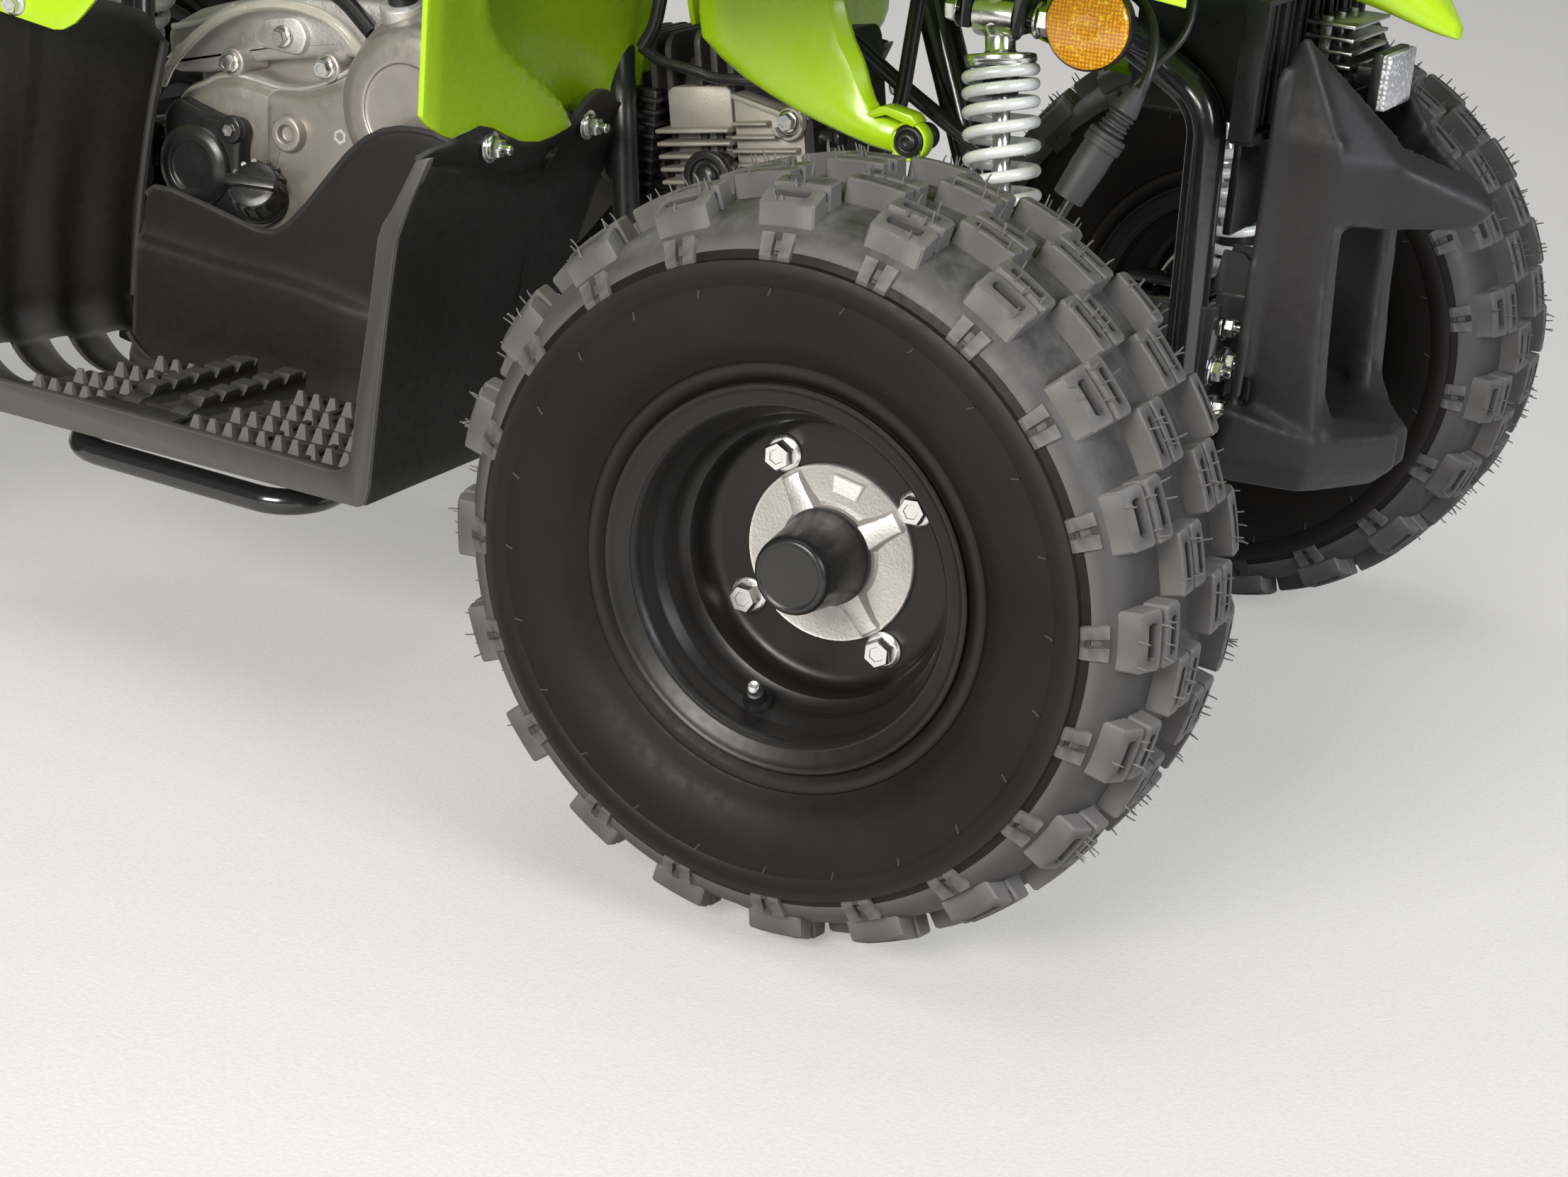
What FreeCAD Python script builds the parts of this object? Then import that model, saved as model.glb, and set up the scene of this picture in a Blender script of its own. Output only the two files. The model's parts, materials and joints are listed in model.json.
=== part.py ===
import FreeCAD, Part
import math
import os
import Sketcher

# Youth quad bike. Millimetres, +X forward, +Y to the rider's left, +Z up.
# The origin is on the ground below the middle of the vehicle.

os.makedirs("parts", exist_ok=True)
doc = FreeCAD.newDocument("QuadBike")
Vector = FreeCAD.Vector
UP = Vector(0, 0, 1)
LEFT = Vector(0, 1, 0)
FORWARD = Vector(1, 0, 0)

# Driving dimensions: name, value, what it is
SIZES = [
    ("front_axle_x", 445, "front axle ahead of the middle"),
    ("rear_axle_x", -455, "rear axle behind the middle"),
    ("nose_x", 675, "foremost point of the bumper"),
    ("tail_x", -675, "rearmost point of the grab bar"),
    ("tyre_radius", 200, "all tyres, to the tips of the lugs"),
    ("bead_radius", 89, "seat of the tyre on the rim"),
    ("seat_gap", 0.2, "gap between tyre and rim"),
    ("front_track", 662, "between the front wheels' middle planes"),
    ("front_tyre_width", 165, "front section width"),
    ("rear_track", 626, "between the rear wheels' middle planes"),
    ("rear_tyre_width", 200, "rear section width"),
    ("front_rim_width", 136, "front rim over its flanges"),
    ("rear_rim_width", 166, "rear rim over its flanges"),
    ("rim_wall", 4, "thickness of the pressed rims"),
    ("rim_flange", 11, "height of the rim flange over the bead seat"),
    ("dish_offset", 9, "outer face of the rim disc outboard of the middle plane"),
    ("hub_radius", 47, "cast hub disc"),
    ("hub_face", 13, "hub disc outboard of the middle plane"),
    ("hub_flange_radius", 68, "hub flange behind the rim disc"),
    ("drum_radius", 61, "front brake drum"),
    ("drum_depth", 42, "front brake drum inboard of the flange"),
    ("cap_radius", 25, "hub cap at its foot"),
    ("cap_tip_radius", 20.3, "hub cap at its end"),
    ("cap_tip", 58, "end of the hub cap outboard of the middle plane"),
    ("spindle_radius", 10, "front wheel spindle"),
    ("running_clearance", 0.05, "between a shaft and its bore"),
    ("kingpin_inset", 69, "kingpins inboard of the front wheels' middle planes"),
    ("kingpin_radius", 6, "kingpin bolt"),
    ("knuckle_radius", 14, "knuckle tube round the kingpin"),
    ("knuckle_height", 70, "length of the knuckle tube"),
    ("steer_arm", 58, "track rod pin behind the kingpin"),
    ("rod_height", 212, "track rods over the ground"),
    ("rod_radius", 6, "track rod"),
    ("rod_eye", 11, "outer radius of a track rod eye"),
    ("rod_eye_bore", 7.5, "bore of the outer eye, loose round its pin"),
    ("pin_radius", 4, "track rod pins"),
    ("pitman_arm", 51, "track rod pins behind the steering column"),
    ("pitman_half", 14, "track rod pins beside the column"),
    ("column_foot_x", 424, "column axis at its foot"),
    ("column_foot_z", 174, "foot of the column over the ground"),
    ("column_lean", 21.7, "lean of the column in degrees"),
    ("column_length", 650, "length of the column"),
    ("column_radius", 12, "steering column"),
    ("bar_radius", 11, "handlebar tube"),
    ("bar_half", 375, "handlebar ends beside the middle"),
    ("bar_rise", 72, "rise of the handlebar"),
    ("grip_radius", 16, "rubber grips"),
    ("grip_length", 118, "rubber grips"),
    ("rail_y", 80, "frame tubes beside the middle"),
    ("rail_z", 170, "lower frame tubes over the ground"),
    ("tube_radius", 11, "main frame tubes"),
    ("brace_radius", 8, "light frame tubes"),
    ("front_loop_x", 536, "foot of the front frame loop"),
    ("front_loop_z", 412, "bend of the front frame loop"),
    ("head_z", 520, "upper column bearing"),
    ("back_tube_x", -215, "rear down tubes"),
    ("saddle_rail_z", 520, "frame tubes under the saddle"),
    ("pivot_z", 262, "swingarm pivot over the ground"),
    ("floor_z", 142, "underside of the footwell floor"),
    ("floor_wall", 6, "footwell floor"),
    ("shell_wall", 4, "moulded panels"),
    ("footwell_outer", 300, "outer edge of the footwells"),
    ("footwell_inner", 154, "inner wall of the footwells"),
    ("footwell_front", 128, "foot of the footwell's front wall"),
    ("footwell_front_top", 164, "top of the footwell's front wall"),
    ("footwell_top", 350, "top of the footwell's front wall over the ground"),
    ("heel_x", -150, "inner end of the heel guard"),
    ("heel_outer_x", -215, "outer end of the heel guard"),
    ("heel_top", 386, "top of the heel guard"),
    ("lip_width", 13, "edge rail of the footwell"),
    ("foot_bar_z", 126, "foot bar over the ground"),
    ("foot_bar_y", 285, "foot bar beside the middle"),
    ("foot_bar_back", -105, "rear end of the foot bar"),
    ("foot_bar_length", 178, "foot bar"),
    ("arm_y", 108, "inner pivots of the front arms"),
    ("arm_z", 176, "inner pivots of the front arms"),
    ("arm_end_z", 163, "outer end of the front arms"),
    ("arm_half", 80, "half the base of the front arms"),
    ("arm_radius", 10, "tubes of the front arms"),
    ("bush_half", 19, "half length of the arms' inner bushes"),
    ("yoke_wall", 8, "ears of the yoke round the knuckle"),
    ("shock_top_x", 434, "front shock absorber, upper eye"),
    ("shock_top_y", 168, "front shock absorber, upper eye"),
    ("shock_top_z", 456, "front shock absorber, upper eye"),
    ("shock_foot_x", 482, "front shock absorber, lower eye"),
    ("shock_foot_inset", 57, "front shock absorber's lower eye inboard of the kingpin"),
    ("shock_foot_z", 216, "front shock absorber, lower eye"),
    ("coil_radius", 18, "middle of the front spring's wire"),
    ("wire_radius", 3.6, "front spring wire"),
    ("coil_pitch", 12.5, "front spring"),
    ("damper_radius", 12, "front damper body"),
    ("rod_shaft_radius", 6, "damper shaft"),
    ("engine_front", 72, "front of the crankcase"),
    ("engine_back", -160, "back of the crankcase"),
    ("engine_bottom", 214, "underside of the crankcase"),
    ("engine_top", 392, "top of the crankcase"),
    ("engine_half", 84, "half width of the crankcase"),
    ("cover_depth", 27, "right engine cover"),
    ("cylinder_half", 46, "half size of the cylinder's fins"),
    ("cylinder_lean", 10, "rise of the cylinder in degrees"),
    ("cylinder_z", 330, "cylinder axis at the crankcase"),
    ("cylinder_length", 112, "finned barrel"),
    ("head_length", 92, "cylinder head"),
    ("fin_pitch", 11, "cooling fins"),
    ("fin_wall", 4.5, "cooling fins"),
    ("chain_y", 112, "plane of the chain"),
    ("chain_width", 9, "chain"),
    ("chain_height", 11, "chain"),
    ("sprocket_radius", 74, "rear sprocket"),
    ("drive_radius", 27, "front sprocket"),
    ("drive_x", -108, "front sprocket"),
    ("drive_z", 268, "front sprocket"),
    ("axle_radius", 14, "rear axle"),
    ("carrier_radius", 34, "rear axle carrier"),
    ("disc_radius", 82, "rear brake disc"),
    ("disc_y", -104, "rear brake disc"),
    ("muffler_radius", 42, "silencer"),
    ("pipe_radius", 14, "exhaust pipe"),
    ("saddle_top", 608, "top of the saddle"),
    ("saddle_half", 105, "half width of the saddle"),
    ("saddle_front", 70, "front of the saddle"),
    ("saddle_back", -520, "back of the saddle"),
    ("fender_half", 408, "outer edge of the fenders"),
    ("fender_z", 536, "top of the fenders"),
    ("nose_tip_x", 640, "tip of the front fender's nose"),
    ("nose_tip_z", 458, "tip of the front fender's nose"),
    ("bumper_half", 62, "bumper posts beside the middle"),
    ("bumper_nose_z", 364, "nose of the bumper"),
    ("bumper_tip_z", 456, "upper ends of the bumper"),
    ("bumper_foot_z", 196, "underside of the bumper"),
    ("panel_x", 548, "front panel"),
    ("panel_half", 96, "half width of the front panel"),
    ("reflector_radius", 23, "round side reflectors"),
    ("cable_radius", 3, "brake cables"),
    ("tow_bore_radius", 8, "bore of the tow eye"),
    ("flag_bore_radius", 5, "bore of the flag bracket"),
]

sheet = doc.addObject("Spreadsheet::Sheet", "Sizes")
for row, (name, value, note) in enumerate(SIZES, start=1):
    sheet.set("A%d" % row, name)
    sheet.set("B%d" % row, str(value))
    sheet.setAlias("B%d" % row, name)
    sheet.set("C%d" % row, note)
doc.recompute()


class Size:
    """Reads a driving dimension from the sheet as a plain number."""

    def __getattr__(self, name):
        return float(sheet.get(name))


S = Size()


# Helpers for solids

def bound(body, **expressions):
    """Place an object by expressions in the sizes: x, y, z."""
    for axis, expression in expressions.items():
        body.setExpression("Placement.Base." + axis, expression)


def in_sizes(expression):
    """Write a formula's size names with the sheet they live in."""
    words = []
    word = ""
    for letter in expression + " ":
        if letter.isalnum() or letter == "_":
            word += letter
            continue
        if word and word[0].isalpha():
            word = "Sizes." + word
        words.append(word + letter)
        word = ""
    return "".join(words).strip()


def profile(body, role, name, points):
    """A closed sketch on one of the body's own planes. Each point is two formulas in the sizes."""
    sketch = body.newObject("Sketcher::SketchObject", name)
    plane = [f for f in body.Origin.OriginFeatures if f.Role == role][0]
    sketch.AttachmentSupport = [(plane, "")]
    sketch.MapMode = "FlatFace"
    formulas = [(in_sizes(str(u)), in_sizes(str(v))) for u, v in points]
    spots = [(float(body.evalExpression(u)), float(body.evalExpression(v))) for u, v in formulas]
    count = len(spots)
    for i in range(count):
        start = Vector(spots[i][0], spots[i][1], 0)
        end = Vector(spots[(i + 1) % count][0], spots[(i + 1) % count][1], 0)
        sketch.addGeometry(Part.LineSegment(start, end), False)
    for i in range(count):
        sketch.addConstraint(Sketcher.Constraint("Coincident", i, 2, (i + 1) % count, 1))
    for i in range(count):
        for kind, label, spot, formula in (
            ("DistanceX", "across", spots[i][0], formulas[i][0]),
            ("DistanceY", "along", spots[i][1], formulas[i][1]),
        ):
            index = sketch.addConstraint(Sketcher.Constraint(kind, -1, 1, i, 1, spot))
            sketch.renameConstraint(index, "%s%d" % (label, i))
            sketch.setExpression("Constraints.%s%d" % (label, i), formula)
    return sketch


def turned(label, points):
    """A body of revolution about Y. Points are (radius, distance along the axis)."""
    body = doc.addObject("PartDesign::Body", label)
    body.Label = label
    sketch = profile(body, "XY_Plane", label + "_section", points)
    turn = body.newObject("PartDesign::Revolution", label + "_turn")
    turn.Profile = sketch
    turn.ReferenceAxis = (sketch, ["V_Axis"])
    turn.Angle = 360
    body.Tip = turn
    return body


def padded(label, role, points, length):
    """A body padded to both sides of one of its origin planes."""
    body = doc.addObject("PartDesign::Body", label)
    body.Label = label
    sketch = profile(body, role, label + "_outline", points)
    pad = body.newObject("PartDesign::Pad", label + "_pad")
    pad.Profile = sketch
    pad.SideType = "Symmetric"
    pad.setExpression("Length", in_sizes(length))
    body.Tip = pad
    return body


def bored(body, role, name, centre, radius):
    """Cut a round hole through a body, square to one of its origin planes."""
    sketch = body.newObject("Sketcher::SketchObject", name + "_circle")
    plane = [f for f in body.Origin.OriginFeatures if f.Role == role][0]
    sketch.AttachmentSupport = [(plane, "")]
    sketch.MapMode = "FlatFace"
    u, v, r = [in_sizes(str(term)) for term in (centre[0], centre[1], radius)]
    spot = Vector(float(body.evalExpression(u)), float(body.evalExpression(v)), 0)
    sketch.addGeometry(Part.Circle(spot, Vector(0, 0, 1), float(body.evalExpression(r))), False)
    for kind, label, formula in (("DistanceX", "across", u), ("DistanceY", "along", v)):
        value = float(body.evalExpression(formula))
        index = sketch.addConstraint(Sketcher.Constraint(kind, -1, 1, 0, 3, value))
        sketch.renameConstraint(index, label)
        sketch.setExpression("Constraints." + label, formula)
    index = sketch.addConstraint(Sketcher.Constraint("Radius", 0, float(body.evalExpression(r))))
    sketch.renameConstraint(index, "radius")
    sketch.setExpression("Constraints.radius", r)
    pocket = body.newObject("PartDesign::Pocket", name)
    pocket.Profile = sketch
    pocket.Type = "ThroughAll"
    pocket.SideType = "Symmetric"
    body.Tip = pocket
    return pocket


def shaped(label, shape):
    """A document object that holds a finished shape."""
    thing = doc.addObject("Part::Feature", label)
    thing.Label = label
    thing.Shape = shape
    return thing


def point(spot):
    return Vector(spot[0], spot[1], spot[2])


def flipped(shape):
    """The same piece on the other side of the vehicle."""
    return shape.mirror(Vector(0, 0, 0), LEFT)


def joined(shapes):
    """One solid from several that overlap."""
    first = shapes[0]
    whole = first.fuse(shapes[1:]) if len(shapes) > 1 else first
    return whole.removeSplitter()


def rod(start, end, radius):
    """A straight round bar."""
    start, end = point(start), point(end)
    return Part.makeCylinder(radius, (end - start).Length, start, end - start)


def box(low, high):
    """A block between two corners."""
    return Part.makeBox(high[0] - low[0], high[1] - low[1], high[2] - low[2], point(low))


def bent_path(points, bend):
    """Straight runs joined by tangent arcs of one bend radius, smaller where a run is short."""
    spots = [point(p) for p in points]
    edges = []
    start = spots[0]
    for i in range(1, len(spots) - 1):
        before = (spots[i - 1] - spots[i]).normalize()
        after = (spots[i + 1] - spots[i]).normalize()
        turn = math.pi - before.getAngle(after)
        room = 0.48 * min((spots[i - 1] - spots[i]).Length, (spots[i + 1] - spots[i]).Length)
        reach = min(bend * math.tan(turn / 2), room)
        radius = reach / math.tan(turn / 2)
        leave = spots[i] + before * reach
        enter = spots[i] + after * reach
        inward = (before + after).normalize()
        centre = spots[i] + inward * (radius / math.cos(turn / 2))
        middle = centre - inward * radius
        edges.append(Part.LineSegment(start, leave).toShape())
        edges.append(Part.Arc(leave, middle, enter).toShape())
        start = enter
    edges.append(Part.LineSegment(start, spots[-1]).toShape())
    return Part.Wire(edges)


def tube(points, radius, bend=60):
    """A bent round tube, as a solid bar."""
    path = bent_path(points, bend)
    first = path.Edges[0]
    start = first.Vertexes[0].Point
    heading = first.Vertexes[1].Point - start
    ring = Part.Wire(Part.makeCircle(radius, start, heading))
    solid = path.makePipeShell([ring], True, False)
    return solid if isinstance(solid, Part.Solid) else Part.Solid(solid)


def outline(points, corner=0):
    """A closed wire of straight sides through points in space, with rounded corners."""
    spots = [point(p) for p in points]
    if corner == 0:
        return Part.makePolygon(spots + [spots[0]])
    count = len(spots)
    bends = []
    for i in range(count):
        before = (spots[i - 1] - spots[i])
        after = (spots[(i + 1) % count] - spots[i])
        turn = math.pi - before.getAngle(after)
        reach = min(corner * math.tan(turn / 2), 0.45 * before.Length, 0.45 * after.Length)
        leave = spots[i] + before.normalize() * reach
        enter = spots[i] + after.normalize() * reach
        radius = reach / math.tan(turn / 2)
        inward = (before + after).normalize()
        middle = spots[i] + inward * (radius / math.cos(turn / 2) - radius)
        bends.append((leave, middle, enter))
    edges = []
    for i in range(count):
        leave, middle, enter = bends[i]
        edges.append(Part.Arc(leave, middle, enter).toShape())
        edges.append(Part.LineSegment(enter, bends[(i + 1) % count][0]).toShape())
    return Part.Wire(edges)


def slab(points, thickness, corner=0):
    """A flat plate: an outline pushed along the vector given."""
    return Part.Face(outline(points, corner)).extrude(point(thickness))


def upright_section(spot, heading, width, depth, corner):
    """A rounded rectangle square to a heading in the XZ plane. Width runs along Y."""
    ahead = point(heading).normalize()
    across = LEFT
    out = across.cross(ahead).normalize()
    centre = point(spot)
    corners = []
    for side, rise in ((-1, -1), (1, -1), (1, 1), (-1, 1)):
        corners.append(centre + across * (side * width / 2) + out * (rise * depth / 2))
    return outline(corners, corner)


def beam(stations, corner):
    """A moulded bar through sections: rows of (x, y, z, width across, depth)."""
    wires = []
    for i, (x, y, z, width, depth) in enumerate(stations):
        before = stations[max(i - 1, 0)]
        after = stations[min(i + 1, len(stations) - 1)]
        heading = (after[0] - before[0], 0, after[2] - before[2])
        wires.append(upright_section((x, y, z), heading, width, depth, corner))
    return Part.makeLoft(wires, True, False)


def arched_plate(stations, wall, low_y, high_y):
    """A bent sheet that follows (x, z) stations, between two sides."""
    lower = []
    upper = []
    for i, (x, z) in enumerate(stations):
        before = stations[max(i - 1, 0)]
        after = stations[min(i + 1, len(stations) - 1)]
        run = Vector(after[0] - before[0], 0, after[1] - before[1]).normalize()
        normal = LEFT.cross(run)
        if normal.z < 0:
            normal = normal * -1
        lower.append((x, low_y, z))
        upper.append((x + normal.x * wall, low_y, z + normal.z * wall))
    loop = lower + upper[::-1]
    return slab(loop, (0, high_y - low_y, 0))


def node_copies(shape):
    """The piece and its twin on the other side, kept as two solids of one node."""
    return Part.makeCompound([shape, flipped(shape)])


# Wheels: every wheel is turned about its axle; minus Y is outboard on the right side

lug_count = 20
lug_height = 14
lug_inner = 0.46
lug_outer = 0.85
shoulder_share = 0.95
lug_edge_drop = 11
shoulder_drop = 24
bead_slant = 1


def tyre_edge(half, bead, side, raised):
    """Rows of (radius, distance) from the tread's middle band to the bore, on one side of the tyre."""
    tip = S.tyre_radius
    if raised:
        top = [(tip, lug_inner * half), (tip - lug_edge_drop, lug_outer * half)]
    else:
        top = [(tip, lug_inner * half), (tip - lug_height, lug_inner * half)]
    wall = [(tip - shoulder_drop, shoulder_share * half), ((S.bead_radius + tip) / 2 + 6, half),
            (S.bead_radius + S.rim_flange + 3, bead), (bore_of_tyre, bead - bead_slant)]
    return [(radius, side * across) for radius, across in top + wall]


lug_half_turn = math.pi / (2 * lug_count)
bore_of_tyre = (S.bead_radius + S.seat_gap) / math.cos(lug_half_turn)


def tyre(centre, width, rim_width):
    """A right-hand tyre of flat faces: lugs stand on both shoulders by turns, half a pitch apart."""
    half = width / 2
    bead = rim_width / 2 - S.rim_wall - S.seat_gap
    step = 2 * lug_half_turn

    def spots(row, number):
        angle = number * step
        return [centre + Vector(math.cos(angle) * radius, -across, math.sin(angle) * radius) for radius, across in row]

    def face(corners):
        return Part.Face(Part.makePolygon(corners + [corners[0]]))

    faces = []
    for number in range(2 * lug_count):
        outboard = tyre_edge(half, bead, 1, number % 2 == 0)
        inboard = tyre_edge(half, bead, -1, number % 2 == 1)
        section = inboard[::-1] + outboard
        near, far = spots(section, number), spots(section, number + 1)
        for i in range(len(section)):
            after = (i + 1) % len(section)
            faces.append(face([near[i], near[after], far[after], far[i]]))
        for side in (1, -1):
            high = spots(tyre_edge(half, bead, side, True)[:3], number)
            low = spots(tyre_edge(half, bead, side, False)[1:2], number)
            faces.append(face(high + low))
    shell = Part.Shell(faces)
    shell.sewShape()
    solid = Part.Solid(shell)
    if solid.Volume < 0:
        solid.reverse()
    return solid


def rim(label, width):
    half = "(%s / 2)" % width
    seat = "bead_radius"
    flange = "(bead_radius + rim_flange)"
    section = [
        (flange, "0 - %s" % half),
        (flange, "0 - %s + rim_wall" % half),
        (seat, "0 - %s + rim_wall + 1" % half),
        (seat, "0 - %s + 22" % half),
        ("bead_radius - 13", "0 - %s + 34" % half),
        ("bead_radius - 13", "%s - 34" % half),
        (seat, "%s - 22" % half),
        (seat, "%s - rim_wall - 1" % half),
        (flange, "%s - rim_wall" % half),
        (flange, half),
        ("bead_radius - rim_wall", half),
        ("bead_radius - rim_wall", "%s - 24" % half),
        ("bead_radius - 13 - rim_wall", "%s - 33" % half),
        ("bead_radius - 13 - rim_wall", "0 - dish_offset + rim_wall"),
        ("hub_radius + 0.5", "0 - dish_offset + rim_wall"),
        ("hub_radius + 0.5", "0 - dish_offset"),
        ("bead_radius - 20", "0 - dish_offset"),
        ("bead_radius - 13 - rim_wall", "0 - dish_offset - 6"),
        ("bead_radius - 13 - rim_wall", "0 - %s + 33" % half),
        ("bead_radius - rim_wall", "0 - %s + 24" % half),
        ("bead_radius - rim_wall", "0 - %s" % half),
    ]
    return turned(label, section)


def front_hub(label):
    back = "0 - dish_offset + rim_wall"
    section = [
        ("spindle_radius + running_clearance", "0 - hub_face"),
        ("hub_radius", "0 - hub_face"),
        ("hub_radius", back),
        ("hub_flange_radius", back),
        ("hub_flange_radius", back + " + 5"),
        ("drum_radius", back + " + 5"),
        ("drum_radius", "drum_depth"),
        ("drum_radius - 6", "drum_depth"),
        ("drum_radius - 6", "8"),
        ("spindle_radius + 12", "8"),
        ("spindle_radius + 12", "drum_depth - 4"),
        ("spindle_radius + running_clearance", "drum_depth - 4"),
    ]
    return turned(label, section)


def front_cap(label):
    section = [
        ("cap_radius", "0 - hub_face"),
        ("cap_radius", "0 - hub_face - 12"),
        ("cap_tip_radius", "0 - cap_tip + 3"),
        ("cap_tip_radius - 3", "0 - cap_tip"),
        ("0", "0 - cap_tip"),
        ("0", "0 - cap_tip + 5"),
        ("cap_tip_radius - 4", "0 - cap_tip + 5"),
        ("cap_radius - 4", "0 - hub_face"),
    ]
    return turned(label, section)


front_wheel_parts = (("rim_front", rim, ("front_rim_width",)), ("hub_front", front_hub, ()),
                     ("cap_front", front_cap, ()))
rear_wheel_parts = (("rim_rear", rim, ("rear_rim_width",)),)
for side, sign in (("right", -1), ("left", 1)):
    for stem, maker, widths in front_wheel_parts:
        body = maker("%s_%s" % (stem, side), *widths)
        if sign > 0:
            body.Placement.Rotation = FreeCAD.Rotation(UP, 180)
        bound(body, x="Sizes.front_axle_x", y="Sizes.front_track / 2 * %d" % sign, z="Sizes.tyre_radius")
    for stem, maker, widths in rear_wheel_parts:
        body = maker("%s_%s" % (stem, side), *widths)
        if sign > 0:
            body.Placement.Rotation = FreeCAD.Rotation(UP, 180)
        bound(body, x="Sizes.rear_axle_x", y="Sizes.rear_track / 2 * %d" % sign, z="Sizes.tyre_radius")

tyre_rows = (
    # name, axle, track, width, rim width
    ("front", S.front_axle_x, S.front_track, S.front_tyre_width, S.front_rim_width),
    ("rear", S.rear_axle_x, S.rear_track, S.rear_tyre_width, S.rear_rim_width),
)
for end, axle_x, track, width, rim_width in tyre_rows:
    right_tyre = tyre(Vector(axle_x, -track / 2, S.tyre_radius), width, rim_width)
    shaped("tyre_%s_right" % end, right_tyre)
    shaped("tyre_%s_left" % end, flipped(right_tyre))

# Rear axle with its wheel hubs, turned in one piece
hub_in = "rear_track / 2 + dish_offset - rim_wall"
half_axle = [
    ("axle_radius", "0"),
    ("axle_radius", "rear_track / 2 - 24"),
    ("axle_radius + 12", "rear_track / 2 - 24"),
    ("axle_radius + 12", hub_in + " - 6"),
    ("hub_flange_radius", hub_in + " - 6"),
    ("hub_flange_radius", hub_in),
    ("hub_radius", hub_in),
    ("hub_radius", "rear_track / 2 + hub_face"),
    ("cap_radius", "rear_track / 2 + hub_face"),
    ("cap_tip_radius", "rear_track / 2 + cap_tip - 20"),
]
axle_section = [("0", "rear_track / 2 + cap_tip - 20")]
axle_section += half_axle[::-1]
axle_section += [(r, "0 - (%s)" % y) for r, y in half_axle[1:]]
axle_section += [("0", "0 - (rear_track / 2 + cap_tip - 20)")]
rear_axle = turned("rear_axle", axle_section)
bound(rear_axle, x="Sizes.rear_axle_x", z="Sizes.tyre_radius")

sprocket = turned("sprocket", [
    ("axle_radius", "0 - 14"), ("axle_radius + 14", "0 - 14"), ("axle_radius + 14", "0 - 3"),
    ("sprocket_radius - chain_height", "0 - 3"), ("sprocket_radius - chain_height", "3"),
    ("axle_radius", "3"),
])
bound(sprocket, x="Sizes.rear_axle_x", y="Sizes.chain_y", z="Sizes.tyre_radius")
brake_disc = turned("brake_disc", [
    ("axle_radius", "0 - 2"), ("disc_radius", "0 - 2"), ("disc_radius", "2"),
    ("axle_radius + 14", "2"), ("axle_radius + 14", "14"), ("axle_radius", "14"),
])
bound(brake_disc, x="Sizes.rear_axle_x", y="Sizes.disc_y", z="Sizes.tyre_radius")


# Steering: column, bars and track rods. The column leans back in the middle plane

lean = math.radians(S.column_lean)
column_way = Vector(-math.sin(lean), 0, math.cos(lean))
column_foot = Vector(S.column_foot_x, 0, S.column_foot_z)


def on_column(height):
    """Point of the column's axis at a height over the ground."""
    return column_foot + column_way * ((height - S.column_foot_z) / column_way.z)


column_back = Vector(-math.cos(lean), 0, -math.sin(lean))
pitman_wall = 6
rod_gap = 6
kingpin_y = S.front_track / 2 - S.kingpin_inset
shock_foot_y = kingpin_y - S.shock_foot_inset


def pitman_pin(side):
    """Middle of an inner track rod eye."""
    base = on_column(S.rod_height + S.pitman_arm * math.sin(lean))
    return base + column_back * S.pitman_arm + LEFT * (side * S.pitman_half)


def column_part(height, radius, length):
    """A ring or bar round the column's axis, from a height upwards along the axis."""
    return Part.makeCylinder(radius, length, on_column(height), column_way)


pitman_base = on_column(S.rod_height + S.pitman_arm * math.sin(lean))
plate_lift = S.rod_eye / 2 + 0.5
plate_foot = pitman_base + column_way * plate_lift
pin_spots = [pitman_pin(side) for side in (-1, 1)]
plate_corner = S.pin_radius + 5
plate_points = [
    plate_foot - column_back * 16 - LEFT * 16,
    pin_spots[0] + column_way * plate_lift + column_back * plate_corner - LEFT * plate_corner,
    pin_spots[1] + column_way * plate_lift + column_back * plate_corner + LEFT * plate_corner,
    plate_foot - column_back * 16 + LEFT * 16,
]
pitman_plate = slab(plate_points, column_way * pitman_wall, 7)
column = Part.makeCylinder(S.column_radius, S.column_length, column_foot, column_way)
pins = [Part.makeCylinder(S.pin_radius, S.rod_eye + plate_lift + 2, spot - column_way * (S.rod_eye / 2 + 2),
                          column_way) for spot in pin_spots]
bar_centre = column_foot + column_way * S.column_length
clamp_half = 24
clamp = Part.makeBox(44, 2 * clamp_half, 30, Vector(-22, -clamp_half, -15))
clamp.Placement = FreeCAD.Placement(bar_centre, FreeCAD.Rotation(LEFT, -S.column_lean))
bar_room = Part.makeCylinder(S.bar_radius, 2 * clamp_half, bar_centre - LEFT * clamp_half, LEFT)
shaped("steering_column", joined([column, pitman_plate, clamp] + pins).cut(bar_room))


def bar_point(back, side, rise):
    return (bar_centre.x + back, side, bar_centre.z + rise)


bar_sweep = 62
half_bar = [(0, 0, 0), (0, 62, 0), (-12, 136, S.bar_rise * 0.92), (-40, 218, S.bar_rise),
            (-bar_sweep - 12, S.bar_half, S.bar_rise - 8)]
bar_points = [bar_point(b, -y, z) for b, y, z in half_bar[::-1]] + [bar_point(*p) for p in half_bar[1:]]
handlebar = tube([bar_points[0]] + bar_points[1:4] + bar_points[5:], S.bar_radius - 0.1, 42)
shaped("handlebar", handlebar)
bar_end = point(bar_point(-bar_sweep - 12, -S.bar_half, S.bar_rise - 8))
bar_knee = point(bar_point(-40, -218, S.bar_rise))
bar_run = (bar_knee - bar_end).normalize()
grip_start = bar_end - bar_run * 5
grip = Part.makeCylinder(S.grip_radius, S.grip_length, grip_start, bar_run)
grip_bore = Part.makeCylinder(S.bar_radius, S.grip_length, bar_end, bar_run)
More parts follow.
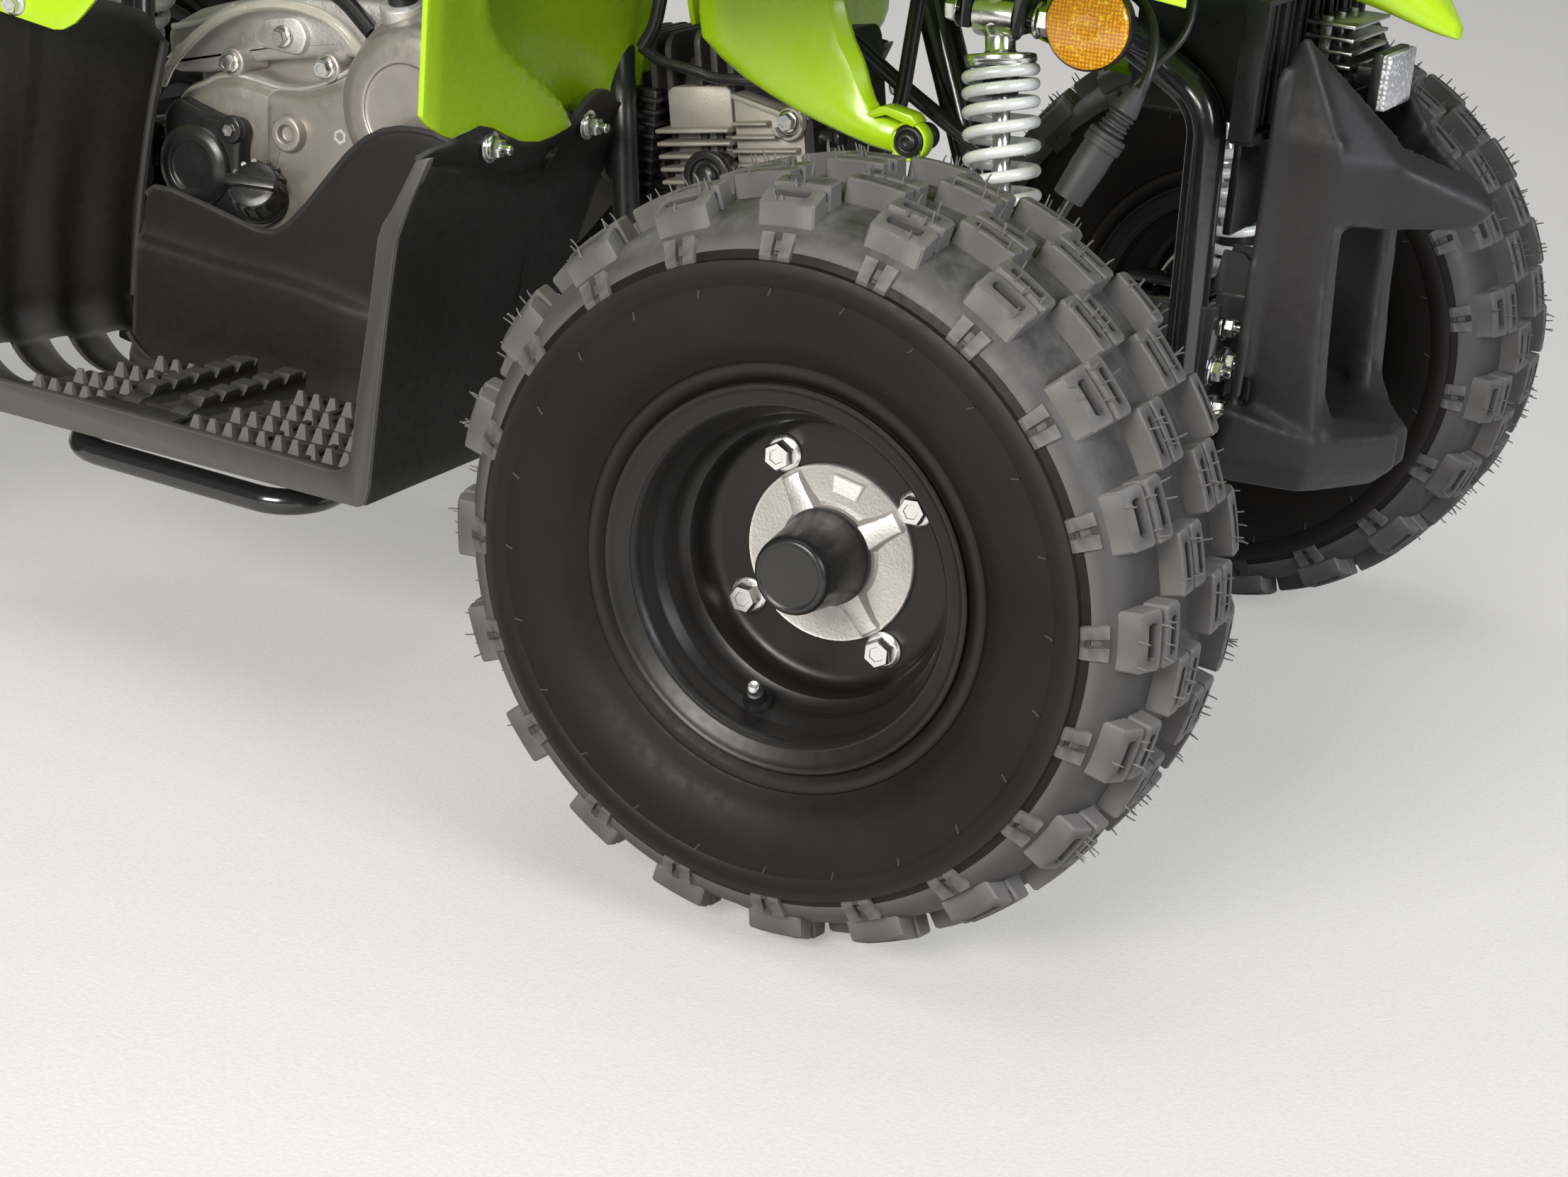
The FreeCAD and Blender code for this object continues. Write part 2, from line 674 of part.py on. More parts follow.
shaped("grips", node_copies(grip.cut(grip_bore)))
perch = bar_end + bar_run * (S.grip_length + 14)
perch_ring = Part.makeCylinder(S.bar_radius + 5, 18, perch - bar_run * 9, bar_run)
perch_bore = Part.makeCylinder(S.bar_radius, 30, perch - bar_run * 15, bar_run)
lever_ahead = Vector(1, 0, -0.15).normalize()
lever_points = [perch, perch + lever_ahead * 34, perch + lever_ahead * 46 - bar_run * 40,
                bar_end + lever_ahead * 48 + bar_run * 12]
lever = tube(lever_points, 5, 20)
shaped("levers", node_copies(joined([perch_ring, lever]).cut(perch_bore)))


def track_rod(side):
    """Right side is minus one. The inner eye turns on the pitman pin, the outer one is loose."""
    inner = pitman_pin(side)
    outer = Vector(S.front_axle_x - S.steer_arm, side * kingpin_y, S.rod_height)
    eye = Part.makeCylinder(S.rod_eye, S.rod_eye, inner - column_way * (S.rod_eye / 2), column_way)
    pin_hole = Part.makeCylinder(S.pin_radius + S.running_clearance, 40, inner - column_way * 20, column_way)
    end = Part.makeCylinder(S.rod_eye, S.rod_eye, outer - UP * (S.rod_eye / 2), UP)
    end_hole = Part.makeCylinder(S.rod_eye_bore, 40, outer - UP * 20, UP)
    shank = rod(inner, outer, S.rod_radius - 0.5)
    return joined([eye, shank, end]).cut(pin_hole).cut(end_hole)


shaped("tie_rod_right", track_rod(-1))
shaped("tie_rod_left", track_rod(1))


# Knuckles: tube on the kingpin, spindle, drum backing plate, steering arm with its pin

def knuckle(side):
    pin_x = S.front_axle_x
    pin_y = side * kingpin_y
    middle = S.tyre_radius
    out = LEFT * side
    wheel_y = side * S.front_track / 2
    tube_foot = Vector(pin_x, pin_y, middle - S.knuckle_height / 2)
    body = Part.makeCylinder(S.knuckle_radius, S.knuckle_height, tube_foot)
    plate_y = wheel_y - side * (S.drum_depth + 5 + 3)
    plate = Part.makeCylinder(S.drum_radius - 3, 3, Vector(pin_x, plate_y, middle), out)
    root = Part.makeCylinder(S.spindle_radius + 6, abs(plate_y - pin_y), Vector(pin_x, pin_y, middle), out)
    spindle_end = wheel_y + side * (S.hub_face + 10)
    spindle = Part.makeCylinder(S.spindle_radius, abs(spindle_end - pin_y), Vector(pin_x, pin_y, middle), out)
    arm_z = S.rod_height + S.rod_eye / 2 + rod_gap
    pin = Vector(pin_x - S.steer_arm, pin_y, arm_z)
    arm_low = (pin.x - 9, pin_y - 9, arm_z)
    arm = box(arm_low, (pin_x, pin_y + 9, arm_z + pitman_wall))
    stud = Part.makeCylinder(S.pin_radius, S.rod_eye + rod_gap + 4, pin - UP * (S.rod_eye + rod_gap + 1))
    cam = rod((pin_x + 30, plate_y, middle + 40), (pin_x + 30, plate_y - side * 12, middle + 40), 6)
    bore = Part.makeCylinder(S.kingpin_radius + S.running_clearance, 400, Vector(pin_x, pin_y, 0))
    return joined([body, root, plate, spindle, arm, stud, cam]).cut(bore)


shaped("knuckle_right", knuckle(-1))
shaped("knuckle_left", knuckle(1))


# Front suspension: lower arms with the kingpin yoke, dampers and springs

def front_arm():
    """The left lower arm."""
    mid = S.front_axle_x
    wheel_z = S.tyre_radius
    ear_low = wheel_z - S.knuckle_height / 2 - 1 - S.yoke_wall
    ear_high = wheel_z + S.knuckle_height / 2 + 1
    spine_y = kingpin_y - S.knuckle_radius - 5
    eye = S.kingpin_radius + 7
    ears = []
    for low, foot_y in ((ear_low, spine_y - 24), (ear_high, spine_y - 7)):
        ears.append(slab([(mid - 18, foot_y, low), (mid + 23, foot_y, low), (mid + eye - 2, kingpin_y, low),
                          (mid - eye + 2, kingpin_y, low)], (0, 0, S.yoke_wall)))
        ears.append(Part.makeCylinder(eye, S.yoke_wall, Vector(mid, kingpin_y, low)))
    spine = box((mid + 4, spine_y - 7, ear_low), (mid + 22, spine_y, ear_high + S.yoke_wall))
    kingpin = Part.makeCylinder(S.kingpin_radius, ear_high - ear_low + S.yoke_wall + 8,
                                Vector(mid, kingpin_y, ear_low - 4))
    tip = (mid + 2, spine_y - 10, S.arm_end_z)
    tubes = []
    for end in (-1, 1):
        pivot = (mid + end * S.arm_half, S.arm_y, S.arm_z)
        tubes.append(rod(pivot, tip, S.arm_radius))
        tubes.append(rod((pivot[0] - S.bush_half, S.arm_y, S.arm_z), (pivot[0] + S.bush_half, S.arm_y, S.arm_z),
                         S.arm_radius + 3))
    brace_y = S.arm_y + 48
    tubes.append(rod((mid - 62, brace_y, S.arm_z - 4), (mid + 62, brace_y, S.arm_z - 4), S.brace_radius - 1))
    lug_low = (S.shock_foot_x - 22, shock_foot_y - 13, S.arm_end_z - 4)
    lug_walls = []
    for low, high in ((-22, -16.5), (16.5, 22)):
        lug_walls.append(box((S.shock_foot_x + low, shock_foot_y - 12, S.arm_end_z - 2),
                             (S.shock_foot_x + high, shock_foot_y + 12, S.shock_foot_z + 12)))
    lug_floor = box(lug_low, (S.shock_foot_x + 22, shock_foot_y + 13, S.arm_end_z + 8))
    bolt = rod((S.shock_foot_x - 26, shock_foot_y, S.shock_foot_z),
               (S.shock_foot_x + 26, shock_foot_y, S.shock_foot_z), 5)
    return joined(ears + [spine, kingpin, lug_floor, bolt] + lug_walls + tubes)


shaped("front_arms", node_copies(front_arm()))


def ring_profile(count, radius, wire, pitch, start):
    """Half section of a coil drawn as ring beads: rows of (radius, height)."""
    outer = []
    inner = []
    for turn in range(count):
        base = start + turn * pitch
        for share, swell in ((0.2, 0.0), (0.5, 1.0), (0.8, 0.0)):
            outer.append((radius + wire * swell, base + pitch * share))
            inner.append((radius - wire * 0.9, base + pitch * share))
    return outer, inner


def coil_sleeve(foot, top, radius, wire, pitch, start, length):
    """A coil spring's solid of its outer shape, round the line from foot to top."""
    count = int(length / pitch)
    outer, inner = ring_profile(count, radius, wire, pitch, start)
    end = start + count * pitch
    bore = radius - wire * 0.9
    outer = [(radius, start)] + outer + [(radius, end)]
    inner = [(bore, start)] + inner + [(bore, end)]
    loop = [Vector(r, 0, z) for r, z in outer] + [Vector(r, 0, z) for r, z in inner[::-1]]
    section = Part.Face(Part.makePolygon(loop + [loop[0]]))
    sleeve = section.revolve(Vector(0, 0, 0), UP, 360)
    way = point(top) - point(foot)
    sleeve.Placement = FreeCAD.Placement(point(foot), FreeCAD.Rotation(UP, way))
    return sleeve


def damper(foot, top, body_radius, shaft_radius, perch_low, perch_high, perch_radius, eye_way, eye_radius, eye_half):
    """Body, shaft, two spring perches and two eyes, along the line from foot to top."""
    foot, top = point(foot), point(top)
    way = (top - foot).normalize()
    length = (top - foot).Length
    eyes = []
    for spot in (foot, top):
        eyes.append(Part.makeCylinder(eye_radius, 2 * eye_half, spot - eye_way * eye_half, eye_way))
    body = Part.makeCylinder(body_radius, length * 0.52, foot + way * (eye_radius - 2), way)
    shaft = Part.makeCylinder(shaft_radius, length - 2 * eye_radius + 4, foot + way * (eye_radius - 2), way)
    low = Part.makeCylinder(perch_radius, 4, foot + way * (perch_low - 4.3), way)
    high = Part.makeCylinder(perch_radius, 5, foot + way * (perch_high + 0.3), way)
    neck = Part.makeCylinder(shaft_radius + 3, 18, foot + way * (perch_high + 0.3), way)
    stem = body.fuse([shaft, low, high, neck])
    holes = [Part.makeCylinder(5.05, 4 * eye_half, spot - eye_way * 2 * eye_half, eye_way) for spot in (foot, top)]
    return stem.fuse(eyes).cut(holes)


shock_foot = (S.shock_foot_x, shock_foot_y, S.shock_foot_z)
shock_top = (S.shock_top_x, S.shock_top_y, S.shock_top_z)
shock_length = (point(shock_top) - point(shock_foot)).Length
perch_low = 46
perch_high = shock_length - 19
front_coils = int((perch_high - perch_low) / S.coil_pitch)
coil_length = front_coils * S.coil_pitch
front_damper = damper(shock_foot, shock_top, S.damper_radius, S.rod_shaft_radius, perch_low,
                      perch_low + coil_length, S.coil_radius + S.wire_radius, FORWARD, 11, 12)
shaped("front_dampers", node_copies(front_damper))
shaped("front_springs", node_copies(coil_sleeve(shock_foot, shock_top, S.coil_radius, S.wire_radius,
                                                S.coil_pitch, perch_low, coil_length + 1)))


# Frame: the cradle, the rear frame under the saddle, the grab bar, the tow bracket and the foot bars. Tubes are
# coped where they meet

head = on_column(S.head_z)
loop_head = (head.x + 34, 56, S.head_z)
side_loop = [(S.back_tube_x - 12, S.rail_y, S.rail_z), (S.front_loop_x, S.rail_y, S.rail_z),
             (S.front_loop_x - 8, S.rail_y, S.front_loop_z), loop_head]
saddle_rail = [loop_head, (120, 62, S.saddle_rail_z), (S.back_tube_x + 40, S.rail_y, S.saddle_rail_z),
               (S.tail_x + 110, S.rail_y + 2, S.saddle_rail_z)]
grab_out = S.tail_x + S.tube_radius
grab_z = S.saddle_rail_z - 16
rail_end = saddle_rail[-1]
rail_spread = (rail_end[1] - saddle_rail[-2][1]) / (rail_end[0] - saddle_rail[-2][0])
socket = 30
grab_half = [rail_end, (rail_end[0] - socket, rail_end[1] - socket * rail_spread, rail_end[2]),
             (grab_out, S.rail_y + 28, grab_z)]
grab_loop = [(x, -y, z) for x, y, z in grab_half] + grab_half[::-1]
bar_back = S.foot_bar_back
bar_front = S.foot_bar_back + S.foot_bar_length
cradle = []
rear_tubes = []
foot_bars = []


def sided(rows, side):
    """Left-hand points moved to one side: plus one is left."""
    return [(x, side * y, z) for x, y, z in rows]


for side in (-1, 1):
    cradle.append(tube(sided(side_loop, side), S.tube_radius, 34))
    rear_tubes.append(tube(sided(saddle_rail, side), S.tube_radius, 90))
    cradle.append(rod((S.back_tube_x, side * S.rail_y, S.rail_z),
                      (S.back_tube_x, side * S.rail_y, S.saddle_rail_z), S.tube_radius))
    brace = [(S.back_tube_x, S.rail_y, S.pivot_z + 60), (S.back_tube_x - 160, S.rail_y, 430),
             (S.tail_x + 150, S.rail_y + 2, S.saddle_rail_z)]
    rear_tubes.append(tube(sided(brace, side), S.brace_radius, 60))
    root_z = S.floor_z - S.brace_radius - 1
    foot_bar = [(bar_back, S.rail_y, root_z), (bar_back, S.foot_bar_y, S.foot_bar_z),
                (bar_front, S.foot_bar_y, S.foot_bar_z - 3), (bar_front, S.rail_y, root_z)]
    drops = [rod((x, side * S.rail_y, root_z - 4), (x, side * S.rail_y, S.rail_z), S.brace_radius)
             for x in (bar_back, bar_front)]
    foot_bars.append(joined([tube(sided(foot_bar, side), S.brace_radius, 30)] + drops))


def cross_tube(x, z, half, radius):
    return rod((x, -half, z), (x, half, z), radius)


for x, z in ((S.back_tube_x, S.rail_z), (S.front_loop_x - 36, S.rail_z), (150, S.rail_z),
             (S.front_loop_x - 5, 300)):
    cradle.append(cross_tube(x, z, S.rail_y, S.brace_radius))
rear_tubes.append(cross_tube(S.back_tube_x, S.saddle_rail_z, S.rail_y, S.brace_radius))
shock_bar_z = S.shock_top_z + 15
cradle.append(cross_tube(S.shock_top_x, shock_bar_z, S.shock_top_y - 16, S.brace_radius))
cradle.append(rod((head.x, 0, S.head_z), loop_head, S.brace_radius))
cradle.append(rod((head.x, 0, S.head_z), (loop_head[0], -loop_head[1], loop_head[2]), S.brace_radius))
bearing_wall = 7
for height, length in ((S.column_foot_z - 8, 32), (S.head_z - 16, 34)):
    cradle.append(column_part(height, S.column_radius + bearing_wall, length))
foot_plate_low = S.column_foot_z - 14
cradle.append(box((S.column_foot_x - 30, -S.rail_y, foot_plate_low),
                       (S.column_foot_x + 34, S.rail_y, foot_plate_low + 7)))
bush_gap = 0.3
for side in (-1, 1):
    for end in (-1, 1):
        bush_x = S.front_axle_x + end * S.arm_half
        for x in (bush_x - S.bush_half - bush_gap - 5, bush_x + S.bush_half + bush_gap):
            low = (x, min(side * (S.rail_y - 6), side * (S.arm_y + 9)), S.arm_z - 12)
            high = (x + 5, max(side * (S.rail_y - 6), side * (S.arm_y + 9)), S.arm_z + 24)
            cradle.append(box(low, high))
    ear_low_y = side * (S.shock_top_y - 22)
    ear_high_y = side * (S.shock_top_y + 12)
    for x in (S.shock_top_x - 17.3, S.shock_top_x + 12.3):
        cradle.append(box((x, min(ear_low_y, ear_high_y), S.shock_top_z - 8),
                               (x + 5, max(ear_low_y, ear_high_y), S.shock_top_z + 24)))
    roof_low = min(side * (S.shock_top_y - 22), side * (S.shock_top_y + 12))
    cradle.append(box((S.shock_top_x - 17.3, roof_low, S.shock_top_z + 19),
                           (S.shock_top_x + 17.3, roof_low + 34, S.shock_top_z + 24)))
    cradle.append(rod((S.shock_top_x - 22, side * S.shock_top_y, S.shock_top_z),
                           (S.shock_top_x + 22, side * S.shock_top_y, S.shock_top_z), 5))
    cradle.append(rod((S.front_loop_x - 48, side * (S.rail_y - 4), S.front_loop_z + 22),
                           (S.front_loop_x - 48, side * S.shock_top_y, S.shock_top_z + 3), 5))
mount_top = S.engine_bottom - 0.3
for x in (-130, 20):
    cradle.append(box((x, -S.rail_y, S.rail_z - 4), (x + 24, S.rail_y, mount_top)))
cradle.append(rod((S.back_tube_x, -S.rail_y, S.pivot_z), (S.back_tube_x, S.rail_y, S.pivot_z), 6))
rear_shock_top = (S.back_tube_x - 22, 0, 478)
rear_shock_foot = (S.back_tube_x - 96, 0, 262)
for y in (-19, 14):
    rear_tubes.append(box((rear_shock_top[0] - 14, y, rear_shock_top[2] - 12),
                          (S.back_tube_x + 6, y + 5, S.saddle_rail_z)))
rear_tubes.append(rod((rear_shock_top[0], -24, rear_shock_top[2]), (rear_shock_top[0], 24, rear_shock_top[2]), 5))
flag_x = S.tail_x + 21
flag_plate = box((flag_x - 14, -S.rail_y - 62, grab_z - 2), (flag_x + 14, -S.rail_y - 18, grab_z + 3))
flag_spot = Vector(flag_x, -S.rail_y - 48, 0)
tow_z = 330
tow_tail = S.tail_x + 118
tow_stays = [rod((S.tail_x + 150, side * S.rail_y, S.saddle_rail_z - 4), (tow_tail + 16, side * 24, tow_z),
                 S.brace_radius) for side in (-1, 1)]
tow_plate = slab([(tow_tail + 30, -34, tow_z - 4), (tow_tail + 30, 34, tow_z - 4), (tow_tail - 18, 18, tow_z - 4),
                  (tow_tail - 18, -18, tow_z - 4)], (0, 0, 8), 8)
for side in (-1, 1):
    rear_tubes.append(rod((120, side * 62, S.saddle_rail_z), (120, side * 62, S.saddle_rail_z + 25.7), 7))
    cradle.append(rod((452, side * 74, 444), (452, side * 74, 494), 6))
column_bore = Part.makeCylinder(S.column_radius + S.running_clearance, 1000,
                                column_foot - column_way * 100, column_way)
frame = joined(cradle).cut(column_bore)
rear_frame = joined(rear_tubes).cut(frame)
grab_bar = joined([tube(grab_loop, S.tube_radius, 50), flag_plate])
grab_bar = grab_bar.cut(Part.makeCylinder(S.flag_bore_radius, 1000, flag_spot))
tow_bracket = joined(tow_stays + [tow_plate]).cut(rear_frame)
tow_bracket = tow_bracket.cut(Part.makeCylinder(S.tow_bore_radius, 1000, Vector(tow_tail, 0, 0)))
shaped("frame", frame)
shaped("rear_frame", rear_frame)
shaped("grab_bar", grab_bar)
shaped("tow_bracket", tow_bracket)
shaped("foot_bars", Part.makeCompound([bar.cut(frame) for bar in foot_bars]))


# Rear suspension: swingarm with the axle carrier, one damper and its spring

axle = Vector(S.rear_axle_x, 0, S.tyre_radius)
carrier_half = 62
arm_legs = []
for side in (-1, 1):
    arm_legs.append(rod((S.back_tube_x, side * 46, S.pivot_z), (S.rear_axle_x + 20, side * 46, S.tyre_radius + 4), 14))
    arm_legs.append(rod((S.back_tube_x, side * 34, S.pivot_z), (S.back_tube_x, side * 62, S.pivot_z), 15))
arm_legs.append(rod((S.rear_axle_x, -carrier_half, S.tyre_radius), (S.rear_axle_x, carrier_half, S.tyre_radius),
                    S.carrier_radius))
arm_legs.append(rod((rear_shock_foot[0] - 8, -46, 240), (rear_shock_foot[0] - 8, 46, 240), 10))
for y in (-19, 14):
    arm_legs.append(box((rear_shock_foot[0] - 16, y, 236), (rear_shock_foot[0] + 12, y + 5, rear_shock_foot[2] + 12)))
arm_legs.append(rod((rear_shock_foot[0], -24, rear_shock_foot[2]), (rear_shock_foot[0], 24, rear_shock_foot[2]), 5))
caliper = box((S.rear_axle_x + 38, S.disc_y - 20, S.tyre_radius + 18), (S.rear_axle_x + 92, S.disc_y + 22,
                                                                      S.tyre_radius + 62))
disc_slot = box((S.rear_axle_x, S.disc_y - 7, 0), (S.rear_axle_x + 100, S.disc_y + 7, 400))
bracket = box((S.rear_axle_x + 60, S.disc_y + 18, S.tyre_radius + 8), (S.rear_axle_x + 90, -40, S.tyre_radius + 22))
caliper = caliper.cut(disc_slot)
caliper_bridge = box((S.rear_axle_x + 88, S.disc_y - 20, S.tyre_radius + 18),
                     (S.rear_axle_x + 98, S.disc_y + 22, S.tyre_radius + 62))
swingarm = joined(arm_legs + [caliper, caliper_bridge, bracket])
swingarm = swingarm.cut(Part.makeCylinder(S.axle_radius + S.running_clearance, 400, axle - LEFT * 200, LEFT))
swingarm = swingarm.cut(Part.makeCylinder(6.05, 400, Vector(S.back_tube_x, -200, S.pivot_z), LEFT))
shaped("swingarm", swingarm)
rear_length = (point(rear_shock_top) - point(rear_shock_foot)).Length
rear_perch = 42
rear_pitch = 14
rear_coils = int((rear_length - 40 - rear_perch) / rear_pitch)
shaped("rear_damper", damper(rear_shock_foot, rear_shock_top, 13, 7, rear_perch, rear_perch + rear_coils * rear_pitch,
                             27, LEFT, 11, 13))
shaped("rear_spring", coil_sleeve(rear_shock_foot, rear_shock_top, 23, 4.4, rear_pitch, rear_perch,
                                  rear_coils * rear_pitch + 1))


# Engine: crankcase, right cover, finned barrel and head, intake, exhaust

engine_outline = [
    ("engine_back", "engine_bottom + 18"), ("engine_back + 24", "engine_bottom"), ("engine_front - 34", "engine_bottom"),
    ("engine_front", "engine_bottom + 44"), ("engine_front", "engine_top - 26"), ("engine_front - 26", "engine_top - 6"),
    ("engine_front - 104", "engine_top"), ("engine_back + 34", "engine_top - 18"), ("engine_back", "engine_top - 66"),
]
padded("engine_case", "XZ_Plane", engine_outline, "2 * engine_half")

cover_skin = S.engine_half + 0.3
cover_top = -(cover_skin + S.cover_depth)
cover_outline = [(S.engine_back + 2, 0, 226), (-128, 0, 219), (34, 0, 219), (70, 0, 262), (70, 0, 352), (30, 0, 384),
                 (-46, 0, 352), (-116, 0, 346), (S.engine_back + 2, 0, 312)]
lifted = [(x, -cover_skin, z) for x, y, z in cover_outline]
cover = slab(lifted, (0, -S.cover_depth, 0), 12)
clutch = Vector(36, -cover_skin, 334)
bulge = Part.makeCylinder(50, S.cover_depth + 10, clutch, LEFT * -1)
bulge_cap = Part.makeCone(50, 42, 5, clutch - LEFT * (S.cover_depth + 10), LEFT * -1)
boss = Part.makeCylinder(8, S.cover_depth + 6, Vector(-64, -cover_skin, 302), LEFT * -1)
filler = Part.makeCylinder(13, 24, Vector(-84, -cover_skin - 12, 250), Vector(0.2, -0.75, 0.4))
lugs = [Part.makeCylinder(7, S.cover_depth, Vector(x, -cover_skin, z), LEFT * -1)
        for x, z in ((-116, 346), (-44, 354), (-158, 262), (-100, 219), (20, 220))]
shaped("engine_cover", joined([cover, bulge, bulge_cap, boss, filler] + lugs))

cylinder_turn = FreeCAD.Rotation(LEFT, 90 - S.cylinder_lean)
barrel_radius = 33
cylinder_foot = S.engine_front + 0.3 + barrel_radius * math.sin(math.radians(S.cylinder_lean))
cylinder_place = FreeCAD.Placement(Vector(cylinder_foot, 0, S.cylinder_z), cylinder_turn)
barrel = Part.makeCylinder(barrel_radius, S.cylinder_length, Vector(0, 0, 0))
fins = []
fin_count = int((S.cylinder_length - 12) / S.fin_pitch)
for number in range(fin_count):
    low = 6 + number * S.fin_pitch
    half = S.cylinder_half
    loop = [(-half, -half, low), (half, -half, low), (half, half, low), (-half, half, low)]
    fins.append(slab(loop, (0, 0, S.fin_wall), 12))
cylinder = joined([barrel] + fins)
cylinder.Placement = cylinder_place
shaped("cylinder", cylinder)

head_foot = S.cylinder_length + 0.3
head_half = S.cylinder_half - 4
head_core = slab([(-head_half, -36, head_foot), (head_half, -36, head_foot), (head_half, 36, head_foot),
                  (-head_half, 36, head_foot)], (0, 0, S.head_length), 10)
head_fins = []
for number in range(3):
    low = head_foot + 4 + number * S.fin_pitch
    half = S.cylinder_half + 2
    loop = [(-half, -half, low), (half, -half, low), (half, half, low), (-half, half, low)]
    head_fins.append(slab(loop, (0, 0, S.fin_wall), 10))
rocker_z = head_foot + S.head_length * 0.68
rocker = rod((-head_half + 18, -44, rocker_z), (-head_half + 18, 44, rocker_z), 17)
rocker_low = rod((head_half - 18, -44, rocker_z), (head_half - 18, 44, rocker_z), 17)
cylinder_head = joined([head_core, rocker, rocker_low] + head_fins)
cylinder_head.Placement = cylinder_place
shaped("cylinder_head", cylinder_head)


def on_cylinder(along, across, out):
    """Point by its distance along the cylinder, below it and to the left."""
    return cylinder_place.multVec(Vector(across, out, along))


port = on_cylinder(head_foot + 52, -head_half - 0.3, 0)
port_way = cylinder_place.Rotation.multVec(Vector(-1, 0, 0))
intake_pipe = tube([port, port + port_way * 44, port + Vector(-50, 0, 70), (70, 0, 470)], 14, 30)
flange = Part.makeCylinder(19, 8, port, port_way)
air_box = box((-70, -56, 436), (76, 56, 502))
carburettor = box((118, -24, 440), (166, 24, 492))
shaped("intake", joined([intake_pipe, flange, air_box, carburettor]))

outlet = on_cylinder(head_foot + 52, head_half + 0.3, 0)
down = cylinder_place.Rotation.multVec(Vector(1, 0, 0))
pipe = tube([outlet, outlet + down * 38, (150, 52, 256), (62, 109, 286), (-60, 113, 346), (-190, 120, 412),
             (-300, 140, 440)], S.pipe_radius, 40)
pipe_flange = Part.makeCylinder(20, 7, outlet, down)
silencer = rod((-280, 140, 440), (-560, 146, 446), S.muffler_radius)
silencer_tip = rod((-556, 146, 446), (-596, 147, 447), 15)
hanger = box((-470, S.rail_y + 2 + S.tube_radius + 0.3, 480), (-446, 130, S.saddle_rail_z + 4))
shaped("exhaust", joined([pipe, pipe_flange, silencer, silencer_tip, hanger]))

drive = Vector(S.drive_x, S.chain_y, S.drive_z)
sprocket_hub = Vector(S.rear_axle_x, S.chain_y, S.tyre_radius)
span = drive - sprocket_hub


def chain_loop(grow, chords=9):
    """Outline of a belt round both sprockets in straight runs, grown outwards."""
    big = S.sprocket_radius - S.chain_height + 0.3 + grow
    small = S.drive_radius - S.chain_height + 0.3 + grow
    spread = math.acos((big - small) / span.Length)
    ahead = math.atan2(span.z, span.x)
    spots = []
    for centre, radius, first, turn in ((sprocket_hub, big, ahead + spread, 2 * math.pi - 2 * spread),
                                        (drive, small, ahead - spread, 2 * spread)):
        part = turn / chords
        for number in range(chords):
            angle = first + (number + 0.5) * part
            corner = radius / math.cos(part / 2)
            spots.append(centre + Vector(corner * math.cos(angle), 0, corner * math.sin(angle)))
    return Part.makePolygon(spots + [spots[0]])


chain_shift = LEFT * (-S.chain_width / 2)
chain = Part.Face(chain_loop(S.chain_height)).cut(Part.Face(chain_loop(0)))
chain_solid = chain.extrude(LEFT * S.chain_width)
chain_solid.translate(chain_shift)
drive_disc = Part.makeCylinder(S.drive_radius - S.chain_height, S.chain_width, drive + chain_shift, LEFT)
drive_shaft = rod((S.drive_x, S.engine_half + 0.3, S.drive_z), (S.drive_x, S.chain_y, S.drive_z), 10)
shaped("chain", Part.makeCompound([chain_solid.Solids[0], joined([drive_disc, drive_shaft])]))


# Footwells: floor, front wall, inner wall, heel guard and the rail along the open edge

def footwell():
    """The left footwell."""
    wall = S.shell_wall
    low = S.floor_z
    outer = S.footwell_outer
    inner = S.footwell_inner
    front = S.footwell_front
    front_top = S.footwell_front_top
    floor_top = low + S.floor_wall
    toe = front + wall / 2
    floor = slab([(toe, outer, low), (toe, inner, low), (S.heel_x, inner, low), (S.heel_outer_x, outer, low)],
                 (0, 0, S.floor_wall))
    top = S.footwell_top
    wall_face = [(front, outer, low), (front_top, outer, top), (front_top + 1, outer - 22, top + 6),
                 (front_top + 2, outer - 50, top + 12), (front_top, outer - 112, top - 8),
                 (front_top + 3, inner - 34, top + 17), (front_top, inner - 62, top - 1),
                 (front_top - 22, inner - 52, 225), (front, inner - 40, low)]
    face = [(front + (front_top - front) * (z - low) / (top - low), y, z) for x, y, z in wall_face]
    front_wall = slab(face, (wall, 0, 0), 8)
    inner_wall = slab([(S.heel_x, inner, low), (front, inner, low), (front_top, inner, top - 6), (94, inner, top - 20),
                       (48, inner, 322), (12, inner, 308), (-36, inner, 250), (-60, inner, 244),
                       (S.heel_x + 10, inner, 256), (S.heel_x, inner, 262)], (0, wall, 0), 6)
    sweep_back = (S.heel_outer_x - S.heel_x) / (outer - inner)
    heel_face = [(inner, low), (outer, low), (outer, S.heel_top - 60), (outer - 36, S.heel_top),
                 (inner, S.heel_top - 6)]
    heel = slab([(S.heel_x + sweep_back * (y - inner), y, z) for y, z in heel_face], (wall + 1, 0, 0), 10)
    rail = S.lip_width
    edge_rail = box((S.heel_outer_x, outer - rail, low - 2), (front + wall, outer, floor_top + 5))
    post = slab([(front - rail, outer, low), (front + wall, outer, low), (front_top + wall, outer, top),
                 (front_top - rail, outer, top - 10), (front_top - rail - 18, outer, 312),
                 (front - rail + 2, outer, floor_top + 30)], (0, -rail + 4, 0), 4)
    rail_face = S.rail_y + S.tube_radius + 0.3
    hanger = box((S.foot_bar_back + 30, rail_face, low), (S.foot_bar_back + 110, inner + 2, low + S.floor_wall))
    hook = box((S.foot_bar_back + 30, rail_face, low), (S.foot_bar_back + 110, rail_face + wall, S.rail_z + 6))
    return joined([floor, front_wall, inner_wall, heel, edge_rail, post, hanger, hook])


